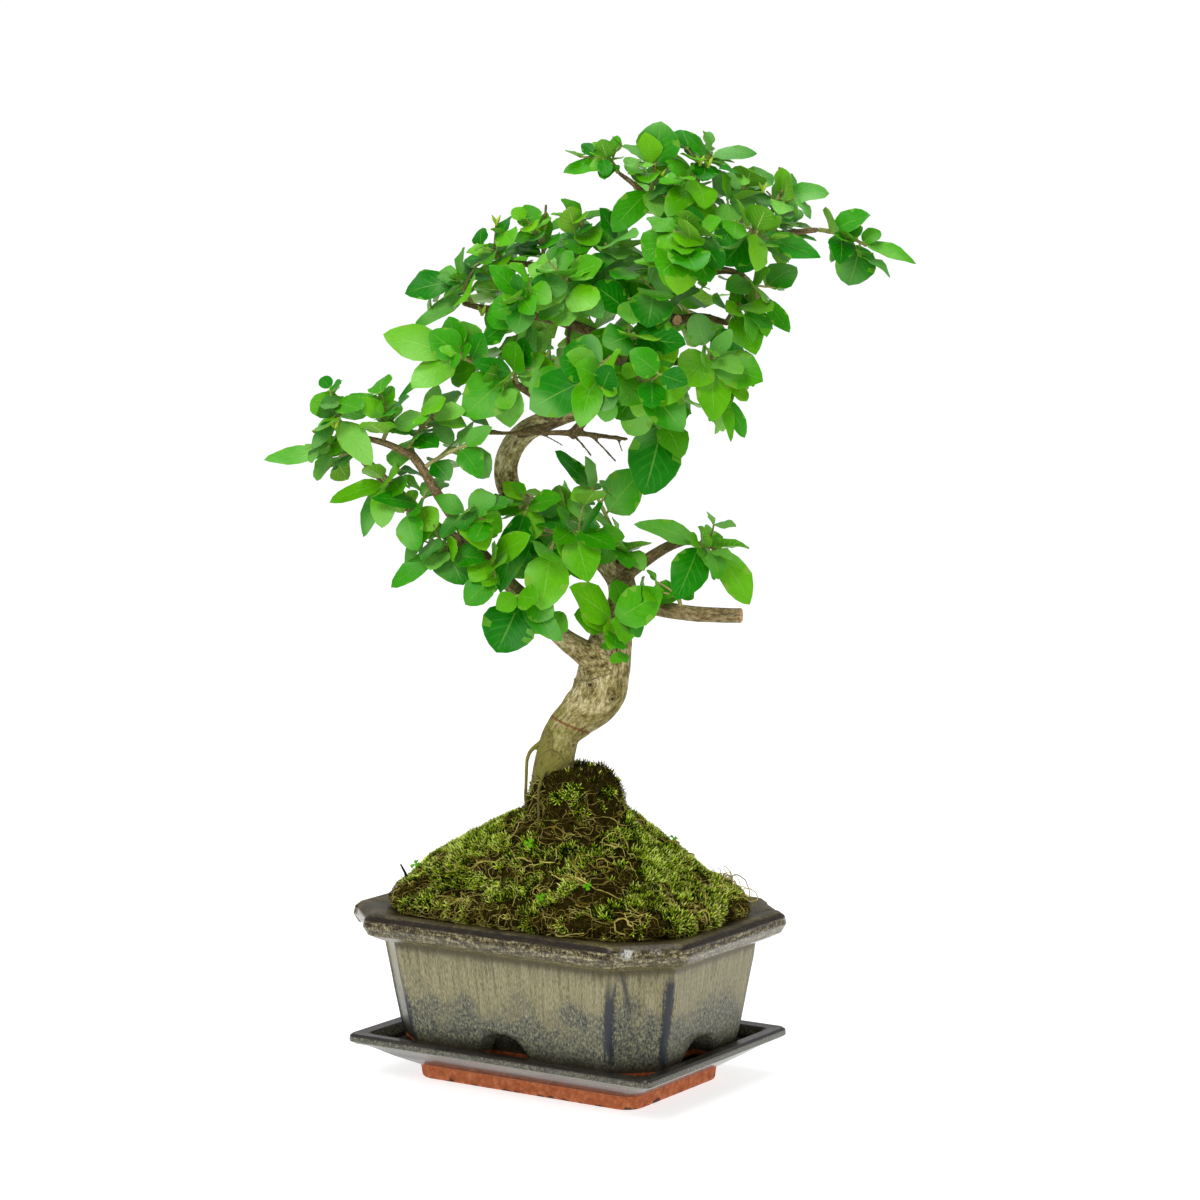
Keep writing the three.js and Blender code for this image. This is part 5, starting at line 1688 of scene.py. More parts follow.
# Leafy shoots: name, foot on the wood, tip of the twig, pairs of leaves, leaf length, own leaves.
# An own leaf is [share along the twig, across, toward, up, half width], with its tip's place.
SHOOTS = [
    ["crest_left", [26, 3, 455], [21, 5, 461], 1, 15, [[0.9, -2, 7, 454, 6.5]]],
    ["crest", [40, 1, 442], [43, 5, 458], 2, 16, [
        [1, 46, 6, 480, 10], [0.6, 55, 18, 450, 4.5], [0, 22, 18, 427, 7.5], [0, 44, 19, 433, 5.5],
    ]],
    ["crest_right", [60, 0, 440], [70, 4, 463], 2, 17, [
        [0.95, 56, 7, 475, 5.5], [1, 93, 4, 465, 4.5], [0.8, 66, 21, 451, 7], [0.4, 47, 10, 459, 5.5],
        [0.9, 81, 8, 449, 4],
    ]],
    ["top_front", [61, 0, 434], [62, 18, 452], 2, 21, [
        [1, 85, 22, 441, 5.5], [0.3, 68, 23, 422, 8], [0.6, 49, 27, 434, 6.5], [0, 42, 14, 415, 8],
    ]],
    ["top_back", [52, -32, 430], [48, -42, 450], 3, 21, []],
    ["top_mid_right", [74, -2, 421], [88, 2, 448], 3, 20, [[1, 84, 18, 434, 6], [0.5, 69, 16, 436, 6.5]]],
    ["right_stub", [98, -2, 424], [105, -1, 445], 2, 19, [[0.8, 124, 2, 446, 6], [0.4, 109, 14, 433, 6.5]]],
    ["arm_end", [124, -1, 427], [146, 3, 420], 2, 20, [
        [1, 172, 4, 411, 5.5], [0.95, 139, 8, 400, 9.5], [0.1, 149, 8, 434, 8.5], [0.4, 133, 18, 410, 6.5],
    ]],
    ["arm_front", [88, -2, 423], [92, 24, 426], 2, 21, [
        [0.3, 124, 15, 412, 6.5], [0.5, 76, 27, 410, 9.5], [0.2, 109, 8, 411, 4.5],
    ]],
    ["arm_back", [98, -28, 424], [108, -38, 430], 3, 22, []],
    ["right_mid_tip", [86, 5, 404], [97, 6, 393], 2, 19, [
        [1, 109, 8, 376, 5.5], [0.8, 108, -2, 386, 6], [0.1, 99, 14, 408, 4], [0, 77, 18, 397, 6],
    ]],
    ["right_low_tip", [78, 6, 382], [84, 12, 390], 2, 20, [[0.4, 92, 17, 365, 9.5], [0.9, 90, 21, 405, 8.5]]],
    ["right_bottom", [64, 11, 361], [71, 16, 364], 2, 22, [
        [0.6, 96, 22, 352, 10], [0.9, 71, 26, 333, 8.5], [0.8, 85, 32, 358, 7], [1, 80, 18, 377, 4.5],
    ]],
    ["right_hanging", [68, 12, 360], [78, 10, 344], 2, 18, [[1, 88, 10, 325, 4], [0.8, 80, 18, 325, 3.2]]],
    ["bottom_big", [44, 6, 360], [47, 17, 332], 2, 20, [[1, 38, 26, 298, 12.5], [0.8, 62, 14, 308, 6.5]]],
    ["low_front_right", [26, 34, 362], [38, 46, 352], 2, 21, [
        [1, 56, 52, 330, 9.5], [0.9, 36, 54, 329, 8], [0.5, 12, 52, 344, 6.5],
    ]],
    ["low_front_left", [22, 50, 366], [12, 56, 356], 2, 22, [
        [1, -18, 54, 341, 10.5], [0.9, 6, 62, 331, 7], [0.5, 0, 62, 366, 6.5],
    ]],
    ["low_left", [-24, 21, 351], [-26, 30, 357], 2, 22, [
        [1, -50, 34, 337, 11], [0.9, -46, 34, 363, 4.5], [0.8, -10, 38, 366, 5.5],
    ]],
    ["left_edge", [-38, 26, 358], [-56, 24, 366], 2, 22, [
        [1, -90, 24, 376, 8.5], [0.9, -74, 32, 351, 9], [0.95, -84, 19, 345, 2.6], [0.4, -40, 32, 377, 6],
    ]],
    ["left_arm", [-46, 7, 390], [-54, 8, 402], 2, 19, [
        [1, -80, 10, 396, 7.5], [0.5, -62, 18, 393, 4.5], [0.1, -75, 12, 378, 5.5],
    ]],
    ["left_crest_outer", [-30, 4, 411], [-36, 8, 416], 3, 18, [[0.5, -25, 20, 424, 6]]],
    ["left_crest_middle", [-12, 2, 409], [-12, 4, 425], 3, 18, [[0.6, -6, 20, 421, 6.5]]],
    ["left_crest_inner", [8, -2, 405], [7, 4, 432], 3, 18, [[0.8, 14, 18, 420, 7]]],
    ["crown_left_front", [20, -3, 401], [19, 14, 419], 3, 21, [
        [1, 38, 22, 429, 9.5], [0.3, 4, 24, 395, 9], [0.9, -8, 20, 424, 6],
    ]],
    ["front_left_outer", [-12, 38, 386], [-22, 46, 394], 3, 22, [
        [0.8, -28, 50, 381, 7], [0.9, -37, 46, 410, 5.5],
    ]],
    ["front_left_inner", [-6, 22, 384], [0, 36, 404], 3, 22, [
        [1, -18, 44, 389, 8], [0.9, 17, 46, 385, 7], [0.1, -27, 46, 374, 7.5],
    ]],
    ["front_centre", [64, 24, 418], [62, 38, 424], 3, 22, [[1, 75, 44, 403, 7]]],
    ["front_centre_low", [66, 36, 421], [56, 48, 414], 2, 23, [[0.5, 42, 51, 404, 9.5]]],
    ["front_stub_shoot", [49, 12, 384], [42, 28, 398], 3, 23, [[1, 39, 42, 380, 10], [0.9, 22, 38, 400, 8]]],
    ["front_middle", [26, 18, 356], [32, 36, 376], 2, 23, [
        [1, 17, 46, 371, 8.5], [0.9, 58, 46, 371, 8], [0.6, 45, 46, 357, 6.5], [0.4, 4, 40, 372, 5],
    ]],
    ["back_low_right", [10, -30, 358], [16, -46, 372], 3, 22, []],
    ["back_low_left", [2, -48, 363], [-10, -56, 354], 3, 22, []],
    ["back_middle_left", [46, -36, 391], [34, -50, 402], 3, 22, []],
    ["back_middle_right", [52, -50, 394], [64, -58, 382], 3, 22, []],
    ["back_left_end", [-20, -26, 393], [-34, -34, 402], 3, 21, []],
    ["back_left_low", [-10, -10, 388], [-26, -22, 374], 3, 21, []],
    ["far_left_tip", [-100, 8, 313], [-116, 10, 318], 2, 17, [
        [1, -150, 12, 313, 5.5], [0.9, -142, 15, 306, 5],
    ]],
    ["high_left_tip", [-106, 26, 328], [-114, 27, 336], 2, 18, [
        [0.9, -118, 30, 346, 7.5], [1, -91, 24, 345, 7], [0.5, -98, 36, 316, 6.5],
        [0.8, -124, 32, 320, 4.5],
    ]],
    ["high_left_middle", [-90, 28, 323], [-86, 30, 333], 2, 19, [[0.9, -67, 34, 335, 6.5]]],
    ["fork_top", [-78, 28, 320], [-66, 30, 336], 2, 19, [[1, -51, 32, 342, 5]]],
    ["fork_right", [-71, 30, 311], [-50, 34, 322], 2, 18, [[1, -36, 36, 331, 5], [0.9, -44, 40, 309, 6]]],
    ["fork_low", [-54, 27, 284], [-49, 34, 290], 2, 18, [
        [1, -35, 38, 298, 7], [0.8, -65, 34, 297, 5], [0.5, -64, 34, 280, 4.5], [0.9, -42, 42, 270, 7.5],
    ]],
    ["trunk_left", [-20, -6, 289], [-20, 12, 290], 2, 19, [
        [1, -36, 25, 256, 7.5], [0.9, -3, 20, 295, 6.5], [0.8, -7, 27, 275, 6],
    ]],
    ["lower_left_end", [-90, 10, 304], [-89, 20, 303], 2, 18, [
        [1, -117, 22, 293, 5.5], [0.6, -102, 14, 276, 5.5], [0.8, -90, 28, 285, 6],
    ]],
    ["lower_left_outer", [-74, 13, 288], [-72, 23, 292], 2, 19, [
        [0.5, -74, 30, 272, 8], [0.9, -95, 24, 297, 5],
    ]],
    ["lower_left_low", [-58, 16, 277], [-61, 22, 271], 2, 18, [
        [1, -87, 24, 252, 5], [0.8, -51, 33, 254, 9.5], [0.5, -64, 20, 247, 5.5], [0.9, -74, 18, 262, 6],
    ]],
    ["lower_middle", [-37, 18, 262], [-37, 30, 266], 2, 20, [
        [0.9, -45, 38, 243, 9.5], [0.8, -20, 36, 274, 7],
    ]],
    ["lower_hanging", [-26, 17, 250], [-23, 26, 244], 2, 18, [
        [1, -35, 32, 220, 12.5], [0.8, -4, 32, 225, 5.5],
    ]],
    ["lower_centre", [0, -8, 276], [-8, 26, 270], 2, 21, [[1, -13, 37, 242, 10.5], [0.8, -31, 36, 266, 7]]],
    ["trunk_bend", [14, -8, 267], [2, 20, 280], 2, 20, [
        [1, 10, 30, 254, 9], [0.9, 24, 28, 271, 7], [0.7, 17, 22, 290, 4.5],
    ]],
    ["trunk_front", [24, 0, 232], [22, 20, 234], 2, 17, [
        [0.8, 3, 30, 231, 7.5], [1, 48, 29, 251, 9.5], [0.9, 38, 33, 223, 6.5], [0.6, 2, 30, 251, 9.5],
        [0.5, 20, 36, 243, 5.5],
    ]],
    ["thin_upright", [28, -4, 258], [12, 10, 300], 2, 17, [
        [1, -7, 14, 318, 6], [0.6, 37, 16, 309, 11], [0.1, 38, 12, 260, 6.5],
    ]],
    ["right_lower_tip", [57, 5, 273], [72, 12, 270], 2, 20, [
        [0.3, 80, 10, 277, 5.5], [1, 91, 14, 243, 8.5], [0.2, 54, 20, 244, 9], [0.8, 67, 24, 250, 8],
        [0.4, 34, 14, 283, 6.5],
    ]],
    ["stub_shoot", [58, 17, 239], [54, 20, 249], 2, 16, [[0.3, 51, 22, 222, 7.5], [0.6, 74, 24, 240, 5]]],
    ["lower_back_shoot", [8, -38, 268], [-4, -46, 280], 3, 22, []],
]


@dataclass(frozen=True)
class Growth:
    """The rule by which leaves grow, and its numbers.

    Attributes:
        stalk_radius: of a leaf's stalk.
        stalk_share: the part of a leaf's length that is stalk.
        clearance: how near a surface counts as touching.
        tries: how often a leaf is drawn before it is left out.
        twig_radius: of a twig.
        twig_end: where on a twig its last leaves stand.
        base_sink: how deep a leaf's stalk starts in its twig.
        centres: the middles of the crown and of the lower tier, from which leaves turn outwards.
        rows: where a leaf is tested along its length.
        sides: and across it.
    """

    stalk_radius: float = 0.8
    stalk_share: float = 0.1
    clearance: float = 1.7
    tries: int = 8
    twig_radius: float = 1.0
    twig_end: float = 0.97
    base_sink: float = 0.3
    centres: tuple[Row, ...] = ((30, 0, 380), (-20, 0, 262))
    rows: Row = (0.35, 0.55, 0.75, 0.9)
    sides: Row = (-1, -0.5, 0, 0.5, 1)


RULE = Growth()


@dataclass(frozen=True)
class Filling:
    """The small leaves that the solids leave out: sprigs on the twigs, inside the foliage's own mass.

    Attributes:
        sprigs: how many side twigs a shoot gets.
        run: a sprig's least length, and how much longer it may be.
        pairs: the shares along a sprig at which its leaf pairs stand.
        between: how many more leaves stand on the twig itself.
        size: the leaves' least length as a share of the shoot's, and how much more it may be.
        clearance: how near they come to the others.
        reach: how far their tips may stand off the solids' leaves.
    """

    sprigs: int = 3
    run: tuple[float, float] = (8.0, 9.0)
    pairs: Row = (0.5, 1.0)
    between: int = 4
    size: tuple[float, float] = (0.66, 0.36)
    clearance: float = 0.7
    reach: float = 10.0


FILLING = Filling()


class Leaf:
    """A leaf's place, direction and size."""

    def __init__(
        self, base: Point, forward: Point, facing: Point, length: float, half_width: float, fold: float,
        curl: float,
    ) -> None:
        """Sets the leaf, with its face square to its length.

        Args:
            base: where its stalk starts on the twig.
            forward: along the leaf.
            facing: roughly where its upper face looks.
            length: from the twig to the tip.
            half_width: at its widest.
            fold: how much its halves rise from the midrib.
            curl: how much its tip bends down.
        """
        self.base = base + forward * -RULE.base_sink
        self.forward = forward
        self.normal = unit(facing + forward * -dot(facing, forward))
        self.side = np.cross(self.normal, forward)
        self.length = length + RULE.base_sink
        self.half_width, self.fold, self.curl = half_width, fold, curl
        rows = np.repeat(np.array(RULE.rows), len(RULE.sides))
        sides = np.tile(np.array(RULE.sides, float), len(RULE.rows))
        self.samples = self.points(np.append(rows, 1.0), np.append(sides, 0.0))
        self.middle = self.points(np.array([0.5]), np.array([0.0]))[0]

    def width_at(self, share: np.ndarray) -> np.ndarray:
        """Half the width at shares of the length.

        Args:
            share: shares of the length.

        Returns:
            Half the width at each.
        """
        green = np.clip((share - RULE.stalk_share) / (1 - RULE.stalk_share), 0.0, 1.0)
        swell = np.maximum(0.0, np.sin(pi * green ** 0.9)) ** 0.8
        return RULE.stalk_radius + (self.half_width - RULE.stalk_radius) * swell

    def points(self, share: np.ndarray, across: np.ndarray) -> np.ndarray:
        """Places on the blade.

        Args:
            share: shares of the length.
            across: from -1 at one edge to 1 at the other.

        Returns:
            A row of three for each.
        """
        width = self.width_at(share)
        height = self.fold * width * np.abs(across) - self.curl * self.length * share * share
        return (
            self.base + self.forward * (self.length * share)[:, None]
            + self.side * (width * across)[:, None] + self.normal * height[:, None]
        )

    def holds(self, points: np.ndarray, clearance: float) -> bool:
        """Whether the leaf comes closer to any of the points than the clearance.

        Args:
            points: places, as rows of three.
            clearance: how near counts as touching.

        Returns:
            Whether it does.
        """
        offset = points - self.base
        share = dot(offset, self.forward) / self.length
        across = np.abs(dot(offset, self.side))
        surface = self.fold * across - self.curl * self.length * share * share
        near = (share >= 0.06) & (share <= 1.1)
        near &= across <= self.width_at(np.minimum(share, 0.96)) + 1.2
        return bool(np.any(near & (np.abs(dot(offset, self.normal) - surface) < clearance)))


class Rods:
    """Straight lengths of wood and twigs, which leaves keep clear of."""

    def __init__(self) -> None:
        """Starts with none."""
        self.rows: list[tuple[np.ndarray, np.ndarray, float]] = []

    def add(self, places: Sequence[Point], radii: Sequence[float] | float) -> None:
        """Adds the lengths between places in a row, each with the radius at its end.

        Args:
            places: the places.
            radii: one radius for all, or one for each place.
        """
        if isinstance(radii, float):
            radii = [radii] * len(places)
        self.rows += zip(places[:-1], places[1:], radii[1:])

    def freeze(self) -> None:
        """Turns the list into arrays."""
        self.start = np.array([row[0] for row in self.rows])
        end = np.array([row[1] for row in self.rows])
        self.along = end - self.start
        self.radius = np.array([row[2] for row in self.rows])
        self.run = norm(self.along)
        self.bare = np.nonzero(self.radius > RULE.twig_radius)[0]
        self.marks = np.stack([self.start + self.along * share for share in (0.05, 0.5, 0.95)], axis=1)

    def near(self, points: np.ndarray, clearance: float, chosen: np.ndarray | None = None) -> bool:
        """Whether any of the points lies closer to a length than the clearance.

        Args:
            points: places, as rows of three.
            clearance: how near counts as touching.
            chosen: the numbers of the lengths to test, or all.

        Returns:
            Whether one does.
        """
        pick = slice(None) if chosen is None else chosen
        start, along, radius = self.start[pick], self.along[pick], self.radius[pick]
        offset = points[None] - start[:, None]
        share = np.clip(dot(offset, along[:, None]) / dot(along, along)[:, None], 0.0, 1.0)
        gap = norm(offset - along[:, None] * share[..., None])
        return bool(np.any(gap < radius[:, None] + clearance))

    def meets(self, leaf: Leaf, clearance: float) -> bool:
        """Whether a leaf comes close to any length.

        Args:
            leaf: the leaf.
            clearance: how near counts as touching.

        Returns:
            Whether it does.
        """
        chosen = np.nonzero(norm(self.start - leaf.middle) <= leaf.length + self.run + 8)[0]
        if not len(chosen):
            return False
        marks = self.marks[chosen].reshape(-1, 3)
        return self.near(leaf.samples, 1.0, chosen) or leaf.holds(marks, clearance)


class Canopy:
    """The leaves grown so far, which the next one keeps clear of."""

    def __init__(self, rods: Rods) -> None:
        """Starts with no leaves, over the wood and twigs.

        Args:
            rods: the wood and twigs.
        """
        self.rods = rods
        self.leaves: list[Leaf] = []
        self.middles = np.empty((0, 3))
        self.lengths = np.empty(0)

    def add(self, leaf: Leaf) -> None:
        """Keeps a leaf.

        Args:
            leaf: the leaf.
        """
        self.leaves.append(leaf)
        self.middles = np.vstack([self.middles, leaf.middle])
        self.lengths = np.append(self.lengths, leaf.length)

    def is_clear(self, leaf: Leaf, clearance: float) -> bool:
        """Whether a leaf keeps clear of the leaves and wood so far.

        Args:
            leaf: the leaf.
            clearance: how near counts as touching.

        Returns:
            Whether it does.
        """
        reach = 0.55 * (leaf.length + self.lengths) + 8
        for index in np.nonzero(norm(self.middles - leaf.middle) <= reach)[0]:
            other = self.leaves[index]
            if other.holds(leaf.samples, clearance) or leaf.holds(other.samples, clearance):
                return False
        return not self.rods.meets(leaf, clearance)


class Limb:
    """A trunk, branch or root along a smooth path."""

    def __init__(self, rows: Sequence[Row]) -> None:
        """Takes rows of [across, toward, up, radius]."""
        self.path = Path(place(*row[:3]) for row in rows)
        self.radii = [float(row[3]) for row in rows]

    def radius_at(self, share: float) -> float:
        """The radius at a share of the way.

        Args:
            share: from 0 at the start to 1 at the end.

        Returns:
            The radius, in millimetres.
        """
        spot = share * (len(self.radii) - 1)
        before = min(floor(spot), len(self.radii) - 2)
        weight = spot - before
        return (1 - weight) * self.radii[before] + weight * self.radii[before + 1]

    def spine(self, count: int) -> list[tuple[np.ndarray, float]]:
        """Centres and radii along the limb."""
        return [(self.path.at(i / count), self.radius_at(i / count)) for i in range(count + 1)]


class Twig:
    """The twig of a shoot: it starts inside the wood and bows a little upwards."""

    def __init__(self, foot: Point, tip: Point, spines: Sequence[tuple[Point, float]], wood: Rods) -> None:
        """Finds its start, and where it is clear of the wood.

        Args:
            foot: the place on the wood that it grows from.
            tip: the twig's tip.
            spines: centres and radii along the limbs.
            wood: the limbs.
        """
        start = min((centre for centre, _ in spines), key=lambda centre: norm(centre - foot))
        middle = (start + tip) * 0.5
        middle[2] += 0.1 * norm(start - tip)
        self.path = Bow([start, middle, tip])
        self.free = RULE.twig_end
        while self.free > 0.05 and not wood.near(self.path.at(self.free - 0.05)[None], 2):
            self.free -= 0.05

    def node_share(self, share: float) -> float:
        """A leaf's place along the twig, counted from where the twig is clear of the wood."""
        return self.free + (RULE.twig_end - self.free) * share


@dataclass
class Shoot:
    """A leafy shoot: its twig, what is drawn on it, and the leaves that it has grown."""

    name: str
    twig: Twig
    pairs: int
    leaf_length: float
    own: Sequence[Row]
    draw: Callable[[], float]
    leaves: list[Leaf] = field(default_factory=list)
    ages: list[float] = field(default_factory=list)
    sprigs: list[Bow] = field(default_factory=list)

    def drawn_leaf(self, base: Point, forward: Point, facing: Point, length: float) -> Leaf:
        """A leaf whose width, fold and curl are drawn.

        Args:
            base: where its stalk starts.
            forward: along the leaf.
            facing: roughly where its face looks.
            length: the leaf's length.

        Returns:
            The leaf.
        """
        draw = self.draw
        half_width = length * (0.36 + 0.1 * draw())
        return Leaf(base, forward, facing, length, half_width, 0.06 + 0.14 * draw(), 0.04 + 0.2 * draw())


@dataclass
class Tree:
    """The wood and the foliage.

    Attributes:
        voxel: the grain in which the limbs are melted into one body.
        trunk_girth: from this radius on the bark is at its roughest.
        bark_depth: how deep the bark's ridges are on the trunk.
        hollow_reach: how far a knot's hollow reaches, as a share of the knot's size.
        hollow_depth: how deep it is.
        blade_thickness: of a leaf.
        fullness: how much wider a leaf is than its solid.
        twig_sides: how many sides a twig has.
    """

    voxel: float = 0.8
    trunk_girth: float = 11.0
    bark_depth: float = 0.55
    hollow_reach: float = 0.45
    hollow_depth: float = 1.3
    blade_thickness: float = 0.5
    fullness: float = 1.1
    twig_sides: int = 7

    def __post_init__(self) -> None:
        """Lays out the limbs."""
        self.limbs = {name: Limb(rows) for name, rows in LIMBS.items()}

    # Wood

    def paths(self) -> Strands:
        """The limbs' paths, with softened ends.

        Returns:
            The paths.
        """
        strands = Strands()
        for name, limb in self.limbs.items():
            run = sum(norm(b - a) for a, b in zip(limb.path.points, limb.path.points[1:]))
            count = max(8, int(run / 1.6))
            shares = [i / count for i in range(count + 1)]
            girth = [limb.radius_at(share) for share in shares]
            if not name.endswith("_stub"):
                girth[-1] *= 0.8
            strands.add([to_frame(limb.path.at(share)) for share in shares], girth)
        for start, end, radius in STUBS:
            a, b = turned(start), turned(end)
            strands.add([a, a * 0.5 + b * 0.5 + (0.0, 0.0, 0.4), b], [radius * 1.15, radius, radius * 0.95])
        return strands

    def knots(self) -> tuple[np.ndarray, list[tuple[int, ...]]]:
        """The knots: flattened balls that are melted into the trunk.

        Returns:
            Their points and faces.
        """
        points, faces = [], []
        rings, columns = 9, 14
        for at, size in KNOTS:
            centre = turned(at)
            rows = []
            for ring in range(rings):
                lift = -pi / 2 + (ring + 0.5) * pi / rings
                rows.append([
                    centre + size * np.array([cos(lift) * cos(t), cos(lift) * sin(t), sin(lift)])
                    for t in np.arange(columns) * 2 * pi / columns
                ])
            first = len(points)
            points += sum(rows, []) + [centre - UP * size, centre + UP * size]
            faces += [tuple(first + i for i in face) for face in skin(rings, columns)]
        return np.array(points), faces

    def wood(self, grower: Grower, finish: Material) -> Object:
        """Makes the trunk and branches as one barked body.

        Args:
            grower: the tree that makes tubes of paths.
            finish: the piece's material.

        Returns:
            The piece.
        """
        tubes = self.paths().build("wood_tubes", grower, 14, finish)
        points, faces = self.knots()
        own = points_of(tubes.data)
        shift = len(own)
        whole = [tuple(face.vertices) for face in tubes.data.polygons]
        whole += [tuple(i + shift for i in face) for face in faces]
        mesh = make_mesh("trunk_and_limbs", np.vstack([own, points]), whole)
        bpy.data.objects.remove(tubes)
        piece = make_object("trunk_and_limbs", mesh)
        melt = piece.modifiers.new("melt", "REMESH")
        melt.mode, melt.voxel_size, melt.use_smooth_shade = "VOXEL", self.voxel * METRES, True
        ease = piece.modifiers.new("ease", "SMOOTH")
        ease.factor, ease.iterations = 0.5, 3
        settle(piece)
        self.add_bark(piece.data)
        return add_piece(piece, Slot.BARK, finish, ["trunk_and_branches"])

    def add_bark(self, mesh: Mesh) -> None:
        """Raises the bark and stores where each point lies on its limb.

        Args:
            mesh: the mesh.
        """
        spine = []
        for name, limb in self.limbs.items():
            count = max(12, int(len(limb.radii) * 14))
            side, along, before = np.array([0.3, 1.0, 0.2]), 0.0, None
            for i in range(count + 1):
                centre, heading = limb.path.at(i / count), limb.path.heading(i / count)
                side = unit(side - heading * dot(side, heading))
                along += 0.0 if before is None else norm(centre - before)
                before = centre
                spine.append((to_frame(centre), to_frame(side), to_frame(np.cross(heading, side)),
                              to_frame(heading), along, limb.radius_at(i / count),
                              float(name.endswith("_stub") and i == count)))
        centres, sides, others, headings = (np.array([row[i] for row in spine]) for i in range(4))
        runs, radii, ends = (np.array([row[i] for row in spine]) for i in (4, 5, 6))
        finder = finder_over(centres)
        points, normals = points_of(mesh), normals_of(mesh)
        nearest = np.array([finder.find(Vector(point))[1] for point in points])
        offset, radius = points - centres[nearest], radii[nearest]
        ahead = dot(offset, headings[nearest])
        along = runs[nearest] + ahead
        spot = np.stack([dot(offset, sides[nearest]), dot(offset, others[nearest]), along], axis=1)
        cut = ends[nearest] * (ahead > -0.6)
        lift = np.empty(len(points))
        for i, (x, y, z) in enumerate(spot):
            ridge = noise.noise(Vector((x / 2.2, y / 2.2, z / 7.0)))
            lump = noise.noise(Vector((x / 6.0, y / 6.0, z / 9.0 + 5.0)))
            lift[i] = ridge * 0.5 + lump * 0.9
        thick = np.clip(radius / self.trunk_girth, 0.1, 1.0) * (1 - cut)
        knot = np.full(len(points), 9.0)
        for at, size in KNOTS:
            ball = turned(at)
            inner = centres[np.argmin(norm(centres - ball))]
            knot = np.minimum(knot, norm(points - (ball + unit(ball - inner) * size * 0.85)) / size)
        hollow = np.clip(1.0 - knot / self.hollow_reach, 0.0, 1.0) * self.hollow_depth
        lift = lift * thick * self.bark_depth - hollow
        move_points(mesh, points + normals * lift[:, None])
        write_attributes(mesh, knot=knot, bark_spot=spot, girth=radius, cut=cut)

    # Foliage

    @staticmethod
    def outward_at(point: np.ndarray) -> np.ndarray:
        """The direction out of the nearer of the two masses of leaves."""
        near = min((place(*centre) for centre in RULE.centres), key=lambda centre: norm(centre - point))
        return unit(point - near)

    def hand_leaf(self, shoot: Shoot, given: Row, attempt: int) -> Leaf:
        """A leaf whose tip lies at or near a given place, its face turned to the light and the front.

        Args:
            shoot: the shoot that it grows on.
            given: the share along the twig, across, toward, up and half width.
            attempt: how often it has been drawn before.

        Returns:
            The leaf.
        """
        share, across, toward, up, half_width = given
        base = shoot.twig.path.at(shoot.twig.node_share(share))
        tip, shift, draw = place(across, toward, up), attempt * 1.6, shoot.draw
        tip[0] += (draw() - 0.5) * shift
        tip[1] -= (draw() + 0.2) * shift
        tip[2] += (draw() - 0.5) * shift
        chord = tip - base
        curl = 0.1 + 0.1 * draw()
        facing = self.outward_at(base) * 0.35 + np.array([0.1, -0.85, 0.62])
        facing = unit(facing + chord * (-dot(facing, chord) / dot(chord, chord)))
        length = norm(chord) / sqrt(1 + curl * curl)
        forward = unit(chord + facing * (curl * length))
        return Leaf(base, forward, facing, length, half_width, 0.06 + 0.12 * draw(), curl)

    def rule_leaf(self, shoot: Shoot, pair: int, sign: int, attempt: int) -> Leaf:
        """A leaf of a pair along the twig. Each pair is turned a quarter from the last, facing the light.

        Args:
            shoot: the shoot that it grows on.
            pair: the pair's number.
            sign: which of the pair it is, 1 or -1.
            attempt: how often it has been drawn before.

        Returns:
            The leaf.
        """
        twig, pairs, draw = shoot.twig, shoot.pairs, shoot.draw
        share = twig.node_share(0.1 + (0.9 * pair) / (pairs - 1) if pairs > 1 else 1)
        base, axis = twig.path.at(share), twig.path.heading(share)
        turn = pair * (pi / 2) + (draw() - 0.5) * (0.8 + 0.5 * attempt) + (pi if sign < 0 else 0)
        last = pair == pairs - 1
        spread = (0.75 if last else 1.05) + (draw() - 0.5) * (0.5 + 0.1 * attempt)
        forward = off_axis(axis, turn, spread)
        forward[2] -= 0.25 * draw()
        forward = unit(forward)
        facing = self.outward_at(base) * 0.8
        facing[0] += (draw() - 0.5) * 0.5
        facing[1] += (draw() - 0.5) * 0.5 - 0.3
        facing[2] += 0.55
        grown = (0.82 if last else 1) * (1 - 0.05 * attempt)
        length = shoot.leaf_length * grown * (0.95 + 0.35 * draw())
        return shoot.drawn_leaf(base, forward, facing, length)

    def grow(self) -> list[Shoot]:
        """Grows every shoot by the rule, so that each leaf is where its solid is.

        Returns:
            The shoots with their leaves.
        """
        spines = [row for limb in self.limbs.values() for row in limb.spine(24)]
        wood, rods = Rods(), Rods()
        for limb in self.limbs.values():
            places, radii = zip(*limb.spine(12))
            wood.add(places, radii)
            rods.add(places, radii)
        wood.freeze()
        shoots = []
        for index, (name, foot, tip, pairs, leaf_length, own) in enumerate(SHOOTS):
            twig = Twig(place(*foot), place(*tip), spines, wood)
            rods.add([twig.path.at(i / 4) for i in range(5)], RULE.twig_radius)
            shoots.append(Shoot(name, twig, pairs, leaf_length, own, number_stream(7919 * index + 17)))
        rods.freeze()
        canopy = Canopy(rods)
        for shoot in shoots:
            for given in shoot.own:
                self.set_leaf(canopy, shoot, 0.6, lambda attempt: self.hand_leaf(shoot, given, attempt))
        for shoot in shoots:
            for pair in range(shoot.pairs):
                age = 1.0 - (pair + 1) / shoot.pairs
                for sign in (1, -1):
                    self.set_leaf(
                        canopy, shoot, age, lambda attempt: self.rule_leaf(shoot, pair, sign, attempt)
                    )
        LOG.info("%d leaves on %d shoots, as in the solids", len(canopy.leaves), len(shoots))
        self.fill(canopy, shoots)
        LOG.info("%d leaves with the small ones", len(canopy.leaves))
        return shoots

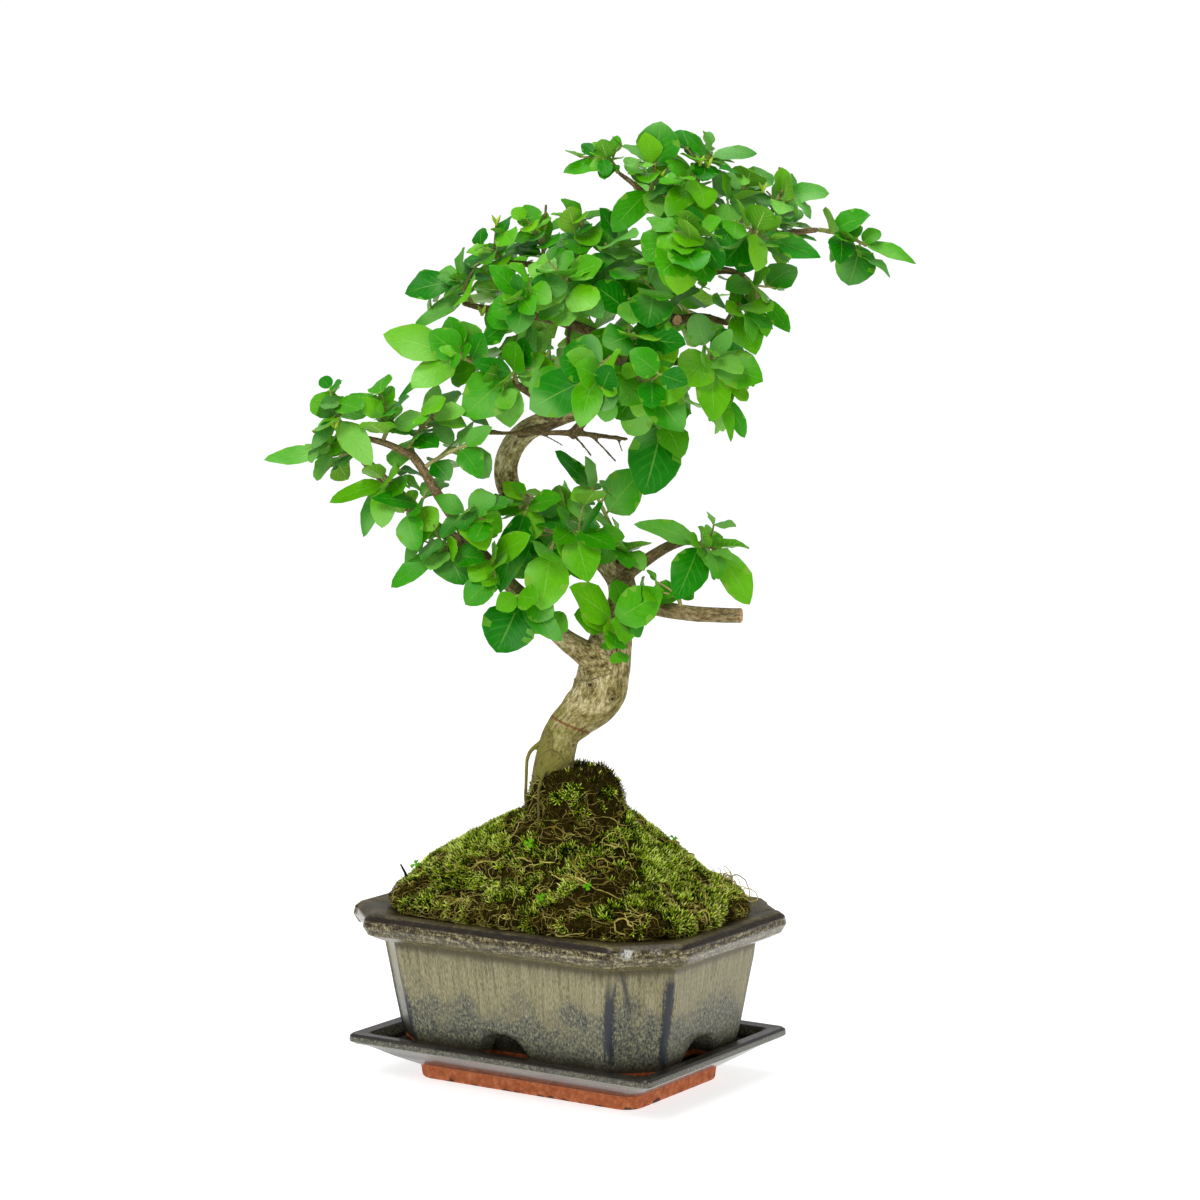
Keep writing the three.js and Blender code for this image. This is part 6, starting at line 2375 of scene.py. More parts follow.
    @staticmethod
    def set_leaf(
        canopy: Canopy, shoot: Shoot, age: float, drawn: Callable[[int], Leaf],
        clearance: float = RULE.clearance,
    ) -> None:
        """Tries a leaf until it is clear, and keeps it.

        Args:
            canopy: the leaves so far.
            shoot: the shoot that it grows on.
            age: from 0 at the tip to 1 for the oldest.
            drawn: what draws an attempt.
            clearance: how near counts as touching.
        """
        for attempt in range(RULE.tries):
            leaf = drawn(attempt)
            if canopy.is_clear(leaf, clearance):
                canopy.add(leaf)
                shoot.leaves.append(leaf)
                shoot.ages.append(age)
                return

    def fill(self, canopy: Canopy, shoots: Sequence[Shoot]) -> None:
        """Adds sprigs with small leaves, and leaves between the twigs' pairs, within the foliage's mass.

        Args:
            canopy: the leaves so far.
            shoots: all the shoots.
        """
        mass = finder_over(np.vstack([leaf.samples for leaf in canopy.leaves]))

        def within(point: np.ndarray) -> bool:
            """Whether a place lies in the foliage's mass."""
            return mass.find(Vector(point))[2] < FILLING.reach

        rods = canopy.rods
        for shoot in shoots:
            twig, draw = shoot.twig, shoot.draw
            for number in range(FILLING.sprigs):
                share = twig.node_share(0.05 + 0.8 * (number + draw()) / FILLING.sprigs)
                base, axis = twig.path.at(share), twig.path.heading(share)
                turn, spread = draw() * 2 * pi, 0.7 + 0.5 * draw()
                way = off_axis(axis, turn, spread) + UP * 0.3 * draw()
                run = FILLING.run[0] + FILLING.run[1] * draw()
                tip = base + unit(way) * run
                bow = Bow([base, base + unit(way + axis * 0.5) * run * 0.5, tip])
                if within(tip) and not rods.near(np.array([bow.at(0.6), tip]), 1.6, rods.bare):
                    shoot.sprigs.append(bow)
        for shoot in shoots:
            for sprig in shoot.sprigs:
                rods.add([sprig.at(step) for step in (0.0, 0.5, 1.0)], 0.5)
        rods.freeze()
        for shoot in shoots:
            twig = shoot.twig
            spots = [(sprig, share, sign)
                     for sprig in shoot.sprigs for share in FILLING.pairs for sign in (1, -1)]
            spots += [(twig.path, twig.node_share(shoot.draw()), 1) for _ in range(FILLING.between)]
            for spot in spots:
                self.set_leaf(
                    canopy, shoot, 0.7 * shoot.draw(),
                    lambda attempt: self.small_leaf(shoot, spot, attempt, within), FILLING.clearance,
                )

    def small_leaf(
        self, shoot: Shoot, spot: tuple[Path, float, int], attempt: int, within: Callable[[np.ndarray], bool]
    ) -> Leaf:
        """A small leaf on a sprig or between a twig's pairs. One that would stand out is drawn shorter.

        Args:
            shoot: the shoot that it grows on.
            spot: the path, the share along it and the side, 1 or -1.
            attempt: how often it has been drawn before.
            within: whether a place lies in the foliage's mass.

        Returns:
            The leaf.
        """
        (path, share, sign), draw = spot, shoot.draw
        base, axis = path.at(share), path.heading(share)
        turn = share * 2.3 + (draw() - 0.5) * (1.2 + attempt) + (pi if sign < 0 else 0.0)
        forward = off_axis(axis, turn, 0.75 + 0.5 * draw())
        forward[2] -= 0.2 * draw()
        forward = unit(forward)
        facing = self.outward_at(base) * 0.7 + ((draw() - 0.5) * 0.5, (draw() - 0.5) * 0.5 - 0.35, 0.6)
        length = shoot.leaf_length * (FILLING.size[0] + FILLING.size[1] * draw())
        while length > 9.0 and not within(base + forward * length):
            length *= 0.8
        return shoot.drawn_leaf(base, forward, facing, length)

    def blade_pattern(self) -> Object:
        """The flat leaf that is bent into every leaf: its spot attribute is [across, along, face].

        Returns:
            The pattern.
        """
        sides = np.array([-1, -0.55, 0, 0.55, 1])
        rows = np.array([0, 0.09, 0.14, 0.22, 0.35, 0.51, 0.67, 0.82, 0.93, 1])
        ring = [(side, 1.0) for side in sides] + [(side, -1.0) for side in sides[-2:0:-1]]
        spots = np.array([(side, row, face if abs(side) < 1 else 0.0) for row in rows for side, face in ring])
        columns = len(ring)
        flat = spots * (10.0, 25.0, 0.2)
        caps = np.array([(0, 0, 0), (0, 25, 0)])
        faces = [tuple(reversed(face)) for face in skin(len(rows), columns)]
        mesh = make_mesh("blade_pattern", np.vstack([flat, caps]), faces)
        write_attributes(mesh, spot=np.vstack([spots, (0, 0, 0), (0, 1, 0)]), green=np.ones(len(spots) + 2))
        rims = {(side, side + columns) for row in range(len(rows) - 1)
                for side in (row * columns, row * columns + len(sides) - 1)}
        sharp = [tuple(sorted(edge.vertices)) in rims for edge in mesh.edges]
        mesh.attributes.new("sharp_edge", "BOOLEAN", "EDGE").data.foreach_set("value", sharp)
        return make_object("blade_pattern", mesh)

    def shoot_piece(self, shoot: Shoot, grower: Grower, blade: Object, finish: Material) -> Object:
        """Makes one leafy shoot.

        Args:
            shoot: the shoot.
            grower: the tree that bends blades.
            blade: the flat leaf.
            finish: the piece's material.

        Returns:
            The piece.
        """
        draw = number_stream(sum(ord(letter) for letter in shoot.name) * 31 + 7)
        steps = np.linspace(0, 1, 14)
        twig = [to_frame(shoot.twig.path.at(share)) for share in steps]
        end = twig[-1] + unit(twig[-1] - twig[-2]) * 2.2
        twig += [twig[-1] + (end - twig[-1]) * share for share in (0.4, 0.8, 1.0)]
        girth = [RULE.twig_radius * (1.2 - 0.42 * share) for share in steps] + [1.0, 0.75, 0.15]
        nodes = {round(shoot.twig.node_share(s) * 13) for s in (0.1, 0.4, 0.7, 1.0)}
        girth = [g * (1.22 if i in nodes and i < 13 else 1.0) for i, g in enumerate(girth)]
        leaves, count = shoot.leaves, len(shoot.leaves)
        points = [to_frame(leaf.base) for leaf in leaves] + twig
        edges = [(count + i, count + i + 1) for i in range(len(twig) - 1)]
        for sprig in shoot.sprigs:
            first = len(points)
            points += [to_frame(sprig.at(step)) for step in (0.0, 0.25, 0.5, 0.75, 0.97, 1.05)]
            edges += [(first + i, first + i + 1) for i in range(5)]
            girth += [0.75, 0.6, 0.55, 0.5, 0.5, 0.12]
        mesh = make_mesh(f"leaves_{shoot.name}", points, edges=edges)
        spare = len(points) - count

        def filled(values: list[Any], rest: Any = (0.0, 0.0, 0.0)) -> np.ndarray:
            """A value for each leaf, and one for the twig's points."""
            return np.array(values + [rest] * spare, float)

        write_attributes(
            mesh, leaf=[True] * count + [False] * spare, girth=[0.0] * count + girth,
            leaf_base=filled([to_frame(leaf.base) * METRES for leaf in leaves]),
            leaf_forward=filled([to_frame(leaf.forward) for leaf in leaves]),
            leaf_side=filled([to_frame(leaf.side) for leaf in leaves]),
            leaf_normal=filled([to_frame(leaf.normal) for leaf in leaves]),
            leaf_size=filled([
                (leaf.length * METRES, leaf.half_width * METRES, leaf.fold) for leaf in leaves
            ]),
            leaf_bend=filled([(leaf.curl, draw(), draw()) for leaf in leaves]),
            leaf_look=filled([(draw(), age, draw()) for age in shoot.ages], (0.5, 0.5, draw())),
        )
        settings = {
            "Blade": blade, "Stalk radius": RULE.stalk_radius * METRES, "Stalk share": RULE.stalk_share,
            "Fullness": self.fullness, "Blade thickness": self.blade_thickness * METRES,
            "Twig sides": self.twig_sides, "Finish": finish,
        }
        piece = grower.grow(make_object(f"leaves_{shoot.name}", mesh), settings)
        return add_piece(piece, Slot.LEAF, None, [f"shoot_{shoot.name}"])

    def foliage(self, finish: Material) -> list[Object]:
        """Makes every leafy shoot.

        Args:
            finish: the leaves' material.

        Returns:
            A piece for each shoot.
        """
        grower, blade = shoot_grower(), self.blade_pattern()
        made = [self.shoot_piece(shoot, grower, blade, finish) for shoot in self.grow()]
        bpy.data.objects.remove(blade)
        return made

    def buds(self, grower: Grower, finish: Material) -> Object:
        """Makes the young buds at the twigs' tips.

        Args:
            grower: the tree that makes tubes of paths.
            finish: the piece's material.

        Returns:
            The piece.
        """
        strands = Strands()
        for across, toward, up in BUDS:
            foot = turned((across, toward, up))
            for lean in (-1.0, 1.0):
                way = turned((lean * 0.5, 0.4, 1.0))
                path = [foot + way * run for run in (-1.0, 0.6, 1.8, 3.0, 4.4)]
                strands.add(path, [0.5, 0.85, 0.95, 0.6, 0.08], 0.5 + 0.3 * lean)
        return add_piece(strands.build("young_buds", grower, 8, finish), Slot.LEAF)


# Finishes


class Finish:
    """A procedural material. A subclass wires what varies over the surface."""

    name = "finish"
    fixed: dict[str, Any] = {}

    def make(self) -> Material:
        """Builds the material.

        Returns:
            The material.
        """
        material = bpy.data.materials.new(self.name)
        material.use_nodes = True
        tree = material.node_tree
        surface = tree.nodes["Principled BSDF"]
        for socket, number in self.fixed.items():
            surface.inputs[socket].default_value = number
        for socket, value in self.wire(Sheet(tree)).items():
            tree.links.new(value.socket, surface.inputs[socket])
        return material

    def wire(self, sheet: Sheet) -> dict[str, Value]:
        """What feeds each socket of the surface."""
        raise NotImplementedError


@dataclass(frozen=True)
class PotGlaze(Finish):
    """A celadon glaze over dark clay, blue-grey and speckled where it pools, painted near-black along the
    bead's top edge for the dark surroundings that it reflects there.

    Attributes:
        bare_top: the height up to which the foot is bare clay.
        rim_low: where the rim's bead starts.
        crest: how far the bead's dark top reaches in from the rim's outline.
    """

    name = "pot_glaze"
    fixed = {"IOR": 1.5, "Coat Roughness": 0.06, "Specular IOR Level": 0.2}
    bare_top: float = 20.2
    rim_low: float = 73.0
    crest: float = 2.5

    def wire(self, sheet: Sheet) -> dict[str, Value]:
        """Body, streaks, rim, ledge, lime and bare foot, laid one over the other.

        Args:
            sheet: the material's node tree.

        Returns:
            What feeds each socket of the surface.
        """
        place = sheet.place()
        z = sheet.parts(place)[2]
        rim_x, rim_y, _ = sheet.parts(sheet.read("rim_place"))
        inset = sheet.read("inset", "Fac")
        flow = sheet.joined(rim_x, rim_y, z * 0.1)
        streaks = sheet.noise(flow, 0.5, 5.0, 0.65)
        fine = sheet.noise(sheet.joined(rim_x, rim_y, z * 0.28), 1.6, 3.0, 0.6)
        speck = sheet.noise(place, 1.3, 3.0, 0.6)
        speckle = sheet.noise(place, 0.62, 4.0, 0.7)
        cloud = sheet.noise(place, 0.05, 3.0, 0.5)
        body = sheet.ramp(streaks * 0.45 + fine * 0.55, [
            (0.31, 52, 46, 22), (0.41, 106, 99, 68), (0.52, 138, 132, 101), (0.68, 164, 159, 128),
        ])
        pooled = sheet.ramp(speckle * 0.6 + fine * 0.4, [
            (0.38, 18, 24, 34), (0.45, 54, 62, 66), (0.52, 94, 96, 82), (0.61, 146, 143, 112),
        ])
        shore = 46.0 + (cloud - 0.5) * 60.0 + (streaks - 0.5) * 16.0
        deep = sheet.rise(z, shore + 10.0, shore - 9.0)
        body = sheet.blend(deep * (0.5 + 0.7 * speck), body, pooled)
        wobble = (sheet.noise(sheet.joined(0.0, 0.0, z), 0.1, 2.0) - 0.5) * 6.0
        edge_x, edge_y = sheet.math("ABSOLUTE", rim_x), sheet.math("ABSOLUTE", rim_y)
        edge = sheet.joined(edge_x + wobble * 0.5, edge_y, 0.0)
        corner_a = sheet.vector("DISTANCE", edge, (73.5, 73.5, 0.0), 1)
        corner_b = sheet.vector("DISTANCE", edge, (98.5, 48.5, 0.0), 1)
        seam = sheet.smallest(corner_a, corner_b) + (speckle - 0.5) * 7.0 + (streaks - 0.5) * 4.0
        run = sheet.rise(seam, 4.8, 1.8)
        fade = sheet.rise(sheet.noise(sheet.joined(rim_x, rim_y, z * 0.5), 0.07, 2.0), 0.34, 0.5)
        front = sheet.rise(rim_y, -69.0, -71.0)
        drip = sheet.band(rim_x + 5.0 + wobble * 0.2, 0.0, 1.1) * front * sheet.rise(z, 50.0, 54.0)
        slant = sheet.band(rim_x - 79.0 - (66.0 - z) * 0.2, 0.0, 1.8) * sheet.rise(z, 48.0, 53.0)
        spot = sheet.vector("DISTANCE", place, (73.2, -48.2, 50.5), 1) + (speck - 0.5) * 2.0
        # Painted shadow: the body is darkened to brown just under the rim's overhang.
        shade = sheet.rise(z, 67.5 + (streaks - 0.5) * 8.0, 71.8)
        foot = sheet.rise(z, 27.0 + (cloud - 0.5) * 8.0, 20.0)
        body = sheet.coats(
            body, (run * (0.25 + 0.7 * fade) * sheet.rise(z, 70.0, 64.0), (44, 48, 54)),
            (drip * (0.4 + 0.5 * fade), (66, 62, 54)),
            (slant * sheet.rise(rim_y, -52.0, -58.0) * 0.8, (46, 48, 54)),
            (sheet.rise(spot, 2.2, 1.0), (92, 58, 36)), (shade * 0.8, (66, 58, 34)),
            (foot * 0.9, (52, 40, 20)),
        )
        smear = sheet.noise(sheet.joined(rim_x * 0.3, rim_y * 0.3, z * 1.3), 0.5, 4.0, 0.6)
        bead = sheet.ramp(speckle * 0.4 + speck * 0.25 + smear * 0.35, [
            (0.38, 12, 7, 2), (0.45, 44, 35, 18), (0.52, 92, 83, 54), (0.6, 164, 155, 120),
        ])
        under = sheet.rise(z, 80.0, 75.5)
        bead = sheet.blend(under * 0.5, bead, paint(92, 86, 54))
        colour = sheet.blend(sheet.rise(z, self.rim_low - 0.2, self.rim_low + 1.0), body, bead)
        # Painted reflection: the bead's top outer edge is painted a mottled near-black, standing in for the
        # dark surroundings that the glossy glaze reflects there.
        crest_top = sheet.rise(z, 83.9 + (cloud - 0.5) * 2.0 + (speckle - 0.5) * 2.0, 85.3)
        crest = crest_top * sheet.rise(inset, self.crest + 1.0, self.crest - 0.4)
        colour = sheet.blend(crest * (0.3 + 1.2 * speckle), colour, paint(24, 14, 7))
        on_ledge = crest_top * sheet.rise(inset, self.crest - 0.4, self.crest + 1.0)
        ledge = sheet.ramp(speckle * 0.5 + cloud * 0.5, [
            (0.36, 28, 22, 10), (0.48, 56, 48, 25), (0.58, 84, 75, 44), (0.7, 120, 112, 76),
        ])
        colour = sheet.blend(on_ledge, colour, ledge)
        lime_field = sheet.noise(place, 0.3, 4.0, 0.7)
        lime = self.lime(sheet, place, lime_field)
        colour = sheet.blend(lime, colour, paint(226, 226, 222))
        clay = sheet.ramp(sheet.noise(place, 0.35, 4.0, 0.6), [
            (0.3, 126, 58, 28), (0.55, 178, 92, 48), (0.75, 196, 114, 70),
        ])
        bare = sheet.rise(z, self.bare_top + (cloud - 0.5) * 2.4, self.bare_top - 0.9)
        colour = sheet.blend(bare, colour, clay)
        rough = 0.16 + 0.12 * speckle + bare * 0.6 + lime * 0.5 + 0.18 * sheet.rise(z, 72.0, 66.0)
        rough = rough + crest_top * 0.22
        rim = sheet.rise(z, 74.0, 82.0)
        shine = (1.0 - bare) * (1.0 - lime) * (0.1 + 0.9 * rim) * (1.0 - 0.75 * crest_top)
        height = speck * 0.5 + streaks * 0.6 + crest_top * speckle * 1.6
        return {
            "Base Color": colour, "Roughness": rough, "Coat Weight": shine * 0.5,
            "Normal": sheet.bump(height, 0.3, 0.8),
        }

    @staticmethod
    def lime(sheet: Sheet, place: Value, field_noise: Value) -> Value:
        """White lime left by water on the rim's front chamfer.

        Args:
            sheet: the material's node tree.
            place: the place, in millimetres.
            field_noise: what breaks its edge up.

        Returns:
            The mask, 0 to 1.
        """
        mask: Any = 0.0
        chips = ((80.5, -69.5, 85.5), 5.5), ((90.5, -59.5, 85.8), 4.6), ((87.5, -62.0, 86.5), 3.0)
        for spot, reach in chips:
            away = sheet.vector("DISTANCE", place, spot, 1) + (field_noise - 0.5) * 9.0
            mask = sheet.largest(mask, sheet.rise(away, reach, reach - 3.0))
        return mask * sheet.rise(field_noise, 0.3, 0.5) * 0.9


@dataclass(frozen=True)
class SaucerGlaze(Finish):
    """The saucer's dark glaze, grey on its underside, over an orange clay foot."""

    name = "saucer_glaze"
    fixed = {"IOR": 1.5, "Coat Roughness": 0.05, "Specular IOR Level": 0.3}

    def wire(self, sheet: Sheet) -> dict[str, Value]:
        """Tray, lip, dark edge and bare foot, laid one over the other.

        Args:
            sheet: the material's node tree.

        Returns:
            What feeds each socket of the surface.
        """
        place = sheet.place()
        x, y, z = sheet.parts(place)
        speckle = sheet.noise(place, 0.9, 4.0, 0.7)
        speck = sheet.noise(place, 2.0, 2.0, 0.6)
        cloud = sheet.noise(place, 0.05, 3.0)
        tray = sheet.ramp(speckle * 0.6 + cloud * 0.4, [
            (0.36, 42, 42, 34), (0.5, 74, 74, 60), (0.66, 112, 112, 94),
        ])
        side = sheet.ramp(speckle * 0.75 + speck * 0.25, [
            (0.36, 26, 26, 20), (0.46, 58, 58, 46), (0.56, 92, 92, 74), (0.68, 138, 136, 112),
        ])
        colour = sheet.blend(sheet.rise(z, 18.2, 19.2), tray, side)
        top = sheet.rise(z, 21.9 + (speckle - 0.5) * 1.6, 23.2)
        lip = sheet.ramp(speckle * 0.5 + cloud * 0.5, [
            (0.38, 18, 13, 10), (0.55, 34, 27, 21), (0.7, 70, 62, 48),
        ])
        colour = sheet.blend(top, colour, lip)
        edge_x = sheet.math("ABSOLUTE", x) - 80.4
        edge_y = sheet.math("ABSOLUTE", y) - 57.9
        within = sheet.rise(sheet.largest(edge_x, edge_y), 0.2, -0.8)
        colour = sheet.blend(within * sheet.rise(z, 7.8, 8.0), colour, paint(30, 27, 24))
        clay_noise = sheet.noise(place, 0.3, 4.0, 0.65)
        clay = sheet.ramp(clay_noise, [(0.3, 146, 76, 42), (0.52, 182, 102, 60), (0.72, 204, 132, 88)])
        chip_noise = sheet.noise(sheet.joined(x * 0.55, y * 0.55, z * 0.9), 0.22, 3.0, 0.6)
        chips = sheet.rise(chip_noise + (1.2 - z) * 0.055, 0.565, 0.6)
        clay = sheet.blend(chips * 0.85, clay, paint(58, 40, 34))
        bare = sheet.rise(z, 8.2, 7.5) * (1.0 - within * sheet.rise(z, 7.6, 7.9))
        colour = sheet.blend(bare, colour, clay)
        rough = 0.16 + 0.12 * speckle + bare * 0.62
        height = speck * 0.6 + speckle * 0.6 + top * speck
        return {
            "Base Color": colour, "Roughness": rough, "Coat Weight": (1.0 - bare) * 0.4,
            "Normal": sheet.bump(height, 0.25, 0.8),
        }


@dataclass(frozen=True)
class Bark(Finish):
    """Grey-tan bark: algae on the shaded side, lenticels across it, pale cut ends and green young wood."""

    name = "privet_bark"
    fixed = {"IOR": 1.4}

    def wire(self, sheet: Sheet) -> dict[str, Value]:
        """Bark by girth and height, then marks.

        Args:
            sheet: the material's node tree.

        Returns:
            What feeds each socket of the surface.
        """
        place = sheet.place()
        x, y, z = sheet.parts(place)
        spot = sheet.read("bark_spot")
        spot_x, spot_y, spot_z = sheet.parts(spot)
        girth = sheet.read("girth", "Fac")
        cut = sheet.read("cut", "Fac")
        ridges = sheet.noise(sheet.joined(spot_x, spot_y, spot_z * 0.55), 0.6, 6.0, 0.7)
        blotch = sheet.noise(spot, 0.09, 4.0, 0.6)
        grain = sheet.noise(spot, 1.6, 3.0, 0.6)
        old = sheet.ramp(ridges * 0.6 + blotch * 0.4, [
            (0.36, 44, 34, 10), (0.44, 120, 104, 56), (0.51, 174, 159, 104), (0.6, 228, 218, 172),
        ])
        young = sheet.ramp(ridges * 0.5 + grain * 0.5, [
            (0.36, 70, 54, 30), (0.5, 122, 102, 64), (0.64, 172, 152, 106),
        ])
        algae = sheet.rise(z + (blotch - 0.5) * 110.0, 215.0, 165.0) * sheet.rise(ridges, 0.25, 0.55)
        side = sheet.rise(x * 0.84 + y * 0.54, 6.0, -10.0)
        dots = sheet.cells(sheet.joined(spot_x, spot_y, spot_z * 2.4), 0.24)
        pores = sheet.rise(dots, 0.16, 0.08) * sheet.rise(girth, 2.4, 5.0)
        cracks = sheet.rise(sheet.noise(sheet.joined(spot_x, spot_y, spot_z * 0.14), 0.5, 4.0, 0.7), 0.4, 0.3)
        knot = sheet.read("knot", "Fac")
        gnarl = sheet.rise(sheet.math("SINE", (knot + (grain - 0.5) * 0.3) * 16.0), 0.1, 0.9)
        # Darker brown towards the foot of the trunk and the roots, below about 150 mm.
        lower_darkening = sheet.rise(z + (blotch - 0.5) * 30.0, 160.0, 140.0)
        colour = sheet.coats(
            sheet.blend(sheet.rise(girth, 6.0, 2.6), old, young),
            (algae * (0.3 + 0.5 * side), (138, 138, 48)), (pores * 0.75, (206, 190, 152)),
            (cracks * 0.6, (70, 58, 40)), (gnarl * sheet.rise(knot, 1.1, 0.7) * 0.6, (84, 66, 38)),
            # The knots' pits are painted dark brown: painted shade in the hollows.
            (sheet.rise(knot, 0.42, 0.22), (58, 42, 24)), (self.scar(sheet, x, y, z, grain), (124, 62, 34)),
            (lower_darkening * 0.6, (70, 60, 34)),
        )
        rings = sheet.noise(sheet.joined(spot_x * 3.0, spot_y * 3.0, 0.0), 0.6, 2.0)
        end = sheet.ramp(rings, [(0.35, 176, 128, 86), (0.6, 222, 182, 136)])
        colour = sheet.blend(cut, colour, end)
        height = ridges * 0.8 + grain * 0.35 + pores * 0.3 - cracks * 0.5
        return {
            "Base Color": colour, "Roughness": 0.78 + 0.15 * grain,
            "Normal": sheet.bump(height, 2.2, 1.0),
        }

    @staticmethod
    def scar(sheet: Sheet, x: Value, y: Value, z: Value, grain: Value) -> Value:
        """The red-brown ring scar that slants round the trunk.

        Args:
            sheet: the material's node tree.
            x: the place along x, in millimetres.
            y: along y.
            z: its height.
            grain: what roughens its edge.

        Returns:
            The mask, 0 to 1.
        """
        across = x * cos(TREE_TURN) + y * sin(TREE_TURN)
        level = z - 182.0 + (across + 1.0) * 0.42 + (grain - 0.5) * 1.6
        return sheet.band(level, 0.0, 1.3) * sheet.rise(across, 12.5, 9.5) * 0.9


@dataclass(frozen=True)
class PrivetLeaf(Finish):
    """A privet leaf: waxy green above with a painted pale sheen in patches, paler below, with a light midrib
    and edge, and green-brown twigs; leaves and twigs glow faintly as painted light.
    """

    name = "privet_leaf"
    # The emission in the surface's own colour is painted light: leaves and twigs glow a little, standing in for
    # light that passes through the leaves.
    fixed = {"IOR": 1.45, "Specular IOR Level": 0.14, "Emission Strength": 0.09}

    def wire(self, sheet: Sheet) -> dict[str, Value]:
        """Twig, stalk and blade.

        Args:
            sheet: the material's node tree.

        Returns:
            What feeds each socket of the surface.
        """
        spot = sheet.read("spot")
        across, along, face = sheet.parts(spot)
        look = sheet.read("leaf_look")
        tint, age, shift = sheet.parts(look)
        green = sheet.read("green", "Fac")
        place = sheet.place()
        spread = sheet.math("ABSOLUTE", across)
        mottle = sheet.noise(place, 0.28, 3.0, 0.6)
        deep = sheet.ramp(tint * 0.8 + mottle * 0.3, [
            (0.1, 2, 92, 0), (0.35, 20, 118, 0), (0.62, 52, 142, 0), (0.95, 92, 166, 8),
        ])
        young = sheet.ramp(tint, [(0.0, 70, 152, 2), (1.0, 116, 180, 20)])
        youth = sheet.rise(age + (shift - 0.5) * 0.5, 0.25, -0.1)
        top = sheet.blend(youth * 0.6, deep, young)
        # Painted sheen: pale patches in clusters over the upper faces, standing in for light that the leaves
        # catch.
        painted_sheen = sheet.rise(sheet.noise(place, 0.03, 1.0, 0.4) + (shift - 0.5) * 0.2, 0.47, 0.68)
        veins = sheet.math("SINE", along * 44.0 - spread * 15.0 + shift * 2.0)
        vein = sheet.rise(veins, 0.5, 1.0) * sheet.rise(spread, 0.9, 0.5) * sheet.rise(along, 0.1, 0.2)
        rib = sheet.rise(spread, 0.055, 0.01) * sheet.rise(along, 1.0, 0.7)
        top = sheet.coats(
            top, (painted_sheen * 0.32, (150, 204, 116)), (vein * 0.07, (130, 190, 60)), (rib * 0.32, (140, 190, 80)),
            (sheet.rise(spread, 0.94, 1.0) * 0.18, (150, 196, 84)),
        )
        below = sheet.blend(tint, paint(72, 140, 22), paint(112, 166, 44))
        below = sheet.blend(sheet.largest(rib, vein * 0.25), below, paint(162, 196, 104))
        blade = sheet.blend(sheet.rise(face, 0.1, -0.1), top, below)
        stalk = sheet.blend(shift, paint(140, 170, 70), paint(120, 138, 60))
        blade = sheet.blend(sheet.rise(along, 0.15, 0.07), blade, stalk)
        bark = sheet.ramp(sheet.noise(place, 0.8, 3.0, 0.6) * 0.7 + shift * 0.3, [
            (0.3, 104, 104, 58), (0.5, 130, 138, 72), (0.7, 160, 152, 104),
        ])
        colour = sheet.blend(green, bark, blade)
        rough = 0.3 + mottle * 0.14 + (1.0 - green) * 0.3
        height = vein * -0.4 - rib * 0.8 + mottle * 0.9 + sheet.noise(place, 1.4, 2.0) * 0.3
        return {
            "Base Color": colour, "Emission Color": colour, "Roughness": rough,
            "Normal": sheet.bump(height, 0.35, 0.6),
        }


@dataclass(frozen=True)
class MossSkin(Finish):
    """Dark soil with crumbs where no moss grows, and where it does, matted moss painted near-black green as
    painted shade between the tufts.
    """

    name = "moss_and_soil"
    fixed = {"IOR": 1.3, "Specular IOR Level": 0.05}

    def wire(self, sheet: Sheet) -> dict[str, Value]:
        """Soil under moss.

        Args:
            sheet: the material's node tree.

        Returns:
            What feeds each socket of the surface.
        """
        place = sheet.place()
        moss = sheet.read("moss", "Fac")
        crumb = sheet.noise(place, 0.55, 5.0, 0.7)
        fine = sheet.noise(place, 1.6, 3.0, 0.6)
        soil = sheet.ramp(crumb * 0.6 + fine * 0.4, [
            (0.3, 14, 9, 2), (0.46, 34, 26, 6), (0.58, 58, 50, 14), (0.74, 92, 80, 32),
        ])
        # Where moss grows the skin is painted near-black green: painted shade in the gaps between the tufts.
        sward = sheet.ramp(crumb * 0.5 + fine * 0.5, [(0.3, 8, 12, 0), (0.5, 28, 38, 0), (0.7, 64, 80, 8)])
        colour = sheet.blend(sheet.rise(moss + (fine - 0.5) * 0.8, 0.2, 0.7), soil, sward)
        height = crumb * 0.6 + fine * 0.6
        return {"Base Color": colour, "Roughness": 0.86 + 0.1 * fine, "Normal": sheet.bump(height, 1.6, 0.9)}


@dataclass(frozen=True)
class Toned(Finish):
    """A finish whose colour runs between stops by each strand's or tuft's tone, with fine mottling.

    Attributes:
        label: the material's name.
        stops: the ramp of colours.
        rough: the roughness.
        gloss: how strongly it reflects.
        tips: how much brighter a tuft's tip is than its foot.
    """

    label: str = "toned"
    stops: Sequence[Stop] = ()
    rough: float = 0.8
    gloss: float = 0.08
    tips: float = 0.0

    @property
    def name(self) -> str:
        """The material's name."""
        return self.label

    @property
    def fixed(self) -> dict[str, float]:
        """What is the same all over."""
        return {"Specular IOR Level": self.gloss}

    def wire(self, sheet: Sheet) -> dict[str, Value]:
        """Tone and mottling.

        Args:
            sheet: the material's node tree.

        Returns:
            What feeds each socket of the surface.
        """
        place = sheet.place()
        tone = sheet.read("tone", "Fac")
        mottle = sheet.noise(place, 0.45, 3.0, 0.6)
        patch = sheet.noise(place, 0.06, 3.0, 0.6)
        tip = sheet.read("tip", "Fac") * self.tips
        level = tone * 0.55 + mottle * 0.3 + patch * 0.7 + tip - 0.29 - self.tips * 0.5
        colour = sheet.ramp(level, self.stops)
        return {
            "Base Color": colour, "Roughness": self.rough + mottle * 0.1,
            "Normal": sheet.bump(mottle, 0.3, 0.5),
        }


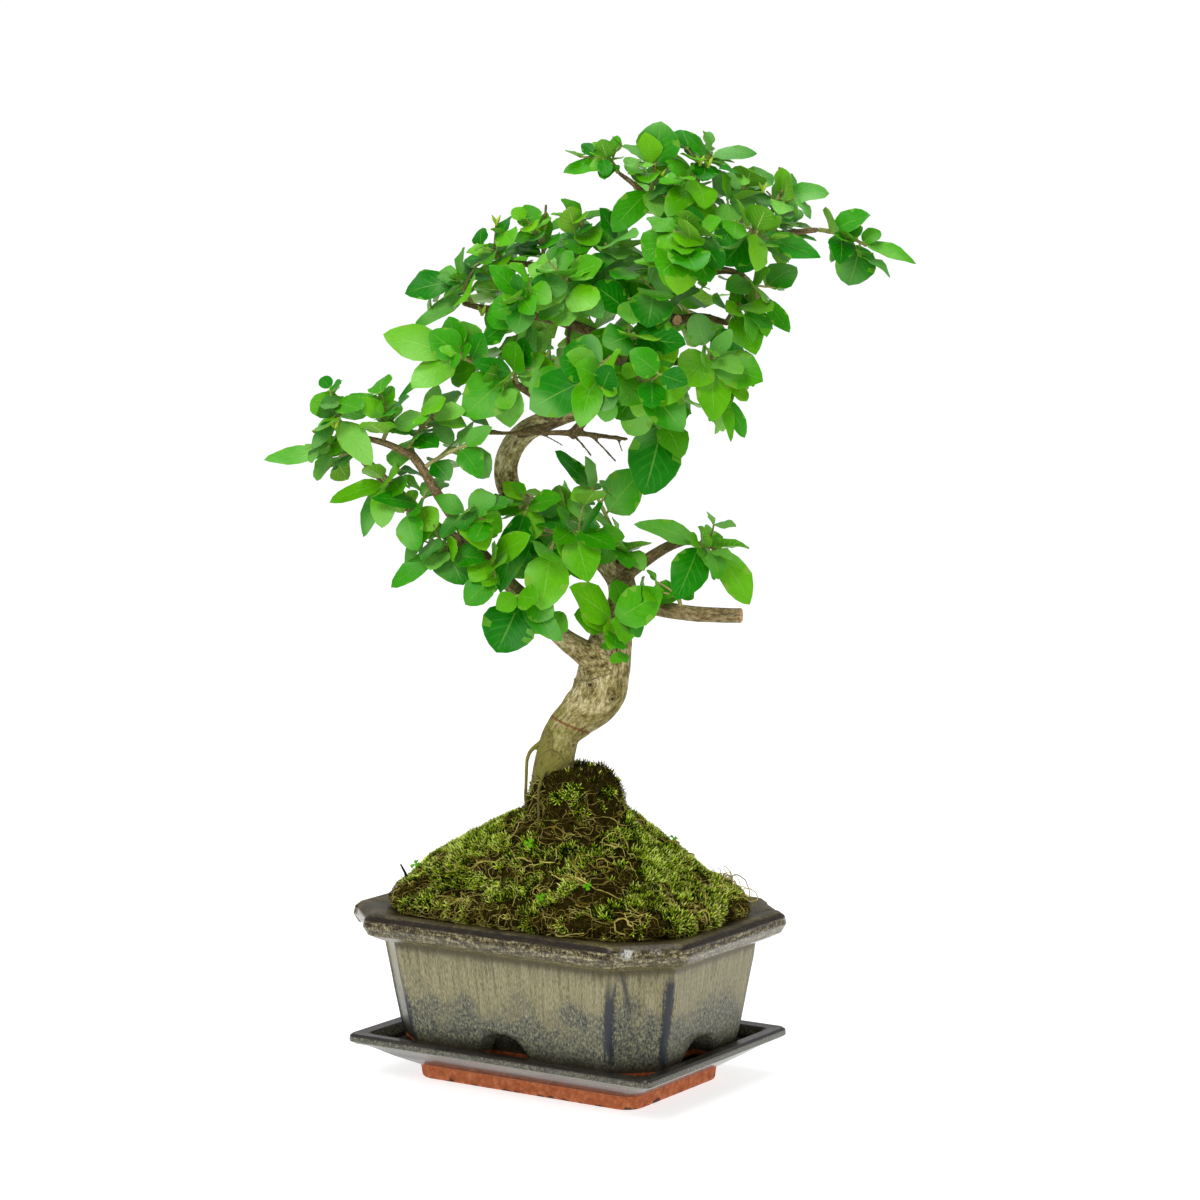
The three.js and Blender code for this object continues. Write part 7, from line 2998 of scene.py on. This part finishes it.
MOSS_LEAF = Toned("moss_leaf", (
    (0.26, 10, 14, 0), (0.4, 46, 66, 0), (0.52, 110, 148, 0), (0.66, 204, 232, 36), (0.8, 246, 252, 156),
), 0.7, tips=0.5)
ROOTLET = Toned("rootlet", (
    (0.2, 22, 16, 0), (0.38, 66, 54, 10), (0.54, 134, 120, 42), (0.76, 206, 194, 108),
), 0.6)
STALK = Toned("moss_stalk", (
    (0.2, 28, 22, 4), (0.4, 58, 50, 12), (0.6, 92, 84, 28), (0.85, 140, 130, 66),
), 0.7)
DEAD_WOOD = Toned("dead_wood", ((0.25, 30, 20, 10), (0.5, 62, 46, 24), (0.75, 100, 80, 48)), 0.8)
BUD = Toned("young_bud", ((0.25, 110, 160, 30), (0.5, 156, 192, 50), (0.75, 192, 208, 84)), 0.5)
CLOVER = Toned("clover_leaf", ((0.25, 88, 150, 4), (0.5, 120, 180, 16), (0.75, 160, 206, 50)), 0.5)
SOIL = Toned("potting_soil", ((0.25, 18, 12, 4), (0.5, 42, 32, 14), (0.75, 78, 62, 30)), 0.9)


# The studio


@dataclass(frozen=True)
class PaleFloor(Finish):
    """A pale floor that glows a little, so that its far edge melts into the backdrop."""

    name = "pale_floor"
    fixed = {
        "Base Color": (0.6, 0.6, 0.6, 1.0), "Roughness": 0.6, "Emission Color": (1.0, 1.0, 1.0, 1.0),
        "Emission Strength": 0.72,
    }

    def wire(self, sheet: Sheet) -> dict[str, Value]:
        """Nothing varies."""
        return {}


@dataclass
class Studio:
    """The camera, the lights and the pale floor.

    Attributes:
        aim: the azimuth and elevation from which the photo looks, in degrees.
        distance: of the camera from the pot's axis, in millimetres.
        shift: how far the camera stands to the right, and how high its aim is.
        lens: in millimetres on a 36 mm sensor.
        ambient: the light from all round.
        backdrop: how bright the surroundings look.
    """

    aim: tuple[float, float] = (33.0, 6.0)
    distance: float = 1650.0
    shift: tuple[float, float] = (16.0, 243.0)
    lens: float = 99.0
    ambient: float = 0.5
    backdrop: float = 1.03

    def camera(self) -> None:
        """Sets the camera."""
        turn, rise = (radians(angle) for angle in self.aim)
        back = Vector((sin(turn) * cos(rise), -cos(turn) * cos(rise), sin(rise)))
        right = Vector((cos(turn), sin(turn), 0.0))
        aside, height = self.shift
        made = bpy.data.objects.new("camera", bpy.data.cameras.new("camera"))
        made.data.lens, made.data.sensor_width = self.lens, 36.0
        made.location = (Vector((0.0, 0.0, height)) + back * self.distance + right * aside) * METRES
        made.rotation_euler = back.to_track_quat("Z", "Y").to_euler()
        bpy.context.scene.collection.objects.link(made)
        bpy.context.scene.camera = made

    def lamp(self, name: str, view_place: Row, size: float, power: float) -> None:
        """Adds a soft light that looks at the tree, from a place of the front view.

        Args:
            name: the lamp's name.
            view_place: across, toward and up, in millimetres.
            size: its diameter, in metres.
            power: in watts.
        """
        made = bpy.data.objects.new(name, bpy.data.lights.new(name, "AREA"))
        made.data.shape, made.data.size, made.data.energy = "DISK", size, power
        made.location = Vector(turned(view_place)) * METRES
        towards = made.location - Vector((0.0, 0.0, 0.25))
        made.rotation_euler = towards.to_track_quat("Z", "Y").to_euler()
        bpy.context.scene.collection.objects.link(made)

    def build(self) -> None:
        """Sets up the studio."""
        self.camera()
        self.lamp("key", (-600, 1300, 1300), 0.7, 15.5)
        self.lamp("fill", (1300, 900, 500), 1.0, 3.0)
        self.lamp("top", (0, -100, 1700), 0.8, 13.0)
        world = bpy.data.worlds.new("studio")
        world.use_nodes = True
        sheet = Sheet(world.node_tree)
        seen_straight = sheet.node("ShaderNodeLightPath", {}, {}, "Is Camera Ray")
        surface = world.node_tree.nodes["Background"]
        surface.inputs["Color"].default_value = (1.0, 1.0, 1.0, 1.0)
        strength = self.ambient + seen_straight * (self.backdrop - self.ambient)
        world.node_tree.links.new(strength.socket, surface.inputs["Strength"])
        bpy.context.scene.world = world
        bpy.context.scene.view_settings.view_transform = "Standard"
        self.floor()

    def floor(self) -> None:
        """Adds the pale floor."""
        reach, sides = 9000.0, 64
        ring = [(reach * cos(t), reach * sin(t), 0.0) for t in np.arange(sides) * 2 * pi / sides]
        floor_piece = make_object("floor", make_mesh("floor", ring, [tuple(range(sides))]))
        floor_piece.data.materials.append(PaleFloor().make())


def main() -> None:
    """Builds the studio, then the object's sub-assemblies in order."""
    logging.basicConfig(level=logging.INFO, format="%(name)s: %(message)s")
    Studio().build()
    strands = strand_grower()
    Saucer().build(SaucerGlaze().make())
    Pot().build(PotGlaze().make())
    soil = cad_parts["soil"]
    soil.data.materials.clear()
    soil.data.materials.append(SOIL.make())
    mound = Mound()
    mound.build(MossSkin().make())
    growth = Undergrowth(mound)
    growth.sward(sward_grower(), MOSS_LEAF.make())
    wiry = ROOTLET.make()
    growth.rootlets(strands, wiry)
    growth.curly_roots(strands, wiry)
    growth.column_stalks(strands, STALK.make())
    growth.clover(CLOVER.make())
    growth.litter(strands, DEAD_WOOD.make())
    tree = Tree()
    tree.wood(strands, Bark().make())
    tree.foliage(PrivetLeaf().make())
    tree.buds(strands, BUD.make())


if __name__ == "__main__":
    main()
